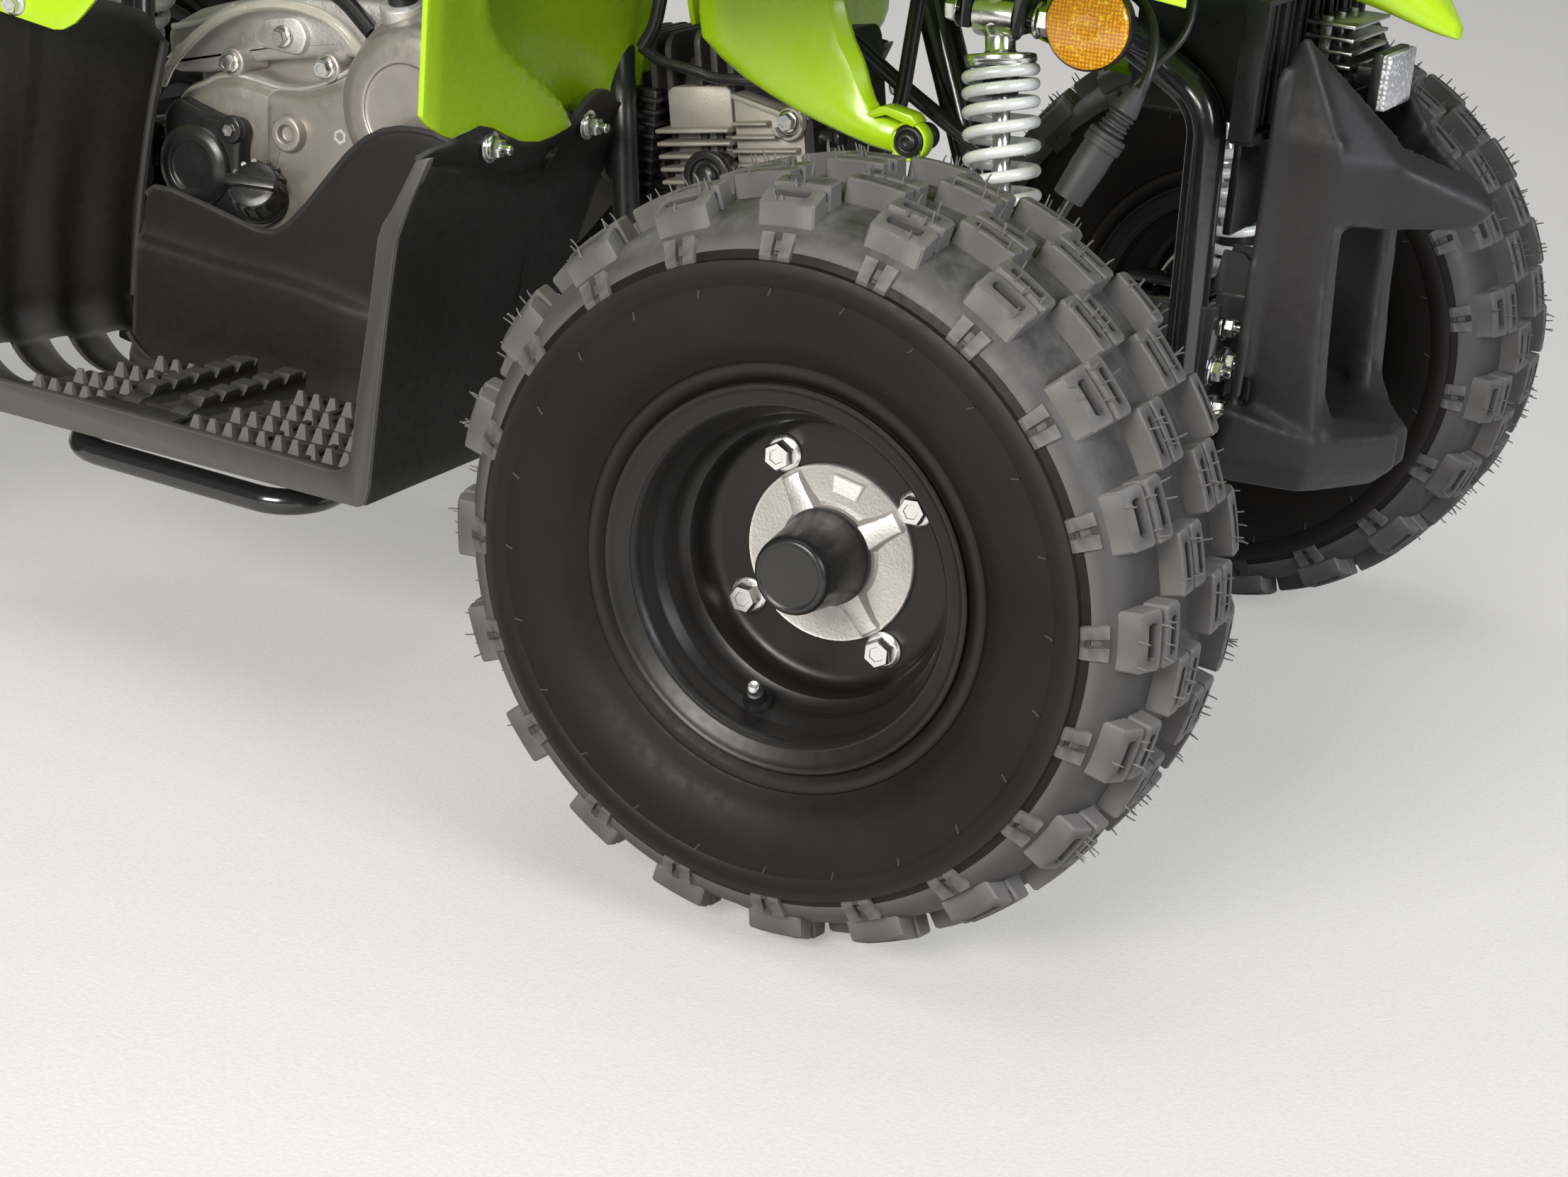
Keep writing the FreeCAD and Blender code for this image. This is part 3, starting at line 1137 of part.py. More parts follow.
left_footwell = footwell()
shaped("footwell_left", left_footwell)
shaped("footwell_right", flipped(left_footwell))


# Green bodywork: leg shields, front fender with nose, rear fender

spine_low = S.saddle_rail_z + 26


def leg_shield():
    """The left leg shield, above the front wall of the footwell."""
    wall = S.shell_wall
    back = S.footwell_front_top - wall - 0.6
    top_z = 470
    face = [(back, 292, 372), (back, 262, 356), (back, 176, 351), (back, 124, 362), (back, 62, 374), (back, 52, 414),
            (back, 70, top_z), (back, 276, top_z)]
    lower = slab(face, (-wall, 0, 0), 6)
    reach = [(back - wall, 70, top_z - 4), (back, 70, top_z), (back, 276, top_z), (back - wall, 276, top_z - 4)]
    shoulder_z = spine_low - 0.3
    shoulder = [(back - 12, 80, shoulder_z), (back - 7, 80, shoulder_z), (back - 7, 150, shoulder_z),
                (back - 12, 150, shoulder_z)]
    upper = Part.makeLoft([outline(reach), outline(shoulder)], True, True)
    side = slab([(back - 1, 276, 374), (back - 34, 276, 366), (back - 46, 276, top_z - 30),
                 (back - 2, 276, top_z - 2)], (0, -wall, 0), 4)
    return joined([lower, upper, side])


shaped("side_panels", node_copies(leg_shield()))


def hull_section(x, half, low, high, corner):
    """Rounded cross section of a body panel, square to X."""
    return outline([(x, -half, low), (x, half, low), (x, half * 0.78, high), (x, -half * 0.78, high)], corner)


spine_sections = [
    # x, half width, underside, top
    (62, 92, spine_low, 596), (190, 106, spine_low, 636), (330, 104, spine_low, 632), (440, 106, 500, 604),
    (545, 84, 483, 560),
    (604, 44, 466, 506), (S.nose_tip_x, 7, S.nose_tip_z - 3, S.nose_tip_z + 6),
]
spine = Part.makeLoft([hull_section(x, half, low, high, 5 if half < 20 else 18)
                       for x, half, low, high in spine_sections], True, True)
front_arch = [(262, 484), (292, 512), (360, 532), (445, S.fender_z), (540, 533), (596, 522)]
front_wing = arched_plate(front_arch, S.shell_wall, 92, S.fender_half)
strut_y = 182
strut = slab([(258, strut_y, 520), (266, strut_y, 442), (277, strut_y, 420), (368, strut_y, 376), (396, strut_y, 376),
              (390, strut_y, 400), (352, strut_y, 455), (330, strut_y, 534)], (0, S.shell_wall, 0), 9)
front_half = joined([front_wing, strut])
column_slot = Part.makeCylinder(S.column_radius + 12, 400, on_column(480), column_way)
front_fender = joined([spine, front_half, flipped(front_half)]).cut(column_slot)
shaped("front_fender", front_fender)

rear_arch = [(-246, 500), (-300, 522), (-380, 536), (-455, 540), (-560, 536), (-636, 524)]
rear_wing = arched_plate(rear_arch, S.shell_wall, 94, S.fender_half)
tail_low = S.saddle_rail_z + S.tube_radius + 0.3
tail_deck = slab([(58, -100, tail_low), (-560, -100, tail_low), (-650, -100, tail_low + 14),
                  (-650, -100, tail_low + 34), (-540, -100, tail_low + 20), (58, -100, tail_low + 20)], (0, 200, 0))
rear_fender = joined([tail_deck, rear_wing, flipped(rear_wing)])
shaped("rear_fender", rear_fender)

saddle_sections = [
    # x, half width, top
    (S.saddle_front, 58, S.saddle_top - 12), (0, 74, S.saddle_top - 22), (-180, 92, S.saddle_top - 18),
    (-340, S.saddle_half, S.saddle_top - 4), (-470, S.saddle_half, S.saddle_top), (S.saddle_back, 92, S.saddle_top - 6),
]
saddle_low = tail_low + 20.3
saddle = Part.makeLoft([hull_section(x if x != S.saddle_front else 56, half, saddle_low, top, 14)
                        for x, half, top in saddle_sections], True, False)
shaped("seat", saddle)


# Front end: bumper, panel, lamps and reflectors

def loop_face(z):
    """Front of the frame loop at a height, with a seating gap."""
    share = (z - S.rail_z) / (S.front_loop_z - S.rail_z)
    return S.front_loop_x - 8 * share + S.tube_radius + 0.3


nose_back = S.nose_x - 12
bumper_arm = beam([
    # x, y, z, width, depth
    (572, S.bumper_half + 6, S.bumper_tip_z, 10, 12), (590, S.bumper_half + 2, 426, 26, 34),
    (622, S.bumper_half - 20, 393, 32, 38), (654, 18, 373, 36, 34), (nose_back, 4, S.bumper_nose_z, 22, 22),
], 4)
bumper_post = beam([(598, S.bumper_half, 412, 30, 38), (592, S.bumper_half, 320, 32, 42),
                    (588, S.bumper_half - 2, 240, 34, 44), (592, S.bumper_half - 8, S.bumper_foot_z + 18, 30, 36)], 6)
bumper_nose = beam([(640, 0, 374, 60, 36), (nose_back, 0, S.bumper_nose_z + 2, 44, 30),
                    (S.nose_x, 0, S.bumper_nose_z - 2, 26, 16)], 6)
pod = beam([(574, 0, 226, 2 * S.bumper_half + 22, 50), (604, 0, 222, 2 * S.bumper_half + 18, 54),
            (632, 0, 220, 70, 44), (646, 0, 222, 44, 26)], 8)
bumper_half_solid = joined([bumper_arm, bumper_post])
stay_end = S.nose_x - 95
stays = [box((loop_face(z), -S.rail_y - 4, z), (stay_end, S.rail_y + 4, z + 14)) for z in (232, 300)]
bumper = joined([bumper_half_solid, flipped(bumper_half_solid), bumper_nose, pod] + stays)
shaped("front_bumper", bumper)

panel_back = S.panel_x
panel = box((panel_back, -S.panel_half, 334), (panel_back + 8, S.panel_half, 474))
ribs = [box((panel_back + 6, -S.panel_half + 8 + step * 18, 340), (panel_back + 14, -S.panel_half + 14 + step * 18, 470))
        for step in range(10)]
panel_stay = [box((loop_face(350), side * S.rail_y - 6, 350), (panel_back + 1, side * S.rail_y + 6, 362))
              for side in (-1, 1)]
reflector_stay = box((panel_back + 4, -8, 424), (panel_back + 52.7, 8, 434))
shaped("front_panel", joined([panel, reflector_stay] + ribs + panel_stay))

reflector_box = padded("front_reflector", "YZ_Plane", [
    ("0 - 27", "0 - 16"), ("27", "0 - 16"), ("27", "16"), ("0 - 27", "16"),
], "10")
bound(reflector_box, x="Sizes.panel_x + 58", z="429 mm")

amber = Part.makeCylinder(S.reflector_radius, 12, Vector(488, S.shock_top_y + 2.3, 459), LEFT)
shaped("side_reflectors", node_copies(amber))
lamp = Part.makeSphere(30, Vector(556, 52, 532))
lamp = lamp.common(box((556, 0, 480), (620, 120, 580)))
lamp = lamp.cut(spine)
shaped("headlamps", node_copies(lamp))
taillight = box((-661, -42, tail_low + 14), (-650.3, 42, tail_low + 34))
shaped("taillight", taillight)


# Front brake cables: down from the column, past the shock absorber, to the kingpin yoke

def brake_cable():
    """The left cable, held by clips along its whole way."""
    rest_z = shock_bar_z + S.brace_radius + S.cable_radius + 0.4
    route = [(318, 92, 506), (396, 110, rest_z), (474, 136, rest_z), (516, 160, 474), (533, 184, 440),
             (512, shock_foot_y - 13, 404), (482, kingpin_y - 49, 330), (466, kingpin_y - 33, 285),
             (457, kingpin_y - 22, 245.7)]
    return tube(route, S.cable_radius, 40)


shaped("brake_cables", node_copies(brake_cable()))


# Check every object, then write one file for each node

doc.recompute()
broken = [o.Label for o in doc.Objects if "Invalid" in o.State or "Error" in o.State]
nodes = [o for o in doc.Objects if o.TypeId in ("PartDesign::Body", "Part::Feature")]
for node in nodes:
    if node.Shape.isNull() or not node.Shape.isValid() or not node.Shape.Solids:
        broken.append(node.Label)
if broken:
    raise RuntimeError("broken: " + ", ".join(broken))
for node in nodes:
    node.Shape.exportStep("parts/%s.step" % node.Label)
print(len(nodes), "nodes written")
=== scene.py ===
import bpy, bmesh, json, math, random
from mathutils import Matrix, Vector
from mathutils.bvhtree import BVHTree

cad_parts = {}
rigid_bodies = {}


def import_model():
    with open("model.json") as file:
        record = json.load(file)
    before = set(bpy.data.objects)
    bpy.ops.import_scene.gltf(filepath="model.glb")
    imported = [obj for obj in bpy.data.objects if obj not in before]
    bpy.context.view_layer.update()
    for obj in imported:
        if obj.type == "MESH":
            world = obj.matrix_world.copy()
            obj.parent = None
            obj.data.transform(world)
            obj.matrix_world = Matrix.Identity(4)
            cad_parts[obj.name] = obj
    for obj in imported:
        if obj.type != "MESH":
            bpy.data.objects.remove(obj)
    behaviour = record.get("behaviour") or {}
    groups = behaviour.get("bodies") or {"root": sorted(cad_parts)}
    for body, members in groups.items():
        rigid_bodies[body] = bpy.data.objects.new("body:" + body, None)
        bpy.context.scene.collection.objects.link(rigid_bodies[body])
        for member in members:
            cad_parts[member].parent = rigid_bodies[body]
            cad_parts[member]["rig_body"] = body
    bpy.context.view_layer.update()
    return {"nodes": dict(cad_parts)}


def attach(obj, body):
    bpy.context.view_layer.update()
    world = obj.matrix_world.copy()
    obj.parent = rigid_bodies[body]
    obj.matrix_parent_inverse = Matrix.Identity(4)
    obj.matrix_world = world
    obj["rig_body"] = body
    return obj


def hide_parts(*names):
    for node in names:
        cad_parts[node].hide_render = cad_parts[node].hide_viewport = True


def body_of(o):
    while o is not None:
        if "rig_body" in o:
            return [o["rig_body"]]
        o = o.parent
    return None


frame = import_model()
NODES = frame["nodes"]


# Helpers: shapes are given in millimetres

def v3(p):
    """A point in millimetres as a vector in metres."""
    return Vector([c / 1000 for c in p])


def linked(name, mesh):
    """A new object in the scene."""
    obj = bpy.data.objects.new(name, mesh)
    bpy.context.scene.collection.objects.link(obj)
    return obj


def modify(obj, kind, **values):
    """A modifier with its settings."""
    mod = obj.modifiers.new(kind.lower(), kind)
    for key, value in values.items():
        setattr(mod, key, value)
    return mod


def applied(obj, keep=False):
    """The mesh with the modifiers worked in. The object takes it over if kept, and is removed if not."""
    bpy.context.view_layer.update()
    deps = bpy.context.evaluated_depsgraph_get()
    mesh = bpy.data.meshes.new_from_object(obj.evaluated_get(deps))
    if keep:
        obj.modifiers.clear()
        obj.data = mesh
    else:
        spent = obj.data
        bpy.data.objects.remove(obj)
        bpy.data.meshes.remove(spent)
    return mesh


def shade(mesh, angle):
    """Smooth faces, with edges sharp from an angle in degrees."""
    mesh.shade_smooth()
    mesh.set_sharp_from_angle(angle=math.radians(angle))


def round_edges(obj, width, segments, angle, **more):
    """Bevels the edges sharper than an angle. Width in millimetres."""
    modify(obj, "BEVEL", width=width / 1000, segments=segments, limit_method="ANGLE",
           angle_limit=math.radians(angle), use_clamp_overlap=True, **more)


def finish_piece(name, mesh, mat, body, angle=35, replaces=()):
    mesh.name = name
    mesh.materials.clear()
    mesh.materials.append(mat)
    shade(mesh, angle)
    obj = linked(name, mesh)
    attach(obj, body)
    if replaces:
        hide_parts(*replaces)
    return obj


class Build:
    """Collects the vertices and faces of one piece."""

    def __init__(self):
        self.v = []
        self.f = []

    def add(self, verts, faces):
        base = len(self.v)
        self.v.extend(tuple(p) for p in verts)
        self.f.extend(tuple(base + i for i in f) for f in faces)

    def mesh(self, name, clean=True):
        """The mesh in metres. Cleaned, its doubles are merged and its faces turned outwards."""
        made = bpy.data.meshes.new(name)
        made.from_pydata([v3(p) for p in self.v], [], self.f)
        made.update()
        if clean:
            bm = bmesh.new()
            bm.from_mesh(made)
            bmesh.ops.remove_doubles(bm, verts=bm.verts, dist=0.00001)
            bmesh.ops.recalc_face_normals(bm, faces=bm.faces)
            bm.to_mesh(made)
            bm.free()
        return made

    def piece(self, name, mat, body, slot, angle=35, replaces=()):
        return finish_piece(name, self.mesh(name), mat, body, angle, replaces)


def grid_faces(rows, cols, close_rows=False, close_cols=False):
    """Faces over rows of points, with the ends joined if asked."""
    faces = []
    for i in range(rows if close_rows else rows - 1):
        near, far = i * cols, (i + 1) % rows * cols
        for j in range(cols if close_cols else cols - 1):
            beside = (j + 1) % cols
            faces.append((near + j, near + beside, far + beside, far + j))
    return faces


def skin(build, rings, closed=False):
    """A skin over rings of points, with a flat face on each end or the ends joined."""
    n = len(rings[0])
    faces = grid_faces(len(rings), n, close_rows=closed, close_cols=True)
    if not closed:
        last = (len(rings) - 1) * n
        faces += [tuple(range(n)), tuple(last + i for i in range(n))[::-1]]
    build.add([p for ring in rings for p in ring], faces)


def axes_for(way):
    """Two directions square to a third."""
    way = Vector(way).normalized()
    helper = Vector((0, 0, 1)) if abs(way.z) < 0.9 else Vector((1, 0, 0))
    side = way.cross(helper).normalized()
    return side, way.cross(side).normalized()


def circle(centre, a, b, radius, steps, turn=0.0):
    """Points round a centre in the plane of two directions."""
    angles = [2 * math.pi * k / steps + turn for k in range(steps)]
    return [centre + (a * math.cos(t) + b * math.sin(t)) * radius for t in angles]


def lathe(build, profile, centre, way, steps=48, closed=False):
    """Turns (radius, distance) points about an axis through centre."""
    way = Vector(way).normalized()
    a, b = axes_for(way)
    centre = Vector(centre)
    skin(build, [circle(centre + way * d, a, b, max(r, 0.001), steps) for r, d in profile], closed)


def arc(pa, b, pc, steps):
    """Points of the quadratic curve that cuts the corner b."""
    return [pa * (1 - t) ** 2 + b * 2 * t * (1 - t) + pc * t * t for t in (k / steps for k in range(steps + 1))]


def rounded(profile, size, steps=3):
    """A profile with its corners cut round by a size in millimetres."""
    out = [profile[0]]
    for before, p, after in zip(profile, profile[1:], profile[2:]):
        a, b, c = Vector(before), Vector(p), Vector(after)
        ra, rc = (min(size, (end - b).length * 0.45) for end in (a, c))
        out += [tuple(q) for q in arc(b + (a - b).normalized() * ra, b, b + (c - b).normalized() * rc, steps)]
    return out + [profile[-1]]


def smooth_path(points, spacing=4.0, bend=0.45):
    """Rounds the corners of a run of points, evenly sampled."""
    pts = [Vector(p) for p in points]
    out = [pts[0]]
    for a, b, c in zip(pts, pts[1:], pts[2:]):
        pa, pc = b + (a - b) * bend, b + (c - b) * bend
        out += arc(pa, b, pc, max(3, int(((pa - b).length + (pc - b).length) / spacing)))
    return out + [pts[-1]]


def sweep(build, path, radius, steps=12):
    """A round bar along a path. radius is a number or a function of the share of the way."""
    pts = [Vector(p) for p in path]
    total = sum((q - p).length for p, q in zip(pts, pts[1:])) or 1
    tangent = (pts[1] - pts[0]).normalized()
    a, b = axes_for(tangent)
    rings = []
    run = 0
    for i, p in enumerate(pts):
        if i:
            run += (p - pts[i - 1]).length
        ahead = (pts[min(i + 1, len(pts) - 1)] - pts[max(i - 1, 0)]).normalized()
        turn = tangent.rotation_difference(ahead)
        a, b = turn @ a, turn @ b
        tangent = ahead
        rings.append(circle(p, a, b, radius(run / total) if callable(radius) else radius, steps))
    skin(build, rings)


def block(build, low, high, bevel=1.0, turn=None, centre=None):
    """A block with cut edges between two corners, turned about a centre of its own if asked."""
    low, high = Vector(low), Vector(high)
    half = (high - low) / 2
    bm = bmesh.new()
    bmesh.ops.create_cube(bm, size=2)
    for v in bm.verts:
        v.co = Vector([c * h for c, h in zip(v.co, half)])
    bmesh.ops.bevel(bm, geom=list(bm.edges), offset=min(bevel, min(half) * 0.9), segments=2, profile=0.6,
                    affect="EDGES")
    bm.verts.index_update()
    at = (low + high) / 2 if centre is None else Vector(centre)
    build.add([(turn @ v.co if turn else v.co) + at for v in bm.verts],
              [[v.index for v in f.verts] for f in bm.faces])
    bm.free()


def hex_head(build, centre, way, across=13, height=6, washer=None, dome=1.0, turn=0.3, stem=None):
    """A hexagonal bolt head with a flange and a chamfered top. way points out of the surface."""
    way = Vector(way).normalized()
    a, b = axes_for(way)
    centre = Vector(centre)
    if washer:
        lathe(build, rounded([(0.01, 0), (washer, 0), (washer, 1.1), (washer * 0.82, 2.1), (0.01, 2.4)], 0.5, 2),
              centre, way, 28)
    r = across / math.sqrt(3)
    rings = [(r, 1.6 if washer else 0), (r, height - dome), (r * 0.9, height), (r * 0.55, height),
             (r * 0.5, height - 0.5)]
    skin(build, [circle(centre + way * d, a, b, radius, 6, turn) for radius, d in rings])
    if stem:
        lathe(build, rounded([(0.01, height - 1), (stem, height - 1), (stem, height + 5), (stem * 0.8, height + 6),
                              (0.01, height + 6)], 0.4, 2), centre, way, 16)


def prism(build, outline, thickness, place):
    """A flat outline (u, v) pushed by a thickness along w, put in place by a function of (u, v, w)."""
    skin(build, [[place(u, v, w) for u, v in outline] for w in (0, thickness)])


def refined(name, node_name, mat, bevel, segments):
    """A CAD node's own shape with its sharp edges rounded, standing for the node."""
    bm = bmesh.new()
    bm.from_mesh(NODES[node_name].data)
    bmesh.ops.remove_doubles(bm, verts=bm.verts, dist=0.000004)
    bmesh.ops.dissolve_limit(bm, angle_limit=math.radians(0.6), verts=bm.verts, edges=bm.edges)
    bm.normal_update()
    mesh = bpy.data.meshes.new(name)
    bm.to_mesh(mesh)
    bm.free()
    obj = linked(name, mesh)
    round_edges(obj, bevel, segments, 32, miter_outer="MITER_ARC")
    body = body_of(NODES[node_name])[0]
    return finish_piece(name, applied(obj), mat, body, 40, [node_name])


# Materials

def feed(nt, made, sockets):
    """Sets sockets to values or links them to outputs."""
    for key, value in sockets.items():
        if isinstance(value, bpy.types.NodeSocket):
            nt.links.new(value, made.inputs[key])
        else:
            made.inputs[key].default_value = value


def node(nt, kind, sockets=None, **settings):
    """A shader node with its settings and sockets."""
    made = nt.nodes.new("ShaderNode" + kind)
    for key, value in settings.items():
        setattr(made, key, value)
    feed(nt, made, sockets or {})
    return made


def material(name):
    """A bare material, its node tree, its shader and the object's own coordinates."""
    mat = bpy.data.materials.new(name)
    mat.use_nodes = True
    nt = mat.node_tree
    nt.nodes.clear()
    bsdf = node(nt, "BsdfPrincipled")
    node(nt, "OutputMaterial", {0: bsdf.outputs[0]})
    return mat, nt, bsdf, node(nt, "TexCoord").outputs["Object"]


def noise(nt, vector, scale, detail=3, rough=0.55):
    return node(nt, "TexNoise", {"Vector": vector, "Scale": scale, "Detail": detail, "Roughness": rough}).outputs["Fac"]


def bands(nt, vector, scale, direction, distortion=0.0):
    sockets = {"Vector": vector, "Scale": scale, "Distortion": distortion}
    return node(nt, "TexWave", sockets, wave_type="BANDS", bands_direction=direction).outputs["Fac"]


def ramp(nt, fac, *stops):
    """A colour ramp between two (position, colour) stops."""
    made = node(nt, "ValToRGB", {"Fac": fac})
    for element, (position, colour) in zip(made.color_ramp.elements, stops):
        element.position = position
        element.color = (*colour, 1)
    return made.outputs["Color"]


def value_ramp(nt, fac, low, high, a=0.0, b=1.0):
    """Values from low to high while fac runs from a to b."""
    sockets = {"Value": fac, "From Min": a, "From Max": b, "To Min": low, "To Max": high}
    return node(nt, "MapRange", sockets).outputs["Result"]


def product(nt, a, b):
    return node(nt, "Math", {0: a, 1: b}, operation="MULTIPLY").outputs[0]


def mix_color(nt, fac, under, over):
    return node(nt, "Mix", {0: fac, 6: under, 7: (*over, 1)}, data_type="RGBA").outputs[2]


def bump(nt, bsdf, height, strength, distance, chain=None):
    sockets = {"Height": height, "Strength": strength, "Distance": distance}
    if chain is not None:
        sockets["Normal"] = chain
    normal = node(nt, "Bump", sockets).outputs["Normal"]
    feed(nt, bsdf, {"Normal": normal})
    return normal


def surface(name, base, rough=(0.4, 0.5), metal=0.0, grain=None, mottle=0.12, wear=None, spec=0.5, coat=0.0,
            orange=None, dust_and_top_light=None, coat_rough=0.1, mottle_scale=14):
    """One family of procedural surfaces: mottled colour, uneven roughness, one or two scales of grain,
    rubbed edges, and dust mixed with painted top light that lightens what faces up."""
    mat, nt, bsdf, vec = material(name)
    dark, light = (tuple(min(1, c * share) for c in base) for share in (1 - mottle, 1 + mottle))
    colour = ramp(nt, noise(nt, vec, mottle_scale, 4), (0.3, dark), (0.7, light))
    geometry = node(nt, "NewGeometry")
    if wear:
        colour = mix_color(nt, value_ramp(nt, geometry.outputs["Pointiness"], 0, 1, 0.52, 0.60), colour, wear)
    # Dust and painted top light: what faces up is lightened in noisy patches, as if lit from above.
    if dust_and_top_light:
        normal = node(nt, "SeparateXYZ", {0: geometry.outputs["Normal"]})
        up = value_ramp(nt, normal.outputs["Z"], 0, 1, 0.25, 1.0)
        patches = value_ramp(nt, noise(nt, vec, 55, 5, 0.65), 0.0, dust_and_top_light[1], 0.35, 0.75)
        colour = mix_color(nt, product(nt, up, patches), colour, dust_and_top_light[0])
    feed(nt, bsdf, {"Base Color": colour, "Metallic": metal, "Specular IOR Level": spec, "Coat Weight": coat,
                    "Coat Roughness": coat_rough, "Roughness": value_ramp(nt, noise(nt, vec, 160), *rough, 0.3, 0.7)})
    chain = None
    if orange:
        chain = bump(nt, bsdf, noise(nt, vec, orange[0], 2), orange[1], 0.0006)
    if grain:
        bump(nt, bsdf, noise(nt, vec, grain[0], 4, 0.6), grain[1], 0.0004, chain)
    return mat


# The tread's up-facing faces are lightened, partly by dust and partly as painted top light.
M_RUBBER = surface("tyre_rubber", (0.034, 0.0325, 0.0315), (0.48, 0.64), grain=(900, 0.25), mottle=0.30,
                   wear=(0.115, 0.11, 0.106), spec=0.4, dust_and_top_light=((0.19, 0.185, 0.18), 0.62), mottle_scale=9)
M_SIDEWALL = surface("tyre_sidewall", (0.0090, 0.0078, 0.0070), (0.42, 0.56), grain=(1400, 0.15), mottle=0.22,
                     wear=(0.045, 0.041, 0.038), spec=0.16)
M_RIM = surface("rim_paint", (0.0095, 0.0090, 0.0088), (0.34, 0.44), mottle=0.1, orange=(260, 0.10),
                spec=0.30, coat=0.08, coat_rough=0.3)
# Paler than the grained plastic: partly rubbed wear, partly painted light for the edge strip and floor teeth that catch
# the lamps.
M_WORN_PAINTED_LIGHT_PLASTIC = surface("worn_plastic_painted_lit", (0.027, 0.0255, 0.024), (0.46, 0.60), grain=(1300, 0.30), mottle=0.16,
                 wear=(0.15, 0.145, 0.14), spec=0.3)
M_FRAME = surface("frame_paint", (0.012, 0.012, 0.013), (0.16, 0.26), mottle=0.1, orange=(200, 0.15), spec=0.55,
                  coat=0.6, wear=(0.04, 0.04, 0.042))
M_PLASTIC = surface("grained_plastic", (0.0105, 0.0097, 0.0092), (0.42, 0.56), grain=(1500, 0.35), mottle=0.08,
                    wear=(0.045, 0.044, 0.043), spec=0.34)
M_PLASTIC_SMOOTH = surface("smooth_plastic", (0.014, 0.014, 0.0145), (0.26, 0.36), mottle=0.08, orange=(240, 0.12),
                           spec=0.5)
M_GREY_PLASTIC = surface("bumper_plastic", (0.0175, 0.0165, 0.0170), (0.40, 0.52), grain=(1300, 0.35), mottle=0.10,
                         wear=(0.08, 0.078, 0.08), spec=0.34)
M_GREEN = surface("green_plastic", (0.385, 0.610, 0.009), (0.22, 0.32), mottle=0.03, orange=(190, 0.06), spec=0.5,
                  coat=0.25, coat_rough=0.12, mottle_scale=6)
M_CAST = surface("cast_aluminium", (0.50, 0.485, 0.46), (0.42, 0.58), metal=0.8, grain=(620, 0.85), mottle=0.10,
                 wear=(0.86, 0.85, 0.83), mottle_scale=30)
M_ENGINE = surface("engine_paint", (0.385, 0.355, 0.315), (0.34, 0.46), metal=0.7, grain=(900, 0.30), mottle=0.10,
                   wear=(0.82, 0.80, 0.77), mottle_scale=22)
M_CYL = surface("cylinder_alloy", (0.37, 0.34, 0.30), (0.40, 0.55), metal=0.35, grain=(800, 0.45), mottle=0.16,
                mottle_scale=30)
M_BRIGHT = surface("zinc_bright", (0.74, 0.74, 0.72), (0.16, 0.30), metal=1.0, grain=(1200, 0.10), mottle=0.08,
                   mottle_scale=60)
M_SPRING = surface("spring_silver", (0.70, 0.705, 0.71), (0.24, 0.33), metal=0.15, orange=(300, 0.03), mottle=0.01,
                   coat=0.4)
M_STEEL_DARK = surface("dark_steel", (0.05, 0.05, 0.052), (0.30, 0.45), metal=0.7, grain=(900, 0.2), mottle=0.15)
M_EXHAUST = surface("exhaust_black", (0.022, 0.021, 0.020), (0.45, 0.62), grain=(1100, 0.3), mottle=0.25,
                    wear=(0.06, 0.055, 0.05))
M_CABLE = surface("cable_rubber", (0.010, 0.010, 0.010), (0.36, 0.48), grain=(1200, 0.12), mottle=0.08)
M_SEAT = surface("seat_vinyl", (0.017, 0.017, 0.018), (0.44, 0.56), grain=(620, 0.75), mottle=0.10, orange=(60, 0.2))
M_BOOT = surface("soft_boot", (0.030, 0.030, 0.033), (0.50, 0.62), grain=(1000, 0.2), mottle=0.1)


def lens(name, base, rough=0.12, trans=0.0, cell=420, lift=0.0):
    """A ribbed reflector: a fine square relief under a clear glossy face, with painted shade in the relief's grooves,
    painted glints in random specks and, where lift is set, a painted glow.
    """
    mat, nt, bsdf, vec = material(name)
    relief = product(nt, *(bands(nt, vec, cell, way) for way in "XZ"))
    # Painted shade: the relief's grooves are darkened to 40 % of the base colour.
    cells_with_painted_shade = ramp(nt, relief, (0.05, tuple(c * 0.40 for c in base)), (0.45, base))
    # Painted glints: random specks of a brighter colour.
    painted_glint_mask = value_ramp(nt, noise(nt, vec, 420, 2), 0.0, 0.9, 0.56, 0.66)
    painted_glint_colour = tuple(min(1.0, c * 1.6 + 0.02) for c in base)
    feed(nt, bsdf, {"Base Color": mix_color(nt, painted_glint_mask, cells_with_painted_shade, painted_glint_colour), "Roughness": rough,
                    "Transmission Weight": trans, "Coat Weight": 0.8})
    # lift makes the lens glow: a painted glow, as a reflector holds no lamp.
    if lift:
        feed(nt, bsdf, {"Emission Color": (*base, 1), "Emission Strength": lift})
    bump(nt, bsdf, relief, 0.8, 0.0004)
    return mat


# The amber reflectors glow faintly through lift=0.22: painted light.
M_AMBER = lens("amber_lens", (1.0, 0.40, 0.008), lift=0.22, cell=150)
M_WHITE_LENS = lens("white_lens", (0.78, 0.79, 0.82), cell=110)
M_RED_LENS = lens("red_lens", (0.55, 0.01, 0.008))
M_CLEAR = lens("clear_lens", (0.9, 0.92, 0.95), rough=0.06, trans=0.75, cell=150)

M_HOSE, nt, bsdf, vec = material("clear_hose")
feed(nt, bsdf, {"Base Color": ramp(nt, noise(nt, vec, 40, 2), (0.3, (0.80, 0.76, 0.66)), (0.7, (0.90, 0.87, 0.80))),
                "Roughness": 0.15, "Transmission Weight": 0.75, "IOR": 1.4})

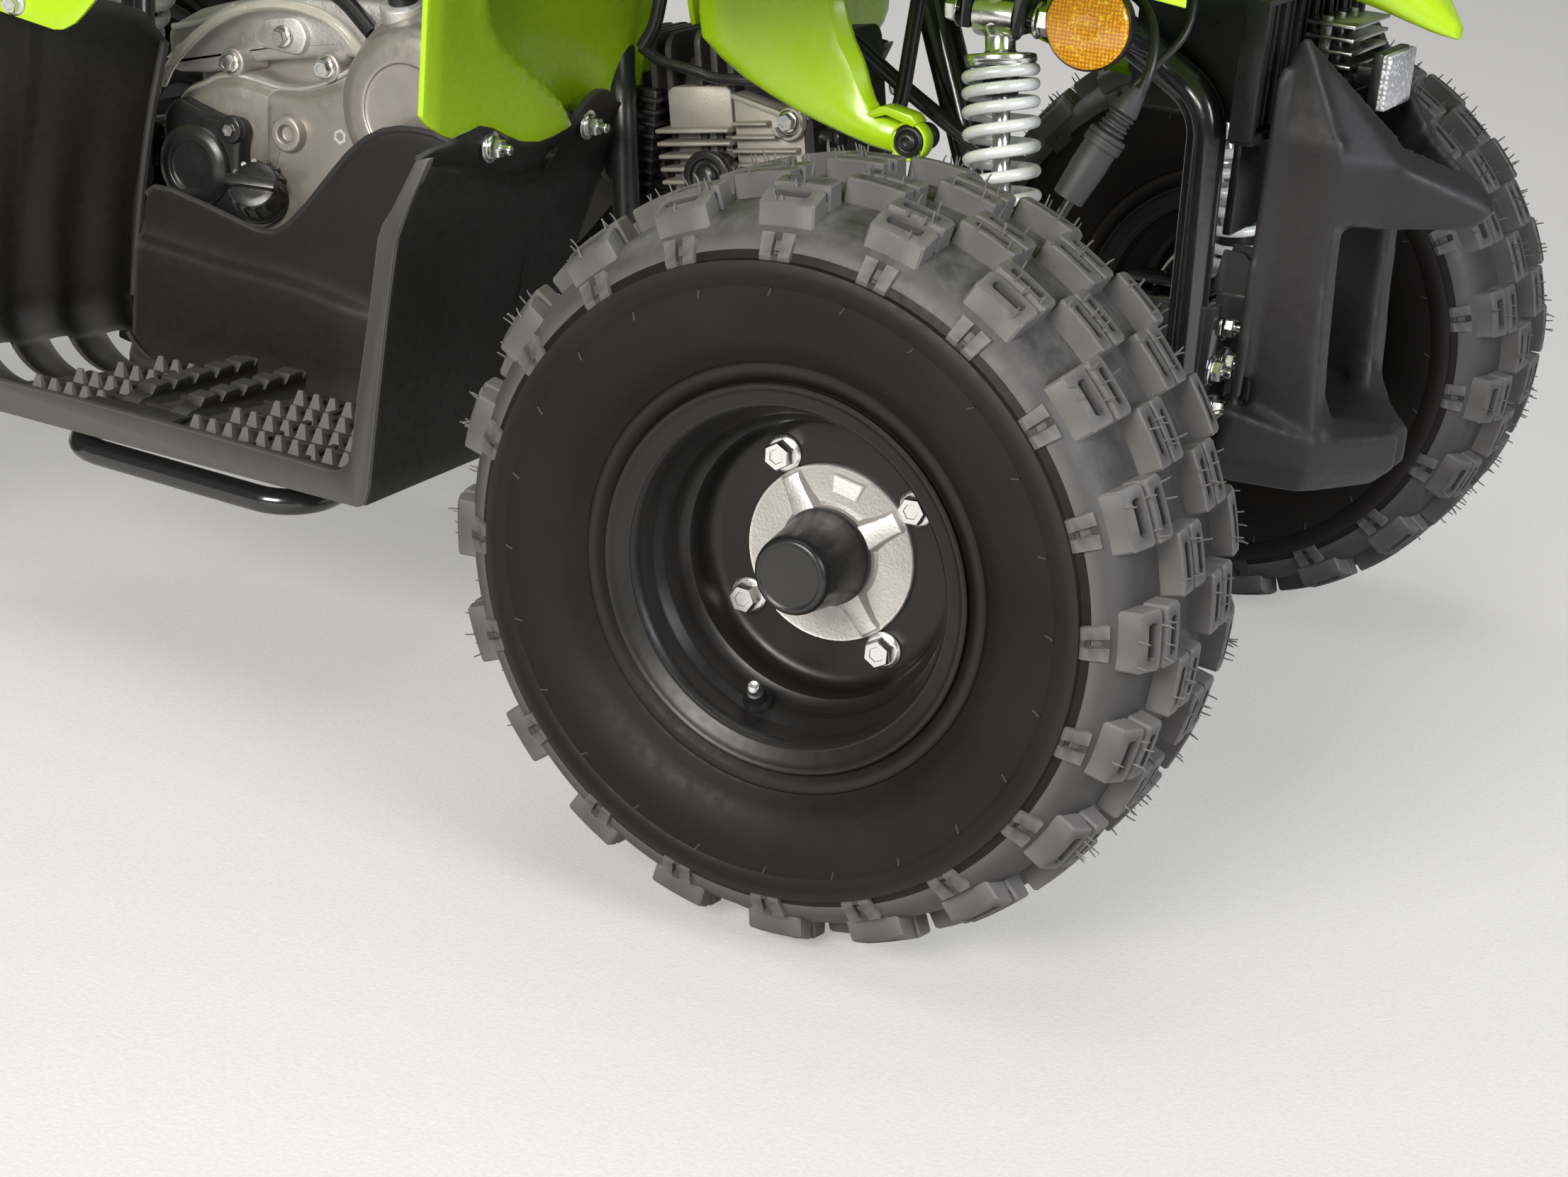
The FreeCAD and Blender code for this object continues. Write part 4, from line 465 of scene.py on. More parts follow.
# Soft rubber with rings moulded round it
M_GRIP, nt, bsdf, vec = material("grip_rubber")
feed(nt, bsdf, {"Base Color": ramp(nt, noise(nt, vec, 30), (0.3, (0.012,) * 3), (0.7, (0.022,) * 3)),
                "Roughness": value_ramp(nt, noise(nt, vec, 200, 2), 0.5, 0.66)})
rings = bump(nt, bsdf, bands(nt, vec, 62, "Y", 0.4), 0.9, 0.0016)
bump(nt, bsdf, noise(nt, vec, 1000), 0.25, 0.0003, rings)


# Wheels

def chain_at(table, t):
    """Value of a table of (t, value) rows at t, straight between rows and level beyond them."""
    if t <= table[0][0]:
        return table[0][1]
    for (a, fa), (b, fb) in zip(table, table[1:]):
        if t <= b:
            return fa + (fb - fa) * (t - a) / (b - a)
    return table[-1][1]


# Height of the lugs' tops over the axle by the share of the half width
LUG_TOP = [(0, 199.8), (0.42, 199.3), (0.62, 197.0), (0.75, 193.3), (0.86, 187.5), (1.0, 178)]
PITCHES = 20
TREAD_RADIUS = 197
LUG_HALF = 15.5
TYRE_STEPS = 160
AXLE_HEIGHT = 200
REAR_AXLE = (-455, 0, AXLE_HEIGHT)


class Wheel:
    """Places points given as angle, distance outboard and radius about one wheel's axle."""

    def __init__(self, x, y, half, rim_half):
        self.c = Vector((x, y, AXLE_HEIGHT))
        self.out = 1 if y > 0 else -1
        self.half = half
        self.rim = rim_half

    def at(self, angle, d, r):
        return (self.c.x + math.cos(angle) * r, self.c.y + self.out * d, self.c.z + math.sin(angle) * r)

    def way(self):
        return Vector((0, self.out, 0))


    def lug_top(self, d):
        return chain_at(LUG_TOP, abs(d / self.half))


def turned(build, w, profile):
    """A closed profile of (outboard, radius) points turned about the axle."""
    skin(build, [[w.at(2 * math.pi * k / TYRE_STEPS, d, r) for k in range(TYRE_STEPS)] for d, r in profile], True)


def crown_rows(half):
    return [(half - 6.4, 168), (half - 9.8, 174.5), (half - 16.5, 180.2), (half * 0.68, 183.8), (half * 0.5, 186.3),
            (half * 0.25, 187.8), (0, 188.2)]


def carcass(build, w):
    half, rim = w.half, w.rim
    outer = [
        (rim - 8, 92.0), (rim - 4.4, 92.4), (rim - 4.4, 100.8), (rim - 3.0, 103.2), (rim - 1.2, 105.4),
        (rim - 0.2, 108.4), (rim - 0.6, 110.6), (rim - 1.6, 111.6), (rim - 0.6, 113.4), (half - 10.8, 117),
        (half - 6.6, 124), (half - 3.2, 132), (half - 1.5, 140), (half - 0.9, 147), (half - 1.3, 151.2),
        (half - 0.1, 153.4), (half, 157), (half - 0.3, 160.8), (half - 1.3, 163.4), (half - 4.6, 164.0),
    ] + crown_rows(half)
    turned(build, w, outer + [(-d, r) for d, r in outer[-2::-1]])


def ring_points(u0, u1, v0, v1, cut, parts):
    us = [u0 + cut + (u1 - u0 - 2 * cut) * k / parts for k in range(parts + 1)]
    pts = [(u, v0) for u in us] + [(u1, v0 + cut), (u1, v1 - cut)]
    pts += [(u, v1) for u in us[::-1]] + [(u0, v1 - cut), (u0, v0 + cut)]
    return pts


def lug_block(build, w, mid, u_half, v0, v1, slot=True, top_gap=0.0):
    """A tread block with rounded edges and a rectangular slot. v is a share of the half width."""
    wide = (v1 - v0) * w.half
    levels = [(-1.6, -0.9, 17), (-0.2, -0.1, 1.0), (0.7, 0.6, 0.05)]
    if slot:
        long_in, wide_in = u_half * 0.38, wide * 0.31
        levels += [(long_in, wide_in, 0.0), (long_in + 0.3, wide_in + 0.3, 4.2)]
    else:
        levels += [(u_half * 0.5, wide * 0.4, 0.0)]
    rings = []
    for u_in, v_in, level in levels:
        points = ring_points(-u_half + u_in, u_half - u_in, v0 * w.half + v_in, v1 * w.half - v_in, 1.2, 3)
        rings.append([w.at(mid + u / TREAD_RADIUS, v, w.lug_top(v) - top_gap - level) for u, v in points])
    skin(build, rings)


def shoulder_land(build, w, mid, side, u_half):
    """The small low block between a tread block and the sidewall, with a short slit."""
    half = w.half
    rows = [(0.893, 169.5), (0.899, 176.6), (0.912, 174.8), (0.930, 171.8), (0.950, 168.4), (0.966, 166.0),
            (0.968, 161.5)]
    us = [-1.0, -0.93, -0.24, -0.18, 0.18, 0.24, 0.93, 1.0]
    verts = []
    for i, (share, r) in enumerate(rows):
        for j, u in enumerate(us):
            drop = 5.0 if j in (0, len(us) - 1) else 0
            if 2 <= i <= 4 and j in (3, 4):
                drop = 2.8
            if i == len(rows) - 1:
                drop += 1.2
            scale = 1 - 0.10 * i / len(rows)
            verts.append(w.at(mid + u * u_half * scale / 190, side * (share * half - drop * 0.5), r - drop * 0.8))
    build.add(verts, grid_faces(len(rows), len(us)))


def vent_hairs(build, w, mid, u_half, v0, v1, draws):
    for _ in range(3):
        angle = mid + draws.uniform(-u_half * 0.8, u_half * 0.8) / TREAD_RADIUS
        v = draws.choice((v0, v1)) * w.half + draws.uniform(-0.6, 0.6)
        long = draws.uniform(4.0, 6.5)
        lean_u, lean_v = draws.uniform(-1.3, 1.3), draws.uniform(-1.2, 1.2)
        if math.sin(angle) < -0.62:
            continue
        top = w.lug_top(v) - 0.5
        middle = w.at(angle + lean_u * 0.35 / TREAD_RADIUS, v + lean_v * 0.3, top + long * 0.55)
        tip = w.at(angle + lean_u / TREAD_RADIUS, max(-w.half + 1, min(w.half - 1, v + lean_v)), top + long)
        sweep(build, [w.at(angle, v, top), middle, tip], lambda t: 0.55 - 0.2 * t, 4)


def tyre(name, body, w):
    draws = random.Random("tread_" + name)
    build, wall = Build(), Build()
    carcass(wall, w)
    band = [(d, r + 0.25) for d, r in crown_rows(w.half)]
    band += [(-d, r) for d, r in band[-2::-1]]
    band += [(-d, r - 2.5) for d, r in band]
    turned(build, w, band)
    pitch = 2 * math.pi / PITCHES
    outer, inner = ((0.475, 0.63), (0.668, 0.822)), ((0.07, 0.225), (0.265, 0.42))
    for k in range(PITCHES):
        for phase, side, pairs in ((0.0, 1, outer), (0.5, 1, inner), (0.0, -1, inner), (0.5, -1, outer)):
            mid = (k + phase) * pitch + math.pi / 40
            low, high = sorted((side * pairs[0][0], side * pairs[1][1]))
            lug_block(build, w, mid, LUG_HALF - 0.6, low + 0.012, high - 0.012, False, 5.0)
            for pair in pairs:
                a, b = sorted(side * share for share in pair)
                lug_block(build, w, mid, LUG_HALF, a, b)
                vent_hairs(build, w, mid, LUG_HALF, a, b, draws)
            if pairs is outer:
                shoulder_land(build, w, mid, side, 10.5)
    for k in range(24):
        angle = 2 * math.pi * (k + 0.3) / 24
        for side in (1, -1):
            a = Vector(w.at(angle, side * (w.half - 0.75), 151.0))
            b = Vector(w.at(angle + 0.012, side * (w.half - 1.0), 147.0))
            sweep(wall, [a, (a + b) / 2, b], 0.55, 5)
    build.piece("tread_" + name, M_RUBBER, body, "tyre", 30)
    wall.piece("carcass_" + name, M_SIDEWALL, body, "tyre", 30, ("tyre_" + name,))


def rim(name, body, w):
    h = w.rim
    profile = [
        (88.6, h - 8), (88.8, h - 5.2), (99.2, h - 3.9), (100.3, h - 3.2), (100.9, h - 2.0), (100.8, h - 0.7),
        (99.9, h), (98.6, h - 0.2), (97.4, h - 1.4), (95.0, h - 3.2), (89.8, h - 5.0), (86.6, h - 7.5),
        (85.4, h - 12), (85.2, h - 20), (84.2, h - 22.5), (80.6, h - 25.5), (79.6, h - 28.5), (79.4, h - 36),
        (78.0, h - 39), (73.6, h - 41.5), (72.4, h - 45), (71.9, 17.5), (70.8, 12.2), (68.2, 9.6), (64.5, 8.9),
        (47.6, 9.0), (47.6, 5.0), (68, 5.0), (74, 4.0), (76.2, 0), (76.2, -h + 34), (89.0, -h + 22),
        (89.0, -h + 5), (100, -h + 4), (100.6, -h + 2), (100.0, -h + 0.1), (98.6, -h + 0.4), (96.6, -h + 3),
        (86, -h + 6), (84.8, -h + 22), (72, -h + 34), (72, -3), (72, 0.5), (76.2, 20), (80, h - 34), (89, h - 22),
    ]
    build = Build()
    lathe(build, profile, w.c, w.way(), 96, closed=True)
    build.piece("rim_dish_" + name, M_RIM, body, "wheel_black", 40, ("rim_" + name,))


def wheel_bolts(name, body, w, angles):
    build = Build()
    for a in angles:
        hex_head(build, w.at(a, 9.0, 56.5), w.way(), across=13.4, height=9.2, washer=10.2, dome=1.2, turn=a * 1.7)
    build.piece("wheel_bolts_" + name, M_BRIGHT, body, "alloy_parts", 30)


def valve(name, body, w, angle):
    foot = Vector(w.at(angle, 40, 79.5))
    way = Vector(w.at(angle, 50.5, 69.5)) - foot
    length = way.length + 4
    stem, top = Build(), Build()
    lathe(stem, rounded([(0.01, -2), (8.2, -2), (8.0, 2.0), (5.2, 5.5), (4.6, length * 0.72),
                         (0.01, length * 0.74)], 0.9, 2), foot, way, 24)
    stem.piece("valve_" + name, M_CABLE, body, "rubber", 40)
    lathe(top, rounded([(0.01, length * 0.7), (3.6, length * 0.7), (3.7, length), (2.9, length + 1.6),
                        (2.5, length + 1.7), (2.3, length + 0.7), (0.01, length + 0.7)], 0.4, 2), foot, way, 24)
    top.piece("valve_%s_cap" % name, M_BRIGHT, body, "alloy_parts", 40)


def hub(name, body, w, depth, nodes=()):
    """The cast hub with its four ribs and the pad between two of them."""
    build = Build()
    bore = 11
    profile = [(bore, 20), (23.5, 20.0), (25.4, 18.0), (26.2, 13.8), (28, 12.4), (44.6, 11.6), (46.4, 12.0),
               (47.0, 11.2), (47.0, 5.2), (68.0, 5.0), (68.0, 0.2), (61, 0), (61, -depth), (55, -depth), (55, -8),
               (22, -8), (22, -depth + 4), (bore, -depth + 4)]
    lathe(build, profile, w.c, w.way(), 72, closed=True)
    stations = ((20, 7.0, 19.4), (27, 6.25, 17.6), (34, 5.375, 16.4), (41, 5.0, 15.4), (44.6, 5.375, 14.6),
                (46.4, 5.75, 11.6))
    for angle in (0.62, 2.18, 3.77, 5.36):
        verts = []
        for r, half, d in stations:
            for off, drop in ((-1.45, 6.0), (-1.0, 0.5), (-0.82, 0.0), (0.82, 0.0), (1.0, 0.5), (1.45, 6.0)):
                t = off * half
                x, z = math.cos(angle) * r - math.sin(angle) * t, math.sin(angle) * r + math.cos(angle) * t
                verts.append((w.c.x + x, w.c.y + w.out * (d - drop), w.c.z + z))
        build.add(verts, grid_faces(len(stations), 6))
    pad = []
    for cut, d in ((0, 12.6), (0.7, 13.6)):
        for u, v in ((-1, -1), (1, -1), (1, 1), (-1, 1)):
            pad.append(w.at(1.4 + u * (8.0 - cut) / 38, d, 38 + v * (5.0 - cut)))
    build.add(pad, [(4, 5, 6, 7), (0, 1, 5, 4), (1, 2, 6, 5), (2, 3, 7, 6), (3, 0, 4, 7)])
    build.piece("hub_cast_" + name, M_CAST, body, "alloy_parts", 32, nodes)


def cap(name, body, w, tip, nodes=()):
    build = Build()
    lathe(build, rounded([(16, 14), (25.6, 14), (26.0, 19), (24.9, 21.5), (24.0, 26), (20.8, tip - 4.4),
                          (20.3, tip - 2.0), (18.6, tip - 0.2), (17.2, tip), (16.2, tip - 0.9),
                          (0.01, tip - 1.1)], 0.9, 2), w.c, w.way(), 56)
    build.piece("hub_cap_" + name, M_PLASTIC_SMOOTH, body, "wheel_black", 40, nodes)


BOLT_ANGLES = [math.radians(a) for a in (124.8, 37.5, -53.0, -142.5)]
for side, sign in (("right", -1), ("left", 1)):
    for end, w, body, turn, valve_angle in (
            ("front_", Wheel(445, 331 * sign, 82.5, 68), "wheel_front_" + side, 0, -104),
            ("rear_", Wheel(-455, 313 * sign, 100, 83), "rear_axle", 0.5, 60)):
        name = end + side
        tyre(name, body, w)
        rim(name, body, w)
        wheel_bolts(name, body, w, [a + turn for a in BOLT_ANGLES])
        valve(name, body, w, math.radians(valve_angle))
        if end == "front_":
            hub(name, body, w, 42, ("hub_" + name,))
            cap(name, body, w, 58, ("cap_" + name,))
        else:
            hub(name, body, w, 6)
            cap(name, body, w, 37)


# CAD shapes carried over with rounded edges: piece, node, material, width and segments of the bevel

for row in (
        ("frame_tubes", "frame", M_FRAME, 0.9, 1),
        ("front_arm_tubes", "front_arms", M_FRAME, 0.9, 1),
        ("swingarm_tubes", "swingarm", M_FRAME, 1.2, 2),
        ("knuckle_forging_right", "knuckle_right", M_FRAME, 1.2, 2),
        ("knuckle_forging_left", "knuckle_left", M_FRAME, 1.2, 2),
        ("track_rod_right", "tie_rod_right", M_STEEL_DARK, 0.8, 1),
        ("track_rod_left", "tie_rod_left", M_STEEL_DARK, 0.8, 1),
        ("engine_block", "engine_case", M_ENGINE, 4.0, 3),
        ("cylinder_fins", "cylinder", M_EXHAUST, 0.9, 1),
        ("head_fins", "cylinder_head", M_EXHAUST, 1.2, 2),
        ("airbox_and_carburettor", "intake", M_PLASTIC, 3.0, 3),
        ("exhaust_system", "exhaust", M_EXHAUST, 1.5, 2),
        ("steering_stem", "steering_column", M_FRAME, 1.5, 2),
        ("handlebar_tube", "handlebar", M_FRAME, 0.5, 1),
        ("rear_shock_body", "rear_damper", M_STEEL_DARK, 0.8, 1),
        ("rear_frame_tubes", "rear_frame", M_FRAME, 0.9, 1),
        ("grab_bar_tube", "grab_bar", M_FRAME, 0.9, 1),
        ("tow_bracket_welds", "tow_bracket", M_FRAME, 0.9, 1),
        ("foot_bar_tubes", "foot_bars", M_FRAME, 0.9, 1),
        ("lever_blades", "levers", M_CAST, 1.4, 2),
        ("taillight_lens", "taillight", M_RED_LENS, 2.0, 2),
        ("headlamp_lens", "headlamps", M_CLEAR, 1.0, 2),
        ("grip_sleeves", "grips", M_GRIP, 2.0, 3)):
    refined(*row)


# Both-sided pieces: each is drawn on the right side of the vehicle and flipped for the left

SIDES = (("right", 1), ("left", -1))


def soften(obj, width):
    """Rounds a finished piece's sharp edges. Width in millimetres."""
    round_edges(obj, width, 2, 30)
    shade(applied(obj, keep=True), 42)


def both(name, fill, mat, slot, nodes=(), bevel=0, angle=35):
    """A piece on each side. nodes may hold %s for the side's name."""
    for side, sign in SIDES:
        build = Build()
        fill(build)
        build.v = [(x, y * sign, z) for x, y, z in build.v]
        stood = tuple(n.replace("%s", side) for n in nodes if "%s" in n or side == "right")
        piece = build.piece(name + "_" + side, mat, "chassis", slot, angle, stood)
        if bevel:
            soften(piece, bevel)


def sheet(build, rows, thick, way=None):
    """A moulded skin through rows of points, thickened along its normals or along one way."""
    n, m = len(rows), len(rows[0])
    pts = [[Vector(p) for p in row] for row in rows]
    back = []
    for i in range(n):
        for j in range(m):
            if way:
                back.append(pts[i][j] + Vector(way))
                continue
            du = pts[min(i + 1, n - 1)][j] - pts[max(i - 1, 0)][j]
            dv = pts[i][min(j + 1, m - 1)] - pts[i][max(j - 1, 0)]
            back.append(pts[i][j] + du.cross(dv).normalized() * thick)
    faces = grid_faces(n, m)
    total = n * m
    faces += [tuple(total + k for k in f)[::-1] for f in faces]
    rim_loop = [(0, j) for j in range(m)] + [(i, m - 1) for i in range(1, n)]
    rim_loop += [(n - 1, j) for j in range(m - 2, -1, -1)] + [(i, 0) for i in range(n - 2, 0, -1)]
    ids = [i * m + j for i, j in rim_loop]
    for a, b in zip(ids, ids[1:] + ids[:1]):
        faces.append((a, b, total + b, total + a))
    build.add([p for row in pts for p in row] + back, faces)


def step_up(t, low, high):
    """Smooth 0 to 1 between two values."""
    s = max(0.0, min(1.0, (t - low) / (high - low)))
    return s * s * (3 - 2 * s)


# Footwells

WALL_TOP = [(-299, 350), (-287, 352.5), (-271, 353), (-258, 357), (-248, 359), (-236, 359.5), (-228, 356), (-208, 346),
            (-190, 341.5), (-175, 340), (-157, 341), (-142, 348), (-122, 360), (-110, 364), (-100, 363), (-95, 359),
            (-88, 354), (-79, 353)]
WALL_CREASE = [(-299, 347), (-292, 344), (-262, 334), (-232, 326), (-203, 319), (-180, 314), (-160, 313), (-135, 318),
               (-112, 325), (-98, 330), (-88, 334), (-74, 336)]
RIM_FRONT = [(138, 126), (148, 130), (180, 132), (258, 138), (301, 142.5), (321, 149), (350, 161)]


def front_wall(build):
    """The wall ahead of the foot: a plain face, a soft crease and the set-back tab that takes the nuts."""
    rows = []
    columns = 66
    for j in range(columns + 1):
        y = -299 + 221 * j / columns
        top = chain_at(WALL_TOP, y)
        crease = chain_at(WALL_CREASE, y)
        low_y = y if y < -112 else -112 + (y + 112) * 0.1
        row = []
        for k in range(19):
            t = k / 18
            z = 142 + (crease - 142) * t
            at_y = low_y + (y - low_y) * step_up(t, 0.35, 1.0)
            belly = 2.6 * math.sin(math.pi * t) * math.sin(math.pi * j / columns)
            row.append((chain_at(RIM_FRONT, z) + 2.2 - belly, at_y, z))
        for t, back in ((0.07, 0.4), (0.14, 1.8), (0.22, 3.6), (0.30, 4.4), (0.55, 4.6), (0.93, 4.5), (1.0, 5.0)):
            z = crease + (top - crease) * t
            row.append((chain_at(RIM_FRONT, z) + 2.2 - back, y, z))
        rows.append(row)
    sheet(build, rows, 0, (-4.2, 0, 0))


def edge_rim(build):
    """The pale edge strip, its paleness partly wear and partly painted light: up the front corner, round and back along
    the floor.
    """
    outer = [(-214, 141), (-214, 160.5), (-140, 161), (-85, 161.5), (21, 160.5), (100, 158.5)]
    for k in range(7):
        a = math.pi / 2 * k / 6
        outer.append((104 + 14 * math.sin(a), 172.5 - 14 * math.cos(a)))
    outer += [(121, 205), (127, 258), (131, 300), (134, 309), (139, 317), (154, 348), (163.5, 350.5), (151.5, 322),
              (145.5, 306), (143.5, 298), (138, 240), (131.5, 150), (129, 142.5), (124, 139.5)]
    prism(build, outer, 7.0, lambda u, v, w: (u, -300 + w, v))


def inner_wall(build):
    """The wall beside the engine, with its round hump and a soft ledge along the middle."""
    top_line = [(-150, 232), (-147, 254), (-141, 259), (-127, 259), (-100, 254), (-77, 249), (-58, 245), (-46, 246),
                (-36, 253), (-22, 268), (-5, 290), (8, 306), (20, 317), (32, 324), (44, 327.5), (58, 329), (70, 328.5),
                (83, 325), (100, 318), (118, 312), (134, 318), (150, 330), (158, 334)]
    ledge = [(-150, 224), (-121, 222), (-80, 219), (-40, 218), (-15, 216), (20, 211), (60, 205), (110, 200), (160, 198)]
    rows = []
    for k in range(78):
        x = -150 + 308 * k / 77
        top = chain_at(top_line, x)
        line = chain_at(ledge, x)
        fade = 1 - step_up(x, 5, 70)
        row = []
        for z, out in ((141, 11.5), (149, 11.5), (156, 9.0), (172, 8.2), (line - 18, 7.8), (line - 6, 7.6),
                       (line - 2.0, 7.0), (line + 0.2, 5.6), (line + 2.6, 2.6), (line + 5.0, 0.8), (line + 12, 0)):
            row.append((x, -154.5 - (out * fade if z > 160 else out * fade + out * (1 - fade) * 0.4), z))
        for t in (0.35, 0.65, 0.88, 0.96, 1.0):
            z = line + 12 + (top - line - 12) * t
            row.append((x, -154.5 + (1.2 if t == 1.0 else 0), z))
        rows.append([(min(x, chain_at(RIM_FRONT, z) + 0.5), y, z) for x, y, z in row] if x > 110 else row)
    sheet(build, rows, 0, (0, 4.0, 0))
    lip = [Vector((x, -153, chain_at(top_line, x) - 0.6)) for x in [-147 + 300 * k / 90 for k in range(91)]]
    sweep(build, lip, 2.4, 8)


def floor_edge(y):
    """Where the floor ends at the back, ahead of the slots under the heel."""
    return -110 - 62 * (-152 - y) / 145


def floor_plate(build):
    prism(build, [(128, -297), (128, -152), (floor_edge(-152), -152), (floor_edge(-297), -297)], 7.0,
          lambda u, v, w: (u, v, 141.5 + w))
    for y in (-276, -249, -222, -195, -168):
        block(build, (floor_edge(y) + 2, y - 2.2, 147), (124, y + 2.2, 151.5), 0.8)
    for x in (-100, 26, 66, 104):
        block(build, (x - 2.2, -292, 147), (x + 2.2, -157, 151), 0.8)


def wedge_tooth(build, x, y, z, long, wide, tall):
    """A cut pyramid: broad foot, narrow crown."""
    lx, ly = long / 2, wide / 2
    corners = ((-1, -1), (1, -1), (1, 1), (-1, 1))
    levels = ((lx, ly, 0), (lx * 0.96, ly * 0.95, 0.9), (long * 0.22, wide * 0.16, tall))
    skin(build, [[(x + u * half_x, y + v * half_y, z + lift) for u, v in corners] for half_x, half_y, lift in levels])


def floor_teeth(build):
    for number, y in enumerate((-265, -237, -209, -181)):
        for k in range(24):
            x = 92 - 12.2 * k + (0, -3, -6, -9)[number]
            lean_x = -26.5 + (y + 200) * 0.21
            lean_back = lean_x - 37.5
            if number and (abs(x - lean_x) < 17 or abs(x - lean_back) < 17 or lean_back < x < lean_x):
                continue
            if number == 0 and lean_back - 12 < x < lean_x + 12:
                continue
            if x < floor_edge(y) + 7:
                continue
            wedge_tooth(build, x, y, 148.5, 8.2, 5.0, 9.0)


def serrated_bars(build):
    """Two tall cross bars whose saw teeth rise towards the engine."""
    for x_outer, x_inner, peak in ((-76, -53, 174), (-39, -15, 172)):
        saw = [(-257, 148), (-256, 153), (-252, 155)]
        for k in range(6):
            y = -246 + 16.5 * k
            lift = 156 + 0.9 * k
            saw += [(y, lift), (y + 3.2, lift + 5.2), (y + 11.5, lift + 6.4), (y + 13.8, lift + 1.2)]
        saw = [p for p in saw if p[0] < -166]
        saw += [(-166, 161), (-159, peak - 3), (-155.5, peak), (-152, peak - 1), (-151, 148)]
        shift = [x_outer + (x_inner - x_outer) * (y + 257) / 106 for y, z in saw]
        rings = []
        for off, cut in ((-6.5, 1.0), (-5.5, 0), (5.5, 0), (6.5, 1.0)):
            rings.append([(s + off, y, z - (cut if z > 149 else 0)) for (y, z), s in zip(saw, shift)])
        skin(build, rings)
    block(build, (-92, -282, 147), (-24, -270, 156), 1.6)
    block(build, (-84, -270, 147), (-30, -256, 152), 1.6)


def heel_guard(build):
    """The panel behind the heel: soft upright ribs that deepen downwards and end as curved bars over slots."""
    top_line = [(0, 352), (0.10, 372), (0.22, 378), (0.55, 384), (0.8, 376), (0.93, 345), (1.0, 322)]
    ribs = 4
    bend = 40

    def spot(u, level):
        """level is a height above the bend, or below zero the share of the bend passed."""
        wave = math.cos(2 * math.pi * ribs * (u - 0.5 / ribs))
        y = -155 - 145 * u
        foot = -152 - 64 * u
        if level >= 0:
            z = 190 + level
            deep = 3.5 * (1 - step_up(z, 205, 330)) + 0.8 * (1 - step_up(z, 300, 372))
            lean_out = 14 * step_up(z, 230, 380) * (1 - u)
            inward = 10 * (1 - u) * step_up(z, 240, 350) if u < 0.5 else 0
            return (foot - deep * (1 - wave) * 0.5 + lean_out, y + inward, z)
        a = math.pi / 2 * -level
        deep = 6.6 * (1 - wave) * 0.5
        radius = bend + deep
        return (foot + bend - radius * math.cos(a), y - 3 * (1 - math.cos(a)), 190 - radius * math.sin(a))

    rows = []
    for j in range(65):
        u = j / 64
        top = chain_at(top_line, u) - 190
        row = [spot(u, top * (1 - k / 20)) for k in range(21)]
        row += [spot(u, -0.07 * k) for k in range(1, 7)]
        rows.append(row)
    sheet(build, rows, 0, (-4.0, 0, 0))
    for number in range(ribs + 1):
        u0, u1 = max(0.0, (number - 0.30) / ribs), min(1.0, (number + 0.30) / ribs)
        strip = [[spot(u0 + (u1 - u0) * j / 6, -0.40 - 0.06 * k) for k in range(11)] for j in range(7)]
        sheet(build, strip, 0, (-3.4, 0, -1.0))
    edge = [(-154, -156, 186), (-152, -155, 240), (-146, -153, 300), (-138, -149, 352)]
    sweep(build, smooth_path(edge, 8), 3.2, 8)


def footwell(build):
    front_wall(build)
    inner_wall(build)
    floor_plate(build)
    serrated_bars(build)
    heel_guard(build)
    block(build, (-60, -160, 142), (24, -134, 148), 1.2)


both("footwell_moulding", footwell, M_PLASTIC, "black_plastic", nodes=("footwell_%s",), angle=32)
# The edge strip and the floor teeth are paler than the moulding: wear and painted light.
both("footwell_edge", edge_rim, M_WORN_PAINTED_LIGHT_PLASTIC, "black_plastic", bevel=1.8)
both("footwell_teeth", floor_teeth, M_WORN_PAINTED_LIGHT_PLASTIC, "black_plastic", angle=20)


def shield_nuts(build):
    for y, z in ((-229, 346), (-120, 344)):
        x = chain_at(RIM_FRONT, z) - 2.2
        lathe(build, rounded([(0.01, 0), (9.2, 0), (9.2, 1.4), (5.2, 1.8), (0.01, 1.8)], 0.5, 2), (x, y, z),
              (1, 0, 0), 28)
        hex_head(build, (x + 1.4, y, z), (1, 0, 0), across=10, height=7.4, washer=6.9, turn=0.5 + z, stem=3.0)


both("shield_nuts", shield_nuts, M_BRIGHT, "alloy_parts")


# Green leg shields

SHIELD_LOW = [(-298, 372), (-292, 366), (-282, 360.5), (-271, 356.5), (-256, 358), (-243, 360), (-229, 357),
              (-212, 350), (-196, 344.5), (-178, 342), (-161, 343), (-148, 346), (-130, 350), (-116, 349), (-105, 348),
              (-92, 346), (-74, 345), (-60, 346), (-48, 350), (-38, 357), (-30, 369), (-24, 386), (-19, 402)]


def shield_front(y, z):
    """Front face of the leg shield: a raised outer field beside a soft recess, its top leaning back."""
    edge = chain_at([(340, -135), (361, -152), (377, -179), (393, -208), (404, -224), (417, -235), (430, -239),
                     (450, -237), (540, -226)], z)
    deep = step_up(y, edge - 3, edge + 15)
    x = 158.8 - 17 * deep * (1 - step_up(z, 470, 520)) * (1 - 0.45 * step_up(y, edge + 20, -70))
    x += 1.0 * math.exp(-((y - edge + 8) / 8) ** 2) * (1 - step_up(z, 470, 520))
    x -= 2.2 * step_up(-y, 284, 300) + 3.0 * step_up(y, -30, -18)
    return x - 9 * step_up(z, 470, 525)


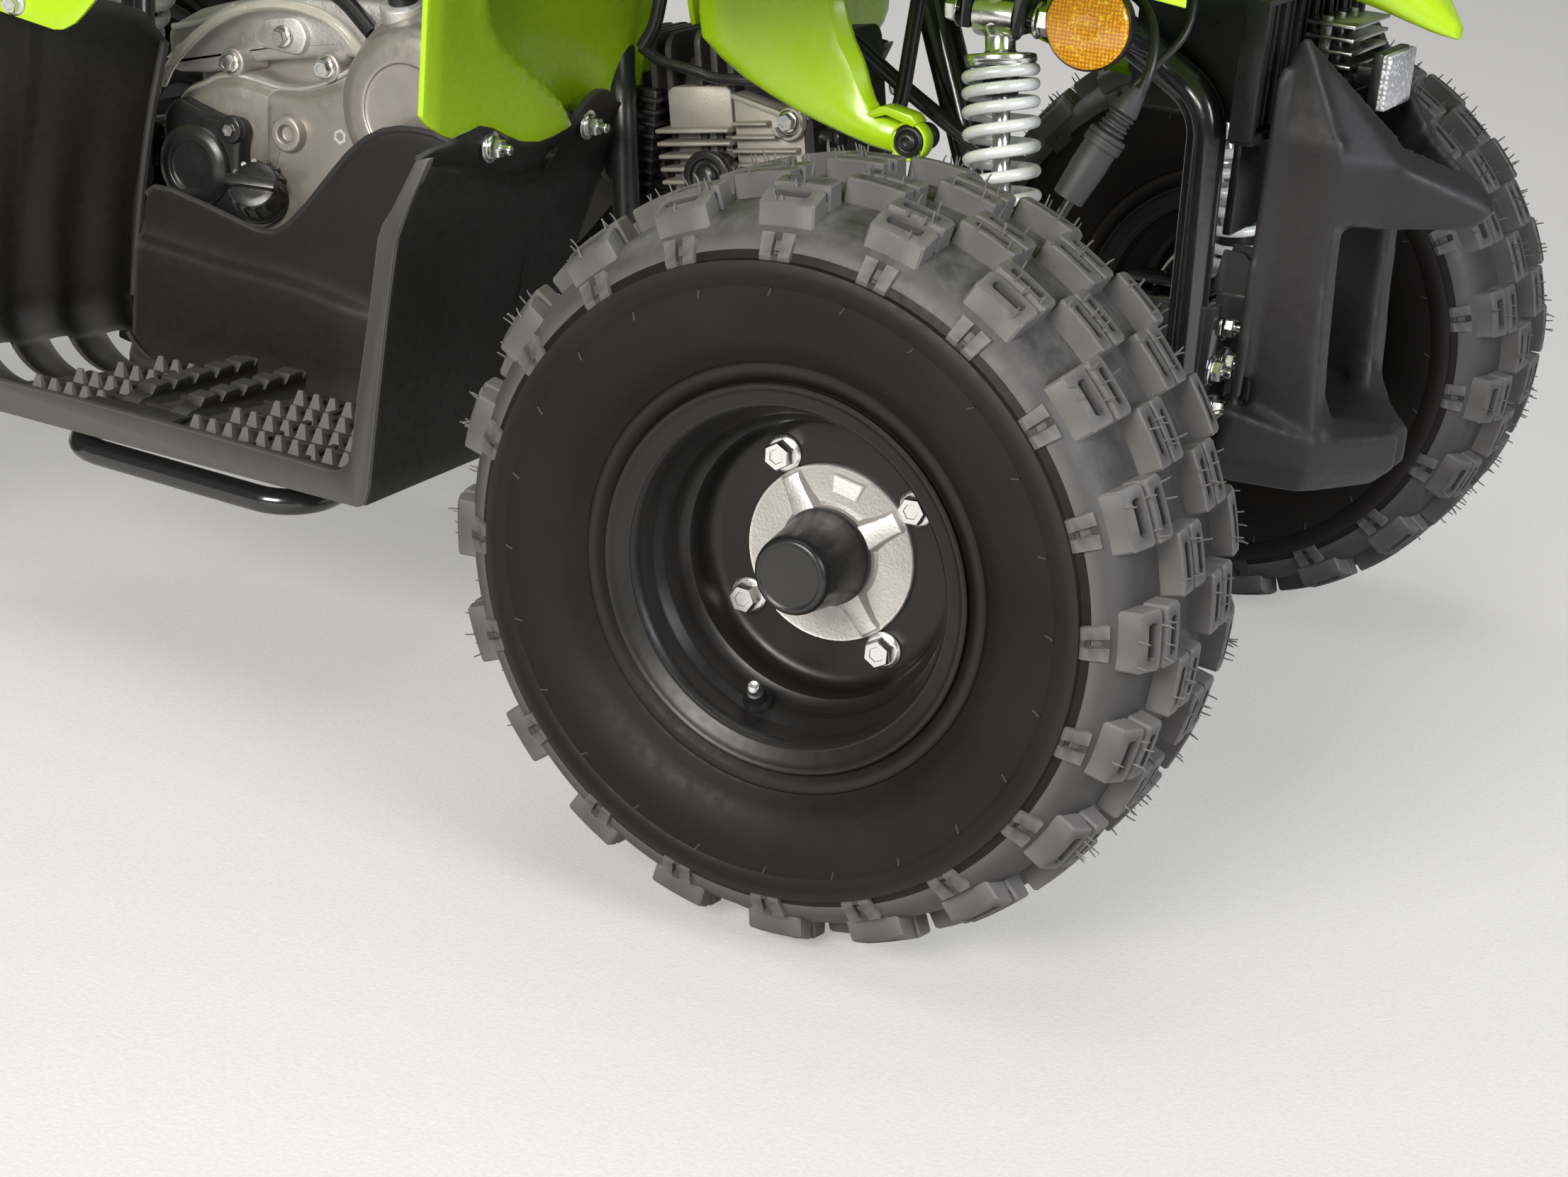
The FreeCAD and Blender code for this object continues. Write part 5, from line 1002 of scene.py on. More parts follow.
def leg_shield(build):
    rows = []
    for j in range(73):
        share = j / 72
        y0 = -298 + 279 * share
        bottom = chain_at(SHIELD_LOW, y0)
        row = []
        for k in range(32):
            t = k / 31
            z = bottom + (526 - bottom) * t
            taper = step_up(z, 452, 526)
            y = y0 + (0.002 * (z - 400)) * (1 - share)
            y = y * (1 - taper) + (-150 + 84 * share) * taper
            if share > 0.9:
                y += (z - 400) * 0.02 * (1 - taper)
            row.append((shield_front(y0, z), y, z))
        rows.append(row)
    sheet(build, rows, 0, (-3.6, 0, 0))


both("leg_shield", leg_shield, M_GREEN, "green_plastic", nodes=("side_panels",), bevel=1.0, angle=50)


# Front fender: struts with a mounting ring, wings over the wheels, the nose between them

OUTWARD = (0, -1, 0)
RING = (398, -184, 384)
STRUT_REAR = [(254, 540), (256, 520), (257, 480), (258, 452), (259, 432), (262, 419), (274, 410), (290, 401),
              (307, 394), (324, 388), (341, 383.5), (358, 379.5), (374, 376), (389, 374.5)]
STRUT_FRONT = [(356, 540), (352, 520), (347, 480), (346, 456), (351, 442), (356, 431), (360, 425), (363, 420),
               (366, 413), (368, 408), (371, 402), (375, 397), (382, 395), (392, 393)]


def strut(build):
    """The bent panel beside the engine: its rear edge curls forwards along the bottom to the ring."""
    rows = []
    for (xr, zr), (xf, zf) in zip(STRUT_REAR, STRUT_FRONT):
        row = []
        for k in range(15):
            t = k / 14
            x, z = xr + (xf - xr) * t, zr + (zf - zr) * t
            crown = math.sin(math.pi * t)
            curl = 7 * (1 - step_up(t, 0, 0.10)) + 6 * step_up(t, 0.92, 1.0)
            row.append((x, -187.5 - 3.5 * crown + curl, z))
        rows.append(row)
    sheet(build, rows, 0, (0, 3.4, 0))
    lathe(build, [(9.0, -3), (9.0, 6.4), (9.6, 7.4), (10.6, 7.2), (11.0, 5.4), (11.0, -3)], RING, OUTWARD, 44,
          closed=True)
    prism(build, [(372, 395), (380, 400.5), (384, 401), (399, 398.5), (402.5, 395), (401, 392.6), (384, 396.6),
                  (377, 394)], 14.4, lambda u, v, w: (u, -192.4 + w, v))


both("fender_strut", strut, M_GREEN, "green_plastic", bevel=0.8, angle=50)


def strut_bush(build):
    lathe(build, rounded([(0.01, -4), (8.9, -4), (8.9, 6.0), (8.2, 7.4), (6.6, 7.8), (6.0, 7.0), (0.01, 6.8)], 0.6, 2),
          RING, OUTWARD, 36)
    lathe(build, rounded([(0.01, -19), (7.6, -19), (7.6, -15), (6.0, -14), (6.0, -4), (0.01, -4)], 0.5, 2), RING,
          OUTWARD, 28)


def strut_screw(build):
    lathe(build, rounded([(0.01, 6), (5.0, 6), (5.0, 8.8), (4.1, 9.9), (2.5, 10.2), (2.2, 8.6), (0.01, 8.6)], 0.5, 2),
          RING, OUTWARD, 28)


both("strut_bush", strut_bush, M_CABLE, "rubber")
both("strut_screw", strut_screw, M_STEEL_DARK, "alloy_parts")


def arch_wing(build, stations, inner, outer, drop=17):
    """A fender wing: a skin along (x, z) stations that rolls over at its outer edge, with a soft ridge."""
    line = smooth_path([(x, 0, z) for x, z in stations], 14)
    n = len(line)
    across = [0, 0.12, 0.24, 0.36, 0.44, 0.50, 0.56, 0.66, 0.76, 0.86, 0.92, 0.96, 0.985, 1.0, 1.0, 0.995]
    rows = []
    for i, p in enumerate(line):
        ends = min(step_up(i, -1, n * 0.16), step_up(n - 1 - i, -1, n * 0.16))
        half_out = inner + (outer - inner) * (0.80 + 0.20 * ends)
        row = []
        for j, t in enumerate(across):
            y = inner + (half_out - inner) * t
            ridge = 3.0 * math.exp(-((t - 0.5) / 0.07) ** 2)
            fall = drop * step_up(t, 0.86, 1.0) * 0.5 + (drop * 0.55 if j == 14 else drop * 0.62 if j == 15 else 0)
            row.append((p.x, -y, p.z + ridge - fall))
        rows.append(row)
    sheet(build, rows, 0, (0, 0, -3.6))


FRONT_ARCH = [(256, 486), (272, 500), (300, 516), (360, 532), (445, 537), (520, 536), (560, 531), (598, 523)]
REAR_ARCH = [(-242, 500), (-270, 515), (-320, 529), (-390, 538), (-455, 541), (-540, 538), (-600, 531), (-638, 524)]
both("front_wing", lambda b: arch_wing(b, FRONT_ARCH, 92, 408), M_GREEN, "green_plastic", bevel=0.7, angle=50)
both("rear_wing", lambda b: arch_wing(b, REAR_ARCH, 94, 408), M_GREEN, "green_plastic", bevel=0.7, angle=50)


def hull(build, sections, points=40, power=4.0):
    """A closed body through (x, half width, low, high) sections, rounded like a super-ellipse."""
    rows = []
    for x, half, low, high in sections:
        row = []
        for k in range(points):
            a = 2 * math.pi * k / points
            ca, sa = math.cos(a), math.sin(a)
            y = math.copysign(abs(ca) ** (2 / power), ca)
            z = math.copysign(abs(sa) ** (2 / power), sa)
            wide = half * (1 - 0.16 * step_up(z, 0.0, 1.0))
            row.append((x, y * wide, (low + high) / 2 + z * (high - low) / 2))
        rows.append(row)
    skin(build, rows)


def between(table, steps):
    """More stations between those given, on a smooth curve through them."""
    rows = []
    for i in range(len(table) - 1):
        p0, p1 = table[max(i - 1, 0)], table[i]
        p2, p3 = table[i + 1], table[min(i + 2, len(table) - 1)]
        for k in range(steps):
            t = k / steps
            rows.append(tuple(0.5 * (2 * b + (c - a) * t + (2 * a - 5 * b + 4 * c - d) * t * t
                                     + (3 * b - a - 3 * c + d) * t ** 3)
                              for a, b, c, d in zip(p0, p1, p2, p3)))
    rows.append(tuple(table[-1]))
    return rows


def cut_round(piece, foot, way, radius, length):
    """Bores a round way through a closed piece, for something that passes through it."""
    tool = Build()
    lathe(tool, [(0.01, 0), (radius, 0), (radius, length), (0.01, length)], foot, way, 48)
    cutter = linked("bore", tool.mesh("bore", clean=False))
    modify(piece, "BOOLEAN", operation="DIFFERENCE", object=cutter)
    shade(applied(piece, keep=True), 40)
    bpy.data.objects.remove(cutter)


nose = Build()
hull(nose, between([(62, 90, 547, 594), (120, 101, 547, 622), (190, 105, 547, 634), (260, 105, 547, 635),
                    (330, 104, 546, 631), (390, 105, 528, 620), (440, 106, 504, 604), (500, 99, 492, 585),
                    (545, 84, 484, 560), (580, 62, 474, 532), (604, 44, 467, 507), (626, 22, 459, 480),
                    (640, 5, 455.5, 463)], 4), 44, 3.6)
stem_way = Vector((-0.3697, 0, 0.9291))
nose_piece = nose.piece("fender_nose", M_GREEN, "chassis", "green_plastic", 45, ("front_fender",))
cut_round(nose_piece, Vector((424, 0, 174)) + stem_way * 330, stem_way, 24, 260)
tail = Build()
hull(tail, between([(58, 98, 540, 561), (-200, 100, 540, 561), (-420, 100, 540, 561), (-540, 100, 541, 562),
                    (-600, 99, 547, 569), (-650, 96, 553, 575)], 4), 36, 6.0)
tail.piece("tail_deck", M_GREEN, "chassis", "green_plastic", 45, ("rear_fender",))


def heel_tip(build):
    """The green tip that laps over the heel guard and rises to the rear wing."""
    low = [(-214, 384), (-196, 380), (-182, 376.5), (-171, 375), (-149, 372.5), (-136, 371), (-129, 372), (-120, 377),
           (-114, 383), (-105, 393), (-92, 412), (-84, 430)]
    rows = []
    for x, z in low:
        top_x = -292 + (x + 214) * 0.40
        row = []
        for k in range(15):
            t = k / 14
            row.append((x - 4 * t + (top_x - x + 4) * t * t, -256 + 26 * t * t + 1.5 * math.sin(math.pi * t),
                        z + (chain_at([(-292, 520), (-240, 501)], top_x) - 3 - z) * t))
        rows.append(row)
    sheet(build, rows, 0, (0, 3.2, 0))


both("heel_tip", heel_tip, M_GREEN, "green_plastic", bevel=0.8, angle=50)


def tip_bolt(build):
    hex_head(build, (-166, -256.5, 383), (0.1, -0.97, -0.2), across=10, height=6, washer=8.5, turn=0.2)


both("heel_tip_bolt", tip_bolt, M_BRIGHT, "alloy_parts")


# Engine's right side: cast cover with its bulge, bolts, filler cap, guard and hoses

COVER_EDGE = [(-162, 228), (-163, 262), (-162, 304), (-152, 317), (-139, 323), (-129, 329), (-112, 333), (-96, 332),
              (-80, 330), (-64, 331), (-48, 336), (-36, 343), (-22, 352), (-8, 362), (10, 370), (34, 375), (58, 370),
              (70, 356), (72, 330), (72, 262), (40, 222), (-128, 221)]
COVER_BOLTS = [(-115, 338), (-41, 346), (-24, 306), (-152, 262), (-150, 230), (62, 238), (66, 366), (-60, 226)]


def dense(loop, gap=6.0, cut=5.0):
    """A closed outline with its corners rounded and its sides evenly divided."""
    n = len(loop)
    out = []
    for i in range(n):
        a, b, c = Vector(loop[i - 1]), Vector(loop[i]), Vector(loop[(i + 1) % n])
        pa = b + (a - b).normalized() * min(cut, (a - b).length * 0.4)
        pc = b + (c - b).normalized() * min(cut, (c - b).length * 0.4)
        for k in range(4):
            t = k / 3
            out.append(pa * (1 - t) ** 2 + b * 2 * t * (1 - t) + pc * t * t)
        side = (Vector(loop[(i + 1) % n]) - pc).length - min(cut, (c - b).length * 0.4)
        parts = int(side / gap)
        for k in range(1, parts):
            out.append(pc + (c - b).normalized() * (side * k / parts))
    return [tuple(p) for p in out]


def inset(loop, amount):
    """An outline moved inwards by an amount, along the corners' bisectors."""
    n = len(loop)
    area = sum(loop[i][0] * loop[(i + 1) % n][1] - loop[(i + 1) % n][0] * loop[i][1] for i in range(n))
    turn = 1 if area > 0 else -1
    out = []
    for i in range(n):
        a, b, c = Vector(loop[i - 1]), Vector(loop[i]), Vector(loop[(i + 1) % n])
        run = c - a
        if run.length < 1e-6:
            out.append(tuple(b))
            continue
        run.normalize()
        out.append((b.x - run.y * turn * amount, b.y + run.x * turn * amount))
    return out


def layered(build, loop, layers, place):
    """A raised panel: the outline drawn at (inset, height) layers and closed by its last one."""
    rings = [inset(loop, amount) for amount, lift in layers]
    skin(build, [[place(u, v, lift) for u, v in ring] for ring, (amount, lift) in zip(rings, layers)])


def on_right(level):
    return lambda u, v, lift: (u, -level - lift, v)


FILLER = (-88, -93, 243)


def engine_cover(build):
    edge = dense(COVER_EDGE, 8, 6)
    layered(build, edge, [(0, 0), (0, 20), (0.5, 22.2), (1.6, 23.4), (6.0, 23.6), (7.2, 24.4), (9.0, 26.6), (11, 27.4)],
            on_right(84.3))
    field = dense([(-84, 324), (-52, 327), (-30, 336), (-12, 348), (10, 362), (40, 366), (62, 352), (64, 262),
                   (38, 231), (-92, 231), (-88, 252), (-82, 280)], 9, 9)
    layered(build, field, [(-3, 26), (-1.5, 27.2), (0, 29.0), (1.5, 31.2), (3.5, 32.6), (6, 33.2)], on_right(84.3))
    c = (36, -84.3, 334)
    lathe(build, rounded([(0.01, 24), (60, 24), (56, 33), (52.5, 36), (51, 44), (47.5, 49), (42, 51.2), (30, 52.6),
                          (29, 51.0), (12, 51.4), (0.01, 51.6)], 2.4, 3), c, OUTWARD, 72)
    lathe(build, rounded([(0.01, 26), (13.6, 26), (12.6, 33), (11.4, 38.6), (10.4, 39.4), (6.0, 39.4), (5.4, 37.6),
                          (5.2, 34.8), (0.01, 34.6)], 0.8, 3), (-62, -84.3, 302), OUTWARD, 40)
    for x, z in COVER_BOLTS:
        lathe(build, rounded([(0.01, 0), (10.6, 0), (9.8, 24.5), (8.8, 26.2), (0.01, 26.4)], 0.9, 2), (x, -84.3, z),
              OUTWARD, 32)
    lathe(build, rounded([(0.01, 10), (21, 10), (19.6, 17), (17.0, 20.5), (16.4, 29), (0.01, 29)], 1.2, 2), FILLER,
          (0.2, -0.83, 0.5), 36)
    for x0, z0, x1, z1 in ((-128, 250, -112, 300), (-40, 240, -30, 320)):
        sweep(build, smooth_path([(x0, -111, z0), ((x0 + x1) / 2, -112.5, (z0 + z1) / 2), (x1, -111, z1)], 6), 2.6, 8)
    rim_line = [Vector((x, -108.3, z)) for x, z in inset(edge, 3)]
    sweep(build, rim_line + [rim_line[0]], 1.3, 6)


cover = Build()
engine_cover(cover)
cover.piece("engine_side_cover", M_ENGINE, "chassis", "engine_alloy", 38, ("engine_cover",))

bolts = Build()
for number, (x, z) in enumerate(COVER_BOLTS):
    hex_head(bolts, (x, -110.7, z), OUTWARD, across=9.6, height=7.0, washer=7.4, turn=0.35 + number * 0.6)
hex_head(bolts, (-80, -104, 359), OUTWARD, across=9.6, height=7.0, washer=7.6, turn=0.9)
hex_head(bolts, (-104, -123.5, 298), OUTWARD, across=7.6, height=4.4, washer=7.2, turn=0.1)
for x, z in ((8, 306), (64, 306), (36, 372)):
    hex_head(bolts, (x, -122, z), OUTWARD, across=8.5, height=6, washer=6.8, turn=x * 0.2)
bolts.piece("engine_bolts", M_BRIGHT, "chassis", "alloy_parts", 35)

upper = Build()
layered(upper, dense([(-172, 322), (-176, 350), (-150, 366), (-120, 376), (-84, 384), (-40, 388), (10, 392), (10, 356),
                      (-40, 352), (-100, 340), (-140, 326)], 8, 6),
        [(0, 0), (0, 12), (1, 14), (3, 15), (8, 15.4)], on_right(84))
layered(upper, dense([(-104, 350), (-98, 368), (-70, 374), (-60, 362), (-66, 348)], 6, 7),
        [(0, 12), (0, 17), (1.2, 19), (3, 19.6)], on_right(84))
for x0, x1 in ((-170, -122), (-166, -110)):
    sweep(upper, smooth_path([(x0, -100.5, 352 if x0 < -168 else 338), ((x0 + x1) / 2, -101, 358), (x1, -100.5, 372)],
                             6), 2.0, 8)
lathe(upper, rounded([(0.01, -20), (21, -20), (20, 0), (17.5, 4), (15.2, 6), (15.0, 30), (0.01, 30)], 1.5, 2),
      (14, -98, 366), (-0.06, -0.30, 0.95), 40)
lathe(upper, rounded([(13, 2), (19.2, 2), (19.8, 4.2), (19.2, 9.8), (17.2, 11), (13, 11)], 0.9, 2), (12, -100, 372),
      (-0.06, -0.30, 0.95), 40, closed=True)
upper.piece("engine_upper_cover", M_CAST, "chassis", "engine_alloy", 38)

boot = Build()
sweep(boot, smooth_path([(13, -104, 388), (8, -108, 410), (14, -104, 436), (40, -84, 462)], 5),
      lambda t: 9.6 - 2.2 * t + (0.9 if int(t * 16) % 2 else 0), 20)
sweep(boot, smooth_path([(-10, -106, 372), (-40, -100, 392), (-90, -92, 402), (-150, -88, 398), (-190, -86, 392)], 6),
      5.2, 14)
sweep(boot, smooth_path([(30, -98, 382), (50, -94, 404), (76, -90, 430), (100, -84, 462)], 6), 3.4, 12)
sweep(boot, smooth_path([(-176, -92, 404), (-120, -96, 396), (-60, -92, 398), (0, -88, 410), (60, -80, 440)], 6), 3.2,
      12)
boot.piece("engine_cables", M_CABLE, "chassis", "rubber", 40)

guard = Build()
layered(guard, dense([(-160, 300), (-150, 312), (-138, 309), (-118, 304), (-101, 305), (-95, 298), (-98, 284),
                      (-94, 250), (-96, 232), (-152, 232), (-158, 262)], 6, 6),
        [(0, 0), (0, 9), (0.9, 11), (2.4, 12), (5, 12.3)], on_right(111))
lathe(guard, rounded([(0.01, 8), (29, 8), (27, 15), (22, 18), (17, 18.6), (15.6, 16), (9, 15.6), (0.01, 15.6)], 1.6, 3),
      (-132, -111, 270), OUTWARD, 48)
lathe(guard, rounded([(0.01, 10), (9.4, 10), (9.0, 14), (8.0, 15), (0.01, 15)], 0.8, 2), (-104, -111, 298), OUTWARD, 28)
guard.piece("sprocket_guard", M_PLASTIC_SMOOTH, "chassis", "black_plastic", 38)

stick = Build()
way = Vector((0.2, -0.80, 0.5)).normalized()
lathe(stick, rounded([(0.01, 0), (19.6, 0), (20.2, 2), (20.0, 6), (17.6, 8.5), (16.9, 19), (15.2, 21.4), (10, 22.4),
                      (0.01, 22.6)],
                     0.9, 2), Vector(FILLER) + way * 28, way, 44)
side_a, side_b = axes_for(way)
for k in range(14):
    a = 2 * math.pi * k / 14
    out_way = side_a * math.cos(a) + side_b * math.sin(a)
    foot = Vector(FILLER) + way * 36 + out_way * 17.0
    sweep(stick, [foot, foot + way * 8, foot + way * 13 - out_way * 1.2], 1.9, 6)
block(stick, (-17, -3.4, -5), (17, 3.4, 5), 1.2, turn=way.to_track_quat("Z", "Y"),
      centre=Vector(FILLER) + way * 52)
stick.piece("oil_filler_cap", M_PLASTIC_SMOOTH, "chassis", "black_plastic", 38)

hose = Build()
sweep(hose, smooth_path([(-168, -113, 316), (-160, -114, 332), (-142, -114, 351), (-121, -114, 367), (-99, -114, 377),
                         (-72, -114, 382), (-47, -114, 381), (-31, -113, 375), (-20, -111, 365), (-14, -108, 352)], 5),
                         3.4, 16)
hose.piece("breather_hose", M_HOSE, "chassis", "rubber", 60)


# Shock absorbers and springs

def helix(build, foot, top, radius, wire, pitch, start, end, per_turn=28):
    """A coil spring's wire round the line from foot to top, its ends closed and flat. pitch may change along it."""
    foot, top = Vector(foot), Vector(top)
    way = (top - foot).normalized()
    a, b = axes_for(way)
    path = []
    s, turn = start, 0.0
    while s < end:
        near = min(s - start, end - s)
        step = pitch(s) if callable(pitch) else pitch
        rise = step if near > step * 0.8 else wire * 2.05 + (step - wire * 2.05) * max(0, near) / (step * 0.8)
        path.append(foot + way * s + (a * math.cos(turn) + b * math.sin(turn)) * radius)
        turn += 2 * math.pi / per_turn
        s += max(rise, wire * 2.02) / per_turn
    sweep(build, path, wire)


def front_spring(build):
    helix(build, SHOCK_FOOT, SHOCK_TOP, 18.0, 3.35, lambda s: 7.0 + min(6.2, (220 - s) * 0.16), 52, 220)


SHOCK_FOOT = Vector((482, -205, 216))
SHOCK_TOP = Vector((434, -168, 456))
SHOCK_WAY = SHOCK_TOP - SHOCK_FOOT


def shock_body(build):
    foot, top, way = SHOCK_FOOT, SHOCK_TOP, SHOCK_WAY
    lathe(build, rounded([(0.01, 14), (9, 14), (10.5, 18), (10.8, 118), (9.4, 121), (4.9, 122), (4.9, 222),
                          (0.01, 222)], 0.6, 2),
          foot, way, 32)
    lathe(build, rounded([(0.01, 40), (12.6, 40), (20.4, 44), (21.4, 47), (21.4, 49.6), (14, 50.5), (0.01, 50.5)], 0.7,
                         2),
          foot, way, 40)
    lathe(build, rounded([(0.01, 220), (18.6, 220), (19.0, 222), (19.6, 222.6), (19.6, 225.4), (18.8, 226.4), (10, 227),
                          (8.2, 228), (8.2, 236), (9.2, 238), (11.2, 241), (12.2, 247), (11.2, 256), (6, 260),
                          (0.01, 260)],
                         0.6, 2),
          foot, way, 40)
    for spot, half, radius in ((foot, 12, 12.4), (top, 11.6, 12.6)):
        lathe(build, rounded([(0.01, -half), (radius, -half), (radius, half), (0.01, half)], 0.8, 2), spot, (1, 0, 0),
              32)


def shock_black(build):
    foot, way = SHOCK_FOOT, SHOCK_WAY
    lathe(build, rounded([(5.0, 204), (8.4, 204), (9.6, 206), (9.6, 216), (8.4, 218), (5.0, 218)], 0.8, 2), foot, way,
          28, closed=True)
    lathe(build, [(11.0, 60), (11.5, 60.4), (11.5, 74), (11.0, 74.4)], foot, way, 32, closed=True)


both("front_coil", front_spring, M_SPRING, "spring_steel", nodes=("front_springs",), angle=60)
both("front_shock", shock_body, M_BRIGHT, "damper_steel", nodes=("front_dampers",), angle=40)
both("front_shock_stop", shock_black, M_CABLE, "rubber", angle=40)


def shock_nuts(build):
    for x, way in ((456.5, 1), (412, -1)):
        hex_head(build, (x - 0.2 * way, -168, 456), (way, 0, 0), across=14, height=8, washer=10, turn=0.3,
                 stem=4 if way > 0 else None)
    for x, way in ((503, 1), (460, -1)):
        hex_head(build, (x - 6.5 * way, -205, 216), (way, 0, 0), across=13, height=6, washer=9, turn=0.7)


both("shock_nuts", shock_nuts, M_BRIGHT, "alloy_parts")
rear_coil = Build()
helix(rear_coil, (-311, 0, 262), (-237, 0, 478), 22.6, 4.6, 14.5, 42, 190)
rear_coil.piece("rear_coil", M_SPRING, "chassis", "spring_steel", 60, ("rear_spring",))


# Bumper: moulded in one, so its blended shape is worked from plain lumps

def lump(bm, points):
    """The smallest closed body round some points."""
    verts = [bm.verts.new(v3(p)) for p in points]
    done = bmesh.ops.convex_hull(bm, input=verts)
    spare = [g for g in done["geom_interior"] if isinstance(g, bmesh.types.BMVert)]
    bmesh.ops.delete(bm, geom=spare, context="VERTS")


def melted(name, lumps, voxel, rounds, mat, body, nodes, keep):
    """Lumps fused to one skin, smoothed so that they run into one another."""
    bm = bmesh.new()
    for points in lumps:
        lump(bm, points)
    mesh = bpy.data.meshes.new(name)
    bm.to_mesh(mesh)
    bm.free()
    obj = linked(name, mesh)
    modify(obj, "REMESH", mode="VOXEL", voxel_size=voxel / 1000)
    modify(obj, "SMOOTH", factor=0.5, iterations=rounds)
    modify(obj, "DECIMATE", ratio=keep)
    return finish_piece(name, applied(obj), mat, body, 60, nodes)


bumper_lumps = []
for sign in (-1, 1):
    def put(*points):
        bumper_lumps.append([(x, y * sign, z) for x, y, z in points])

    put((566, 58, 446), (566, 70, 446), (572, 60, 455), (573, 68, 455), (580, 58, 446), (580, 68, 444),
        (566, 50, 398), (566, 77, 398), (604, 46, 398), (604, 74, 396), (572, 76, 372), (604, 72, 366), (604, 46, 366))
    put((566, 60, 446), (572, 60, 455), (582, 58, 445), (566, 72, 430), (604, 50, 404), (604, 74, 392), (606, 72, 356),
        (630, 44, 389), (634, 38, 386), (628, 24, 396), (622, 42, 352), (620, 20, 354), (600, 48, 350))
    put((628, 44, 388), (634, 38, 386), (626, 22, 397), (618, 42, 350), (618, 16, 352), (668, 6, 375), (676, 8, 366),
        (676, 0, 362), (668, 12, 354), (652, 0, 352), (646, 8, 388), (654, 0, 384))
    put((568, 77, 402), (568, 51, 402), (604, 74, 402), (604, 50, 402), (570, 76, 310), (606, 73, 310), (606, 48, 310),
        (571, 50, 310))
    put((570, 76, 312), (606, 73, 312), (606, 48, 312), (571, 50, 312), (572, 74, 232), (612, 70, 226), (610, 44, 226),
        (574, 48, 232))
    put((562, 74, 438), (562, 79, 430), (568, 79, 430), (568, 74, 440), (562, 80, 300), (569, 80, 300), (569, 74, 300),
        (562, 82, 240), (570, 82, 240), (562, 74, 240))
    put((560, 90, 246), (560, 90, 216), (572, 88, 244), (612, 72, 232), (612, 70, 214), (560, 70, 198), (604, 56, 196),
        (560, 0, 198), (612, 0, 190), (646, 10, 229), (646, 10, 208), (632, 0, 194), (640, 0, 232), (600, 46, 240),
        (590, 0, 222), (566, 0, 236))
    put((604, 72, 252), (608, 46, 256), (590, 46, 250), (620, 58, 232), (612, 30, 232), (584, 74, 236))
bumper_lumps.append([(574, -6, 200), (586, -6, 200), (574, 4, 200), (586, 4, 200), (578, -4, 178), (582, -4, 178),
                     (578, 2, 178)])
melted("bumper_moulding", bumper_lumps, 2.6, 9, M_GREY_PLASTIC, "chassis", ("front_bumper",), 0.55)

stays = Build()
for side in (-1, 1):
    y = 60 * side
    for low, high in (((544, 292), (572, 306)), ((544, 222), (572, 232))):
        block(stays, (low[0], y - 11, low[1]), (high[0], y + 11, high[1]), 1.2)
    for off in (8 * side, -9 * side):
        prism(stays, [(540, 306), (576, 306), (576, 312), (556, 330), (544, 330)], 3.2,
              lambda u, v, w: (u, y + off + w, v))
stays.piece("bumper_stays", M_FRAME, "chassis", "black_steel", 35)


# Front panel: a ribbed upper half over a plain one, with the shroud and the cooler's fins behind it

panel = Build()
block(panel, (546, -92, 398), (552, 92, 474), 1.5)
for k in range(19):
    y = -84 + 9.3 * k
    block(panel, (550, y - 1.6, 402), (555.5 + (1.5 if k % 3 == 0 else 0), y + 1.6, 471), 0.7)
block(panel, (545, -92, 394), (559, 92, 400), 1.6)
block(panel, (545, -92, 470), (559, 92, 475), 1.6)
for side in (-1, 1):
    block(panel, (545, side * 92 - 3, 396), (559, side * 92 + 3, 474), 1.6)
for low, high in (((538, -58, 336), (543, 58, 398)), ((478, -64, 402), (546, -60, 478)),
                  ((478, 60, 402), (546, 64, 478)), ((478, -64, 400), (546, 64, 404)),
                  ((474, -64, 400), (479, 64, 480)), ((552, -8, 424), (601, 8, 434))):
    block(panel, low, high, 1.2)
panel.piece("front_grille", M_PLASTIC_SMOOTH, "chassis", "black_plastic", 38, ("front_panel",))

fins = Build()
for k in range(6):
    z = 418 + 7.5 * k
    block(fins, (560, -26, z), (588, 44, z + 2.2), 0.6)
for y in (-18, 6, 30):
    block(fins, (566, y, 415), (572, y + 3, 460), 0.6)
fins.piece("horn_fins", M_BRIGHT, "chassis", "alloy_parts", 35)

white = Build()
block(white, (605.5, -26.5, 413.5), (611, 26.5, 444.5), 1.6)
white.piece("white_reflector_lens", M_WHITE_LENS, "chassis", "white_reflector", 35, ("front_reflector",))
back = Build()
block(back, (600.5, -27, 413), (606.5, 27, 445), 1.2)
back.piece("white_reflector_case", M_PLASTIC_SMOOTH, "chassis", "black_plastic", 35)


AMBER = (488, -170, 459)


def amber_lens(build):
    lathe(build, rounded([(0.01, 0), (23.0, 0), (23.0, 9.8), (21.6, 11.2), (7.0, 12.0), (6.6, 11.6),
                          (0.01, 11.6)], 0.6, 2), AMBER,
          OUTWARD, 64)


def amber_cup(build):
    lathe(build, rounded([(0.01, -0.3), (23.6, -0.3), (24.2, 0.6), (24.2, 8.0), (23.6, 8.6), (23.0, 8.0), (23.0, 0),
                          (0.01, 0)], 0.4, 2), AMBER, OUTWARD, 64)
    block(build, (470, -171, 455), (506, -167, 463), 1)
    sweep(build, smooth_path([(488, -168, 450), (480, -160, 440), (462, -150, 444), (440, -140, 452)], 6), 4.2, 12)


both("amber_reflector", amber_lens, M_AMBER, "amber_lens", nodes=("side_reflectors",))
both("amber_reflector_cup", amber_cup, M_PLASTIC_SMOOTH, "black_plastic")


# Brake cables with their ribbed boots

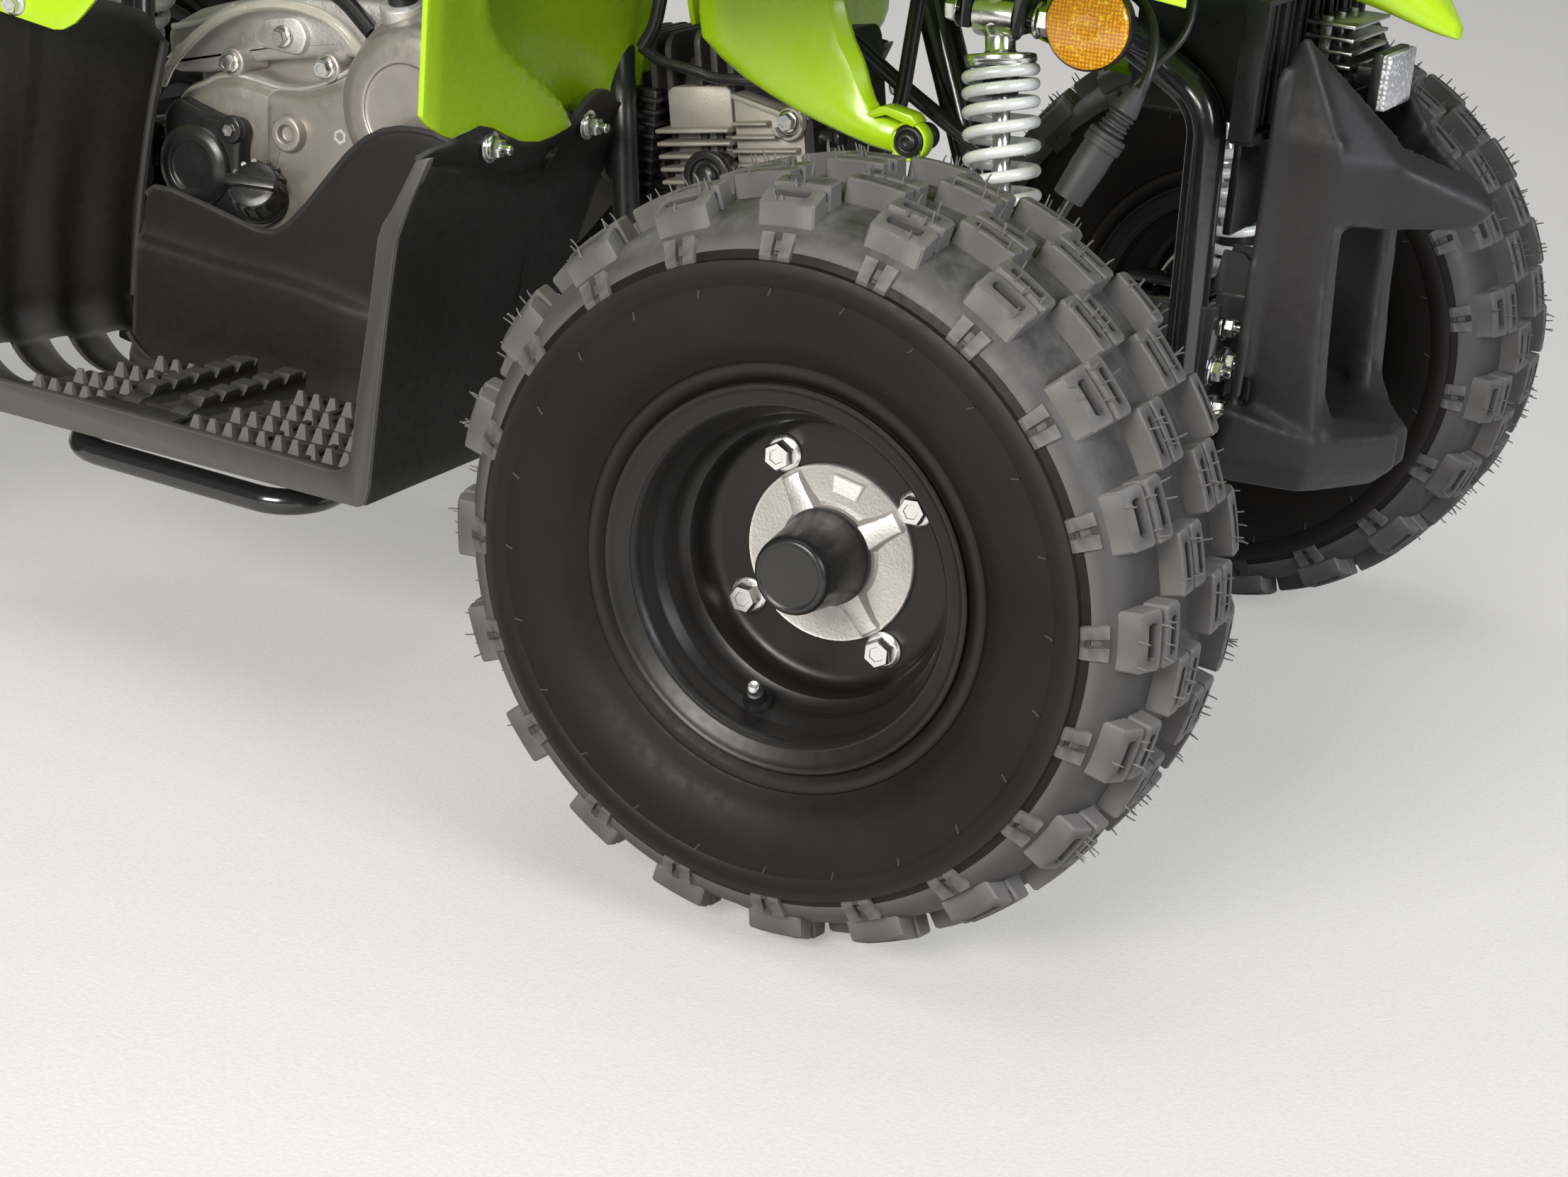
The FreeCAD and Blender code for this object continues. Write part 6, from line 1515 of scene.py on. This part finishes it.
def cable(build):
    route = [(318, -92, 506), (396, -110, 474), (474, -136, 474), (512, -158, 476), (531, -182, 444), (512, -192, 404),
             (482, -213, 330), (466, -230, 285), (457, -240, 246)]
    sweep(build, smooth_path(route, 5, 0.5), 2.9, 12)
    sweep(build, smooth_path([(519, -183, 432), (528, -178, 444), (540, -166, 462), (534, -150, 486),
                              (506, -120, 500)], 5), 2.2, 10)


def cable_boot(build):
    run = smooth_path([(523, -184, 432), (512, -191, 408), (497, -201, 372)], 1.0, 0.5)

    def girth(t):
        if t < 0.10:
            return 4.2
        if t < 0.42:
            return 6.4 + (1.3 if int(t * 46) % 2 else 0)
        return 8.8 + 1.2 * t if t < 0.96 else 8.6
    sweep(build, run, girth, 20)
    for t in (0.52, 0.60, 0.68):
        i = int(t * (len(run) - 1))
        lathe(build, rounded([(0.01, -1.4), (10.6, -1.4), (10.6, 1.4), (0.01, 1.4)], 0.5, 2), run[i],
              run[i] - run[i - 1], 20)


both("brake_cable", cable, M_CABLE, "rubber", nodes=("brake_cables",), angle=60)
both("cable_boot", cable_boot, M_BOOT, "rubber", angle=50)


# Front arm bolts, ball joints and their plates

def arm_bolts(build):
    for x, way in ((356, -1), (534, 1)):
        hex_head(build, (x + 7.2 * way, -108, 176), (way, 0, 0), across=15, height=8, washer=11, turn=0.4, stem=4.2)
    for y, z in ((-62, 286), (-74, 262), (-52, 262), (-62, 236)):
        hex_head(build, (548.5, y, z), (1, 0, 0), across=11, height=7, washer=9, turn=y * 0.1, stem=3.2)
    hex_head(build, (445, -262, 252), (0, 0, 1), across=15, height=8, washer=10, turn=0.2, stem=4)


def arm_plate(build):
    block(build, (540, -84, 226), (548.5, -44, 300), 1.2)
    block(build, (508, -86, 206), (544, -82, 300), 1.2)


both("arm_bolts", arm_bolts, M_BRIGHT, "alloy_parts")
both("arm_plate", arm_plate, M_FRAME, "black_steel", angle=35)


# Rear axle with its hubs, the perforated disc, the toothed sprocket and the chain's links

shaft = Build()
lathe(shaft, rounded([(0.01, -296), (11, -296), (14, -292), (14, -70), (17, -68), (17, -64), (14, -62), (14, 62),
                      (17, 64), (17, 68), (14, 70), (14, 292), (11, 296), (0.01, 296)], 0.7, 2), REAR_AXLE,
      (0, 1, 0), 40)
for side in (-1, 1):
    lathe(shaft, rounded([(14, 272), (25, 272), (27, 276), (27, 300), (30, 304), (66, 306), (67, 308), (67, 313),
                          (14, 313)], 1.0, 2), REAR_AXLE, (0, side, 0), 56, closed=True)
shaft.piece("rear_axle_shaft", M_STEEL_DARK, "rear_axle", "frame_steel", 40, ("rear_axle",))


def perforated_disc(build, centre, inner, outer, half):
    """A flat ring on an axle along Y, with round holes cut through its face."""
    steps, rings = 180, 9
    radii = [inner + (outer - inner) * k / rings for k in range(rings + 1)]
    open_cells = set()
    for k in range(steps):
        for j in range(1, rings - 1):
            for row, every, shift in ((5, 10, 0), (7, 10, 5)):
                if row == j and (k + shift) % every < 3:
                    open_cells.add((j, k))
    ids = {}
    verts = []
    for level in (0, 1):
        for j, r in enumerate(radii):
            for k in range(steps):
                a = 2 * math.pi * k / steps
                ids[level, j, k] = len(verts)
                verts.append((centre[0] + r * math.cos(a), centre[1] + (half if level else -half),
                              centre[2] + r * math.sin(a)))
    faces = []
    for j in range(rings):
        for k in range(steps):
            n = (k + 1) % steps
            if (j, k) in open_cells:
                continue
            for level in (0, 1):
                faces.append((ids[level, j, k], ids[level, j, n], ids[level, j + 1, n], ids[level, j + 1, k]))
            walls = (((j, k), (j, n), (j - 1, k)), ((j + 1, k), (j + 1, n), (j + 1, k)),
                     ((j, k), (j + 1, k), (j, (k - 1) % steps)), ((j, n), (j + 1, n), (j, n)))
            for a, b, other in walls:
                if other in open_cells or not 0 <= other[0] < rings:
                    faces.append((ids[0, a[0], a[1]], ids[0, b[0], b[1]], ids[1, b[0], b[1]], ids[1, a[0], a[1]]))
    build.add(verts, faces)


disc = Build()
perforated_disc(disc, (-455, -104, 200), 46, 82, 1.8)
lathe(disc, rounded([(14, 0), (28, 0), (28, 11), (50, 11.6), (50, 15.4), (14, 15.6)], 0.6, 2), (-455, -90, 200),
      OUTWARD, 56, closed=True)
disc.piece("brake_disc_steel", M_BRIGHT, "rear_axle", "alloy_parts", 35, ("brake_disc",))

teeth = Build()
count = 36
outline = []
for k in range(count):
    for share, r in ((0.0, 66.2), (0.12, 66.0), (0.30, 70.2), (0.42, 72.6), (0.58, 72.6), (0.70, 70.2), (0.88, 66.0)):
        a = 2 * math.pi * (k + share) / count
        outline.append((r * math.cos(a), r * math.sin(a)))
prism(teeth, outline, 4.4, lambda u, v, w: (-455 + u, 109.8 + w, 200 + v))
lathe(teeth, rounded([(14, 0), (28, 0), (28, 11.5), (36, 12), (36, 15), (14, 15)], 0.6, 2), (-455, 98, 200), (0, 1, 0),
      48, closed=True)
for k in range(4):
    a = math.pi / 2 * k + 0.4
    hex_head(teeth, (-455 + 30 * math.cos(a), 109, 200 + 30 * math.sin(a)), OUTWARD, across=9, height=5, turn=a)
teeth.piece("rear_sprocket_teeth", M_STEEL_DARK, "rear_axle", "spring_steel", 30, ("sprocket",))


def chain_path():
    big, small = 69.0, 22.0
    hub_c, drive_c = Vector((-455, 0, 200)), Vector((-108, 0, 268))
    span = drive_c - hub_c
    spread = math.acos((big - small) / span.length)
    ahead = math.atan2(span.z, span.x)
    pts = []
    for c, r, first, turn in ((hub_c, big, ahead + spread, 2 * math.pi - 2 * spread),
                              (drive_c, small, ahead - spread, 2 * spread)):
        for k in range(49):
            a = first + turn * k / 48
            pts.append(Vector((c.x + r * math.cos(a), 112, c.z + r * math.sin(a))))
    return pts + [pts[0]]


def evenly(path, count):
    lengths = [0]
    for a, b in zip(path, path[1:]):
        lengths.append(lengths[-1] + (b - a).length)
    out = []
    j = 0
    for k in range(count):
        s = lengths[-1] * k / count
        while lengths[j + 1] < s:
            j += 1
        t = (s - lengths[j]) / (lengths[j + 1] - lengths[j])
        out.append(path[j].lerp(path[j + 1], t))
    return out


links = Build()
rollers = evenly(chain_path(), 92)
for k, spot in enumerate(rollers):
    ahead = rollers[(k + 1) % len(rollers)]
    run = ahead - spot
    long = run.length
    run.normalize()
    up = Vector((-run.z, 0, run.x))
    lathe(links, [(0.01, -4.4), (3.4, -4.4), (3.4, 4.4), (0.01, 4.4)], spot, (0, 1, 0), 10)
    shape = []
    for end, c in ((1, long), (-1, 0)):
        for i in range(6):
            a = -math.pi / 2 + math.pi * i / 5
            shape.append((c + end * 4.2 * math.cos(a), end * 4.2 * math.sin(a)))
    for y in ((-3.6, 2.6) if k % 2 else (-4.5, 3.5)):
        prism(links, shape, 1.0, lambda u, v, w: tuple(spot + run * u + up * v + Vector((0, y + w, 0))))
lathe(links, rounded([(0.01, -2), (16.5, -2), (17, 0), (16.5, 2), (0.01, 2)], 0.4, 2), (-108, 112, 268), (0, 1, 0), 30)
lathe(links, [(0.01, -27.5), (9.8, -27.5), (9.8, 3.5), (0.01, 3.5)], (-108, 112, 268), (0, 1, 0), 28)
links.piece("drive_chain_links", M_STEEL_DARK, "chassis", "spring_steel", 35, ("chain",))


# Seat: foam under grained vinyl, let out by a cloth step, with piping and cross seams

def puffed(name, build, voxel, pressure, cap_mm, held_below, mat, body, nodes):
    """A stuffed cover: its skin is let out by pressure, held where it is tacked down below."""
    raw = linked(name + "_start", build.mesh(name + "_start"))
    modify(raw, "REMESH", mode="VOXEL", voxel_size=voxel / 1000)
    start = applied(raw)
    work = linked(name + "_work", start)
    held = work.vertex_groups.new(name="held")
    held.add([v.index for v in start.vertices if v.co.z * 1000 < held_below], 1.0, "REPLACE")
    rest = [v.co.copy() for v in start.vertices]
    cloth = work.modifiers.new("stuffing", "CLOTH").settings
    cloth.use_pressure = True
    cloth.uniform_pressure_force = pressure
    cloth.vertex_group_mass = "held"
    cloth.effector_weights.gravity = 0
    for step in range(1, 21):
        bpy.context.scene.frame_set(step)
    out = applied(work)
    bpy.context.scene.frame_set(1)
    for v, r in zip(out.vertices, rest):
        move = v.co - r
        if move.length > cap_mm / 1000:
            v.co = r + move * (cap_mm / 1000 / move.length)
    calm = linked(name + "_skin", out)
    modify(calm, "SMOOTH", factor=0.5, iterations=4)
    modify(calm, "SUBSURF", levels=1)
    return finish_piece(name, applied(calm), mat, body, 70, nodes)


foam = Build()
hull(foam, between([(48, 50, 564, 586), (20, 62, 562, 588), (-40, 70, 562, 582), (-120, 80, 562, 583),
                    (-200, 88, 562, 588), (-300, 97, 562, 598), (-400, 100, 562, 603), (-470, 99, 562, 604),
                    (-505, 92, 564, 600), (-514, 82, 568, 594)], 4), 48, 3.4)
seat = puffed("seat_cushion", foam, 6.5, 3.0, 6, 568, M_SEAT, "chassis", ("seat",))
pan = Build()
hull(pan, between([(52, 52, 560.5, 566), (-40, 71, 560.5, 566), (-200, 90, 560.5, 566), (-400, 102, 560.5, 566),
                   (-480, 100, 560.5, 566), (-516, 84, 560.5, 566)], 3), 40, 5)
pan.piece("seat_pan", M_PLASTIC_SMOOTH, "chassis", "black_plastic", 45)

tree = BVHTree.FromPolygons([v.co for v in seat.data.vertices], [tuple(p.vertices) for p in seat.data.polygons])


def on_seat(start, way):
    """Where a straight line meets the seat's skin, in millimetres."""
    hit = tree.ray_cast(Vector(start) / 1000, Vector(way), 1.0)
    return hit[0] * 1000 if hit[0] is not None else None


piping = Build()
for side in (-1, 1):
    line = [on_seat((30 - 9 * k, side * 200, 576), (0, -side, 0)) for k in range(59)]
    sweep(piping, [p for p in line if p is not None], 2.2, 8)
for x in (-10, -170, -330, -450):
    line = [on_seat((x + 10 * math.cos(y / 100 * 1.4), y, 700), (0, 0, -1)) for y in range(-96, 97, 6)]
    line = [p + Vector((0, 0, -0.6)) for p in line if p is not None]
    sweep(piping, line, 1.5, 8)
piping.piece("seat_piping", M_CABLE, "chassis", "seat_cover", 60)


# Handlebar fittings, exhaust shield, cylinder and head fixings

fit = Build()
for y in (-24, 24):
    block(fit, (146, y - 9, 772), (182, y + 9, 798), 2.5)
    for x in (153, 175):
        hex_head(fit, (x, y, 797), (-0.37, 0, 0.93), across=8, height=5, turn=y)
fit.piece("bar_clamps", M_CAST, "steering", "alloy_parts", 38)

shield = Build()
rows = []
for k in range(24):
    x = -306 - 236 * k / 23
    row = []
    for j in range(15):
        a = math.radians(-60 + 160 * j / 14)
        dip = 1.6 if k % 4 == 0 and 3 < j < 11 else 0
        y, z = 140.5 + 6 * k / 23, 440.5 + 6 * k / 23
        r = 40.2 - dip
        row.append((x, y + r * math.cos(a), z + r * math.sin(a)))
    rows.append(row)
sheet(shield, rows, 1.4)
shield.piece("exhaust_heat_shield", M_STEEL_DARK, "chassis", "black_steel", 40)

heads = Build()
for x, z in ((264, 363), (258, 324)):
    for y in (-40, 40):
        hex_head(heads, (x, y * 1.17, z), (0, math.copysign(1, y), 0), across=10, height=6, washer=8, turn=x)
for y in (-30, 30):
    for x, z in ((288, 372), (284, 330)):
        hex_head(heads, (x - 1, y, z), (1, 0, 0.1), across=10, height=6, washer=8, turn=y)
heads.piece("head_bolts", M_BRIGHT, "chassis", "alloy_parts", 35)


# Cylinder and head as they show between the wheel and the fender strut

def leaning(u, v, w):
    """A point on the barrel's right side: u along its axis, v upwards, w outwards."""
    tilt = math.radians(10)
    return (222 + u * math.cos(tilt) - v * math.sin(tilt), -w, 341 + u * math.sin(tilt) + v * math.cos(tilt))


def plate(build, u0, u1, v, w0, w1, thick=2.6):
    """A fin lying along the barrel's axis, its outer edge thinned."""
    half = thick / 2
    ring = []
    for u in (u0, u1):
        for w, h in ((w0, half), (w1 - 1.2, half * 0.8), (w1, half * 0.35)):
            ring += [(u, v - h, w), (u, v + h, w)]
    verts = [leaning(*p) for p in ring]
    faces = [(0, 2, 3, 1), (2, 4, 5, 3), (6, 7, 9, 8), (8, 9, 11, 10)]
    faces += [(0, 6, 8, 2), (2, 8, 10, 4), (1, 3, 9, 7), (3, 5, 11, 9), (4, 10, 11, 5), (0, 1, 7, 6)]
    build.add(verts, faces)


def panel_on(build, outline, w0, w1):
    """A flat cast face on the barrel's side, from depth w0 out to w1."""
    prism(build, outline, w1 - w0, lambda u, v, w: leaning(u, v, w0 + w))


BOSS = (38.5, 6.5)
barrel = Build()
panel_on(barrel, [(-47, 3), (-47, 25), (-43, 28), (-6, 28), (-3, 25), (-3, 3)], 26, 50)
for number, v in enumerate((2.0, -6.0, -14.0, -22.0, -30.0)):
    plate(barrel, -52, -1, v, 26, 61 - number, 3.6)
panel_on(barrel, [(-50, -36), (-50, 4), (-4, 4), (-4, -36)], 24, 44)
panel_on(barrel, [(0, -40), (0, 24), (40, 10), (47, 4), (47, -40)], 24, 52)
panel_on(barrel, [(0, 21), (0, 24), (40, 10), (47, 4), (47, -2), (38, 7)], 50, 55.5)
for u1, v in ((25, 5.6), (30, -2.6), (44, -11.0), (44, -19.5), (44, -28)):
    plate(barrel, 0.5, u1, v, 50, 59.5, 2.9)
for k in range(9):
    a0, a1 = (math.radians(200 + 22 * k + d) for d in (0, 22))
    corners = ((11.5, a0), (11.5, a1), (9.1, a1), (9.1, a0))
    panel_on(barrel, [(BOSS[0] + r * math.cos(a), BOSS[1] + r * math.sin(a)) for r, a in corners], 50, 58.5)
bolt_x, _, bolt_z = leaning(*BOSS, 0)
lathe(barrel, rounded([(0.01, 48), (8.6, 48), (8.6, 54.5), (7.8, 55.6), (0.01, 55.6)], 0.6, 2),
      (bolt_x, 0, bolt_z), OUTWARD, 32)
soften(barrel.piece("cylinder_side", M_CYL, "chassis", "engine_alloy", 35), 0.7)

marks = Build()
hex_head(marks, (bolt_x, -55.4, bolt_z), OUTWARD, across=10, height=6.4, washer=7.2, turn=0.4, dome=1.2)
marks.piece("head_side_bolt", M_BRIGHT, "chassis", "alloy_parts", 35)

dark = Build()
panel_on(dark, [(47.5, -42), (47.5, 6), (50, 8), (54, 6), (54, -42)], 22, 54)
for k in range(9):
    block(dark, (146, -62, 292 + 7.4 * k), (170, -40, 294.6 + 7.4 * k), 0.8)
block(dark, (148, -56, 288), (167, -44, 358), 1.5)
lathe(dark, rounded([(0.01, 60), (12.5, 60), (12.5, 74), (15.6, 75), (16.4, 79), (15.4, 81.5), (11.2, 82), (10.4, 79.6),
                     (7.6, 79.2), (6.6, 82.6), (4.0, 84), (0.01, 84.2)], 0.7, 3), (219, 0, 317), OUTWARD, 44)
for points, spacing, radius, steps in (
        ([(132, -44, 398), (146, -66, 374), (157, -79, 350), (163, -80, 300), (168, -80, 262)], 8, 8.4, 20),
        ([(158, -62, 384), (174, -66, 378), (198, -66, 377), (210, -66, 374), (228, -66, 376), (246, -64, 378),
          (262, -58, 384)], 5, 3.4, 14),
        ([(170, -60, 432), (167, -60, 414), (165, -60, 398), (158, -62, 384)], 6, 4.4, 14),
        ([(246, -30, 428), (286, -30, 403), (317, -30, 384), (350, -30, 366), (376, -30, 352)], 8, 4.8, 16),
        ([(342, -60, 500), (338, -60, 440), (336, -60, 414), (334, -61, 377), (326, -60, 350)], 8, 4.6, 16)):
    sweep(dark, smooth_path(points, spacing), radius, steps)
lathe(dark, rounded([(0.01, 0), (6.2, 0), (6.2, 4), (5.0, 5), (5.0, 13), (6.4, 14), (6.4, 18), (0.01, 18)], 0.6, 2),
      (272, -42, 345), (1, 0, 0.17), 24)
dark.piece("engine_side_fittings", M_PLASTIC_SMOOTH, "chassis", "black_plastic", 38)


# Camera, light, floor

PALE = (0.80, 0.79, 0.77)
PALE_GLOW = 0.9

scene = bpy.context.scene
scene.view_settings.view_transform = "Standard"
cam_data = bpy.data.cameras.new("camera")
cam_data.lens = 66.21
cam_data.sensor_width = 36
cam_data.clip_end = 50
camera = linked("camera", cam_data)
right = (0.8856154, 0.45642487, 0.08580034, 0)
up = (-0.22906604, 0.2685821, 0.93562407, 0)
back = (0.40399766, -0.84825703, 0.34241188, 0)
camera.matrix_world = Matrix((right, up, back, (1.0241, -1.6091, 0.6862, 1))).transposed()
scene.camera = camera

world = bpy.data.worlds.new("studio")
scene.world = world
world.use_nodes = True
wn = world.node_tree
wn.nodes.clear()
soft = node(wn, "Background", {0: (0.86, 0.88, 0.92, 1), 1: 0.17})
pale = node(wn, "Background", {0: (*PALE, 1), 1: PALE_GLOW})
rays = node(wn, "LightPath").outputs
seen = node(wn, "Math", {0: rays["Is Camera Ray"], 1: rays["Is Transmission Ray"]}, operation="MAXIMUM")
mixer = node(wn, "MixShader", {0: seen.outputs[0], 1: soft.outputs[0], 2: pale.outputs[0]})
node(wn, "OutputWorld", {0: mixer.outputs[0]})


def area(name, place, target, size, power, colour=(1, 1, 1)):
    data = bpy.data.lights.new(name, "AREA")
    data.shape = "RECTANGLE"
    data.size, data.size_y = size
    data.energy = power
    data.color = colour
    lamp = linked(name, data)
    lamp.location = place
    lamp.rotation_euler = (Vector(target) - Vector(place)).to_track_quat("-Z", "Y").to_euler()


area("key", (0.3, -2.9, 1.45), (0.2, 0, 0.3), (1.3, 0.9), 96, (1.0, 0.97, 0.92))
area("fill", (2.9, -0.9, 1.5), (0.3, 0, 0.3), (1.4, 1.0), 60, (0.91, 0.93, 1.0))
area("rear", (-2.4, 1.6, 2.6), (-0.1, 0, 0.35), (2.0, 1.4), 34, (1.0, 0.98, 0.95))
area("top", (0.2, -0.3, 3.2), (0.2, 0, 0), (2.0, 2.0), 38)

mat, nt, bsdf, vec = material("floor")
feed(nt, bsdf, {"Base Color": ramp(nt, noise(nt, vec, 420, 4, 0.7), (0.25, (0.64, 0.63, 0.61)), (0.75, PALE)),
                "Roughness": 0.92})
bump(nt, bsdf, noise(nt, vec, 420), 0.4, 0.001)
glow = node(nt, "Emission", {"Color": (*PALE, 1), "Strength": PALE_GLOW})
seen_share = product(nt, node(nt, "LightPath").outputs["Is Camera Ray"], 0.5)
blend = node(nt, "MixShader", {0: seen_share, 1: bsdf.outputs[0], 2: glow.outputs[0]})
feed(nt, next(n for n in nt.nodes if n.type == "OUTPUT_MATERIAL"), {0: blend.outputs[0]})
floor_mesh = bpy.data.meshes.new("floor")
reach = 9.0
corners = ((-1, -1), (1, -1), (1, 1), (-1, 1))
floor_mesh.from_pydata([(reach * x, reach * y, -0.0005) for x, y in corners], [], [(0, 1, 2, 3)])
floor_mesh.materials.append(mat)
floor = linked("floor", floor_mesh)
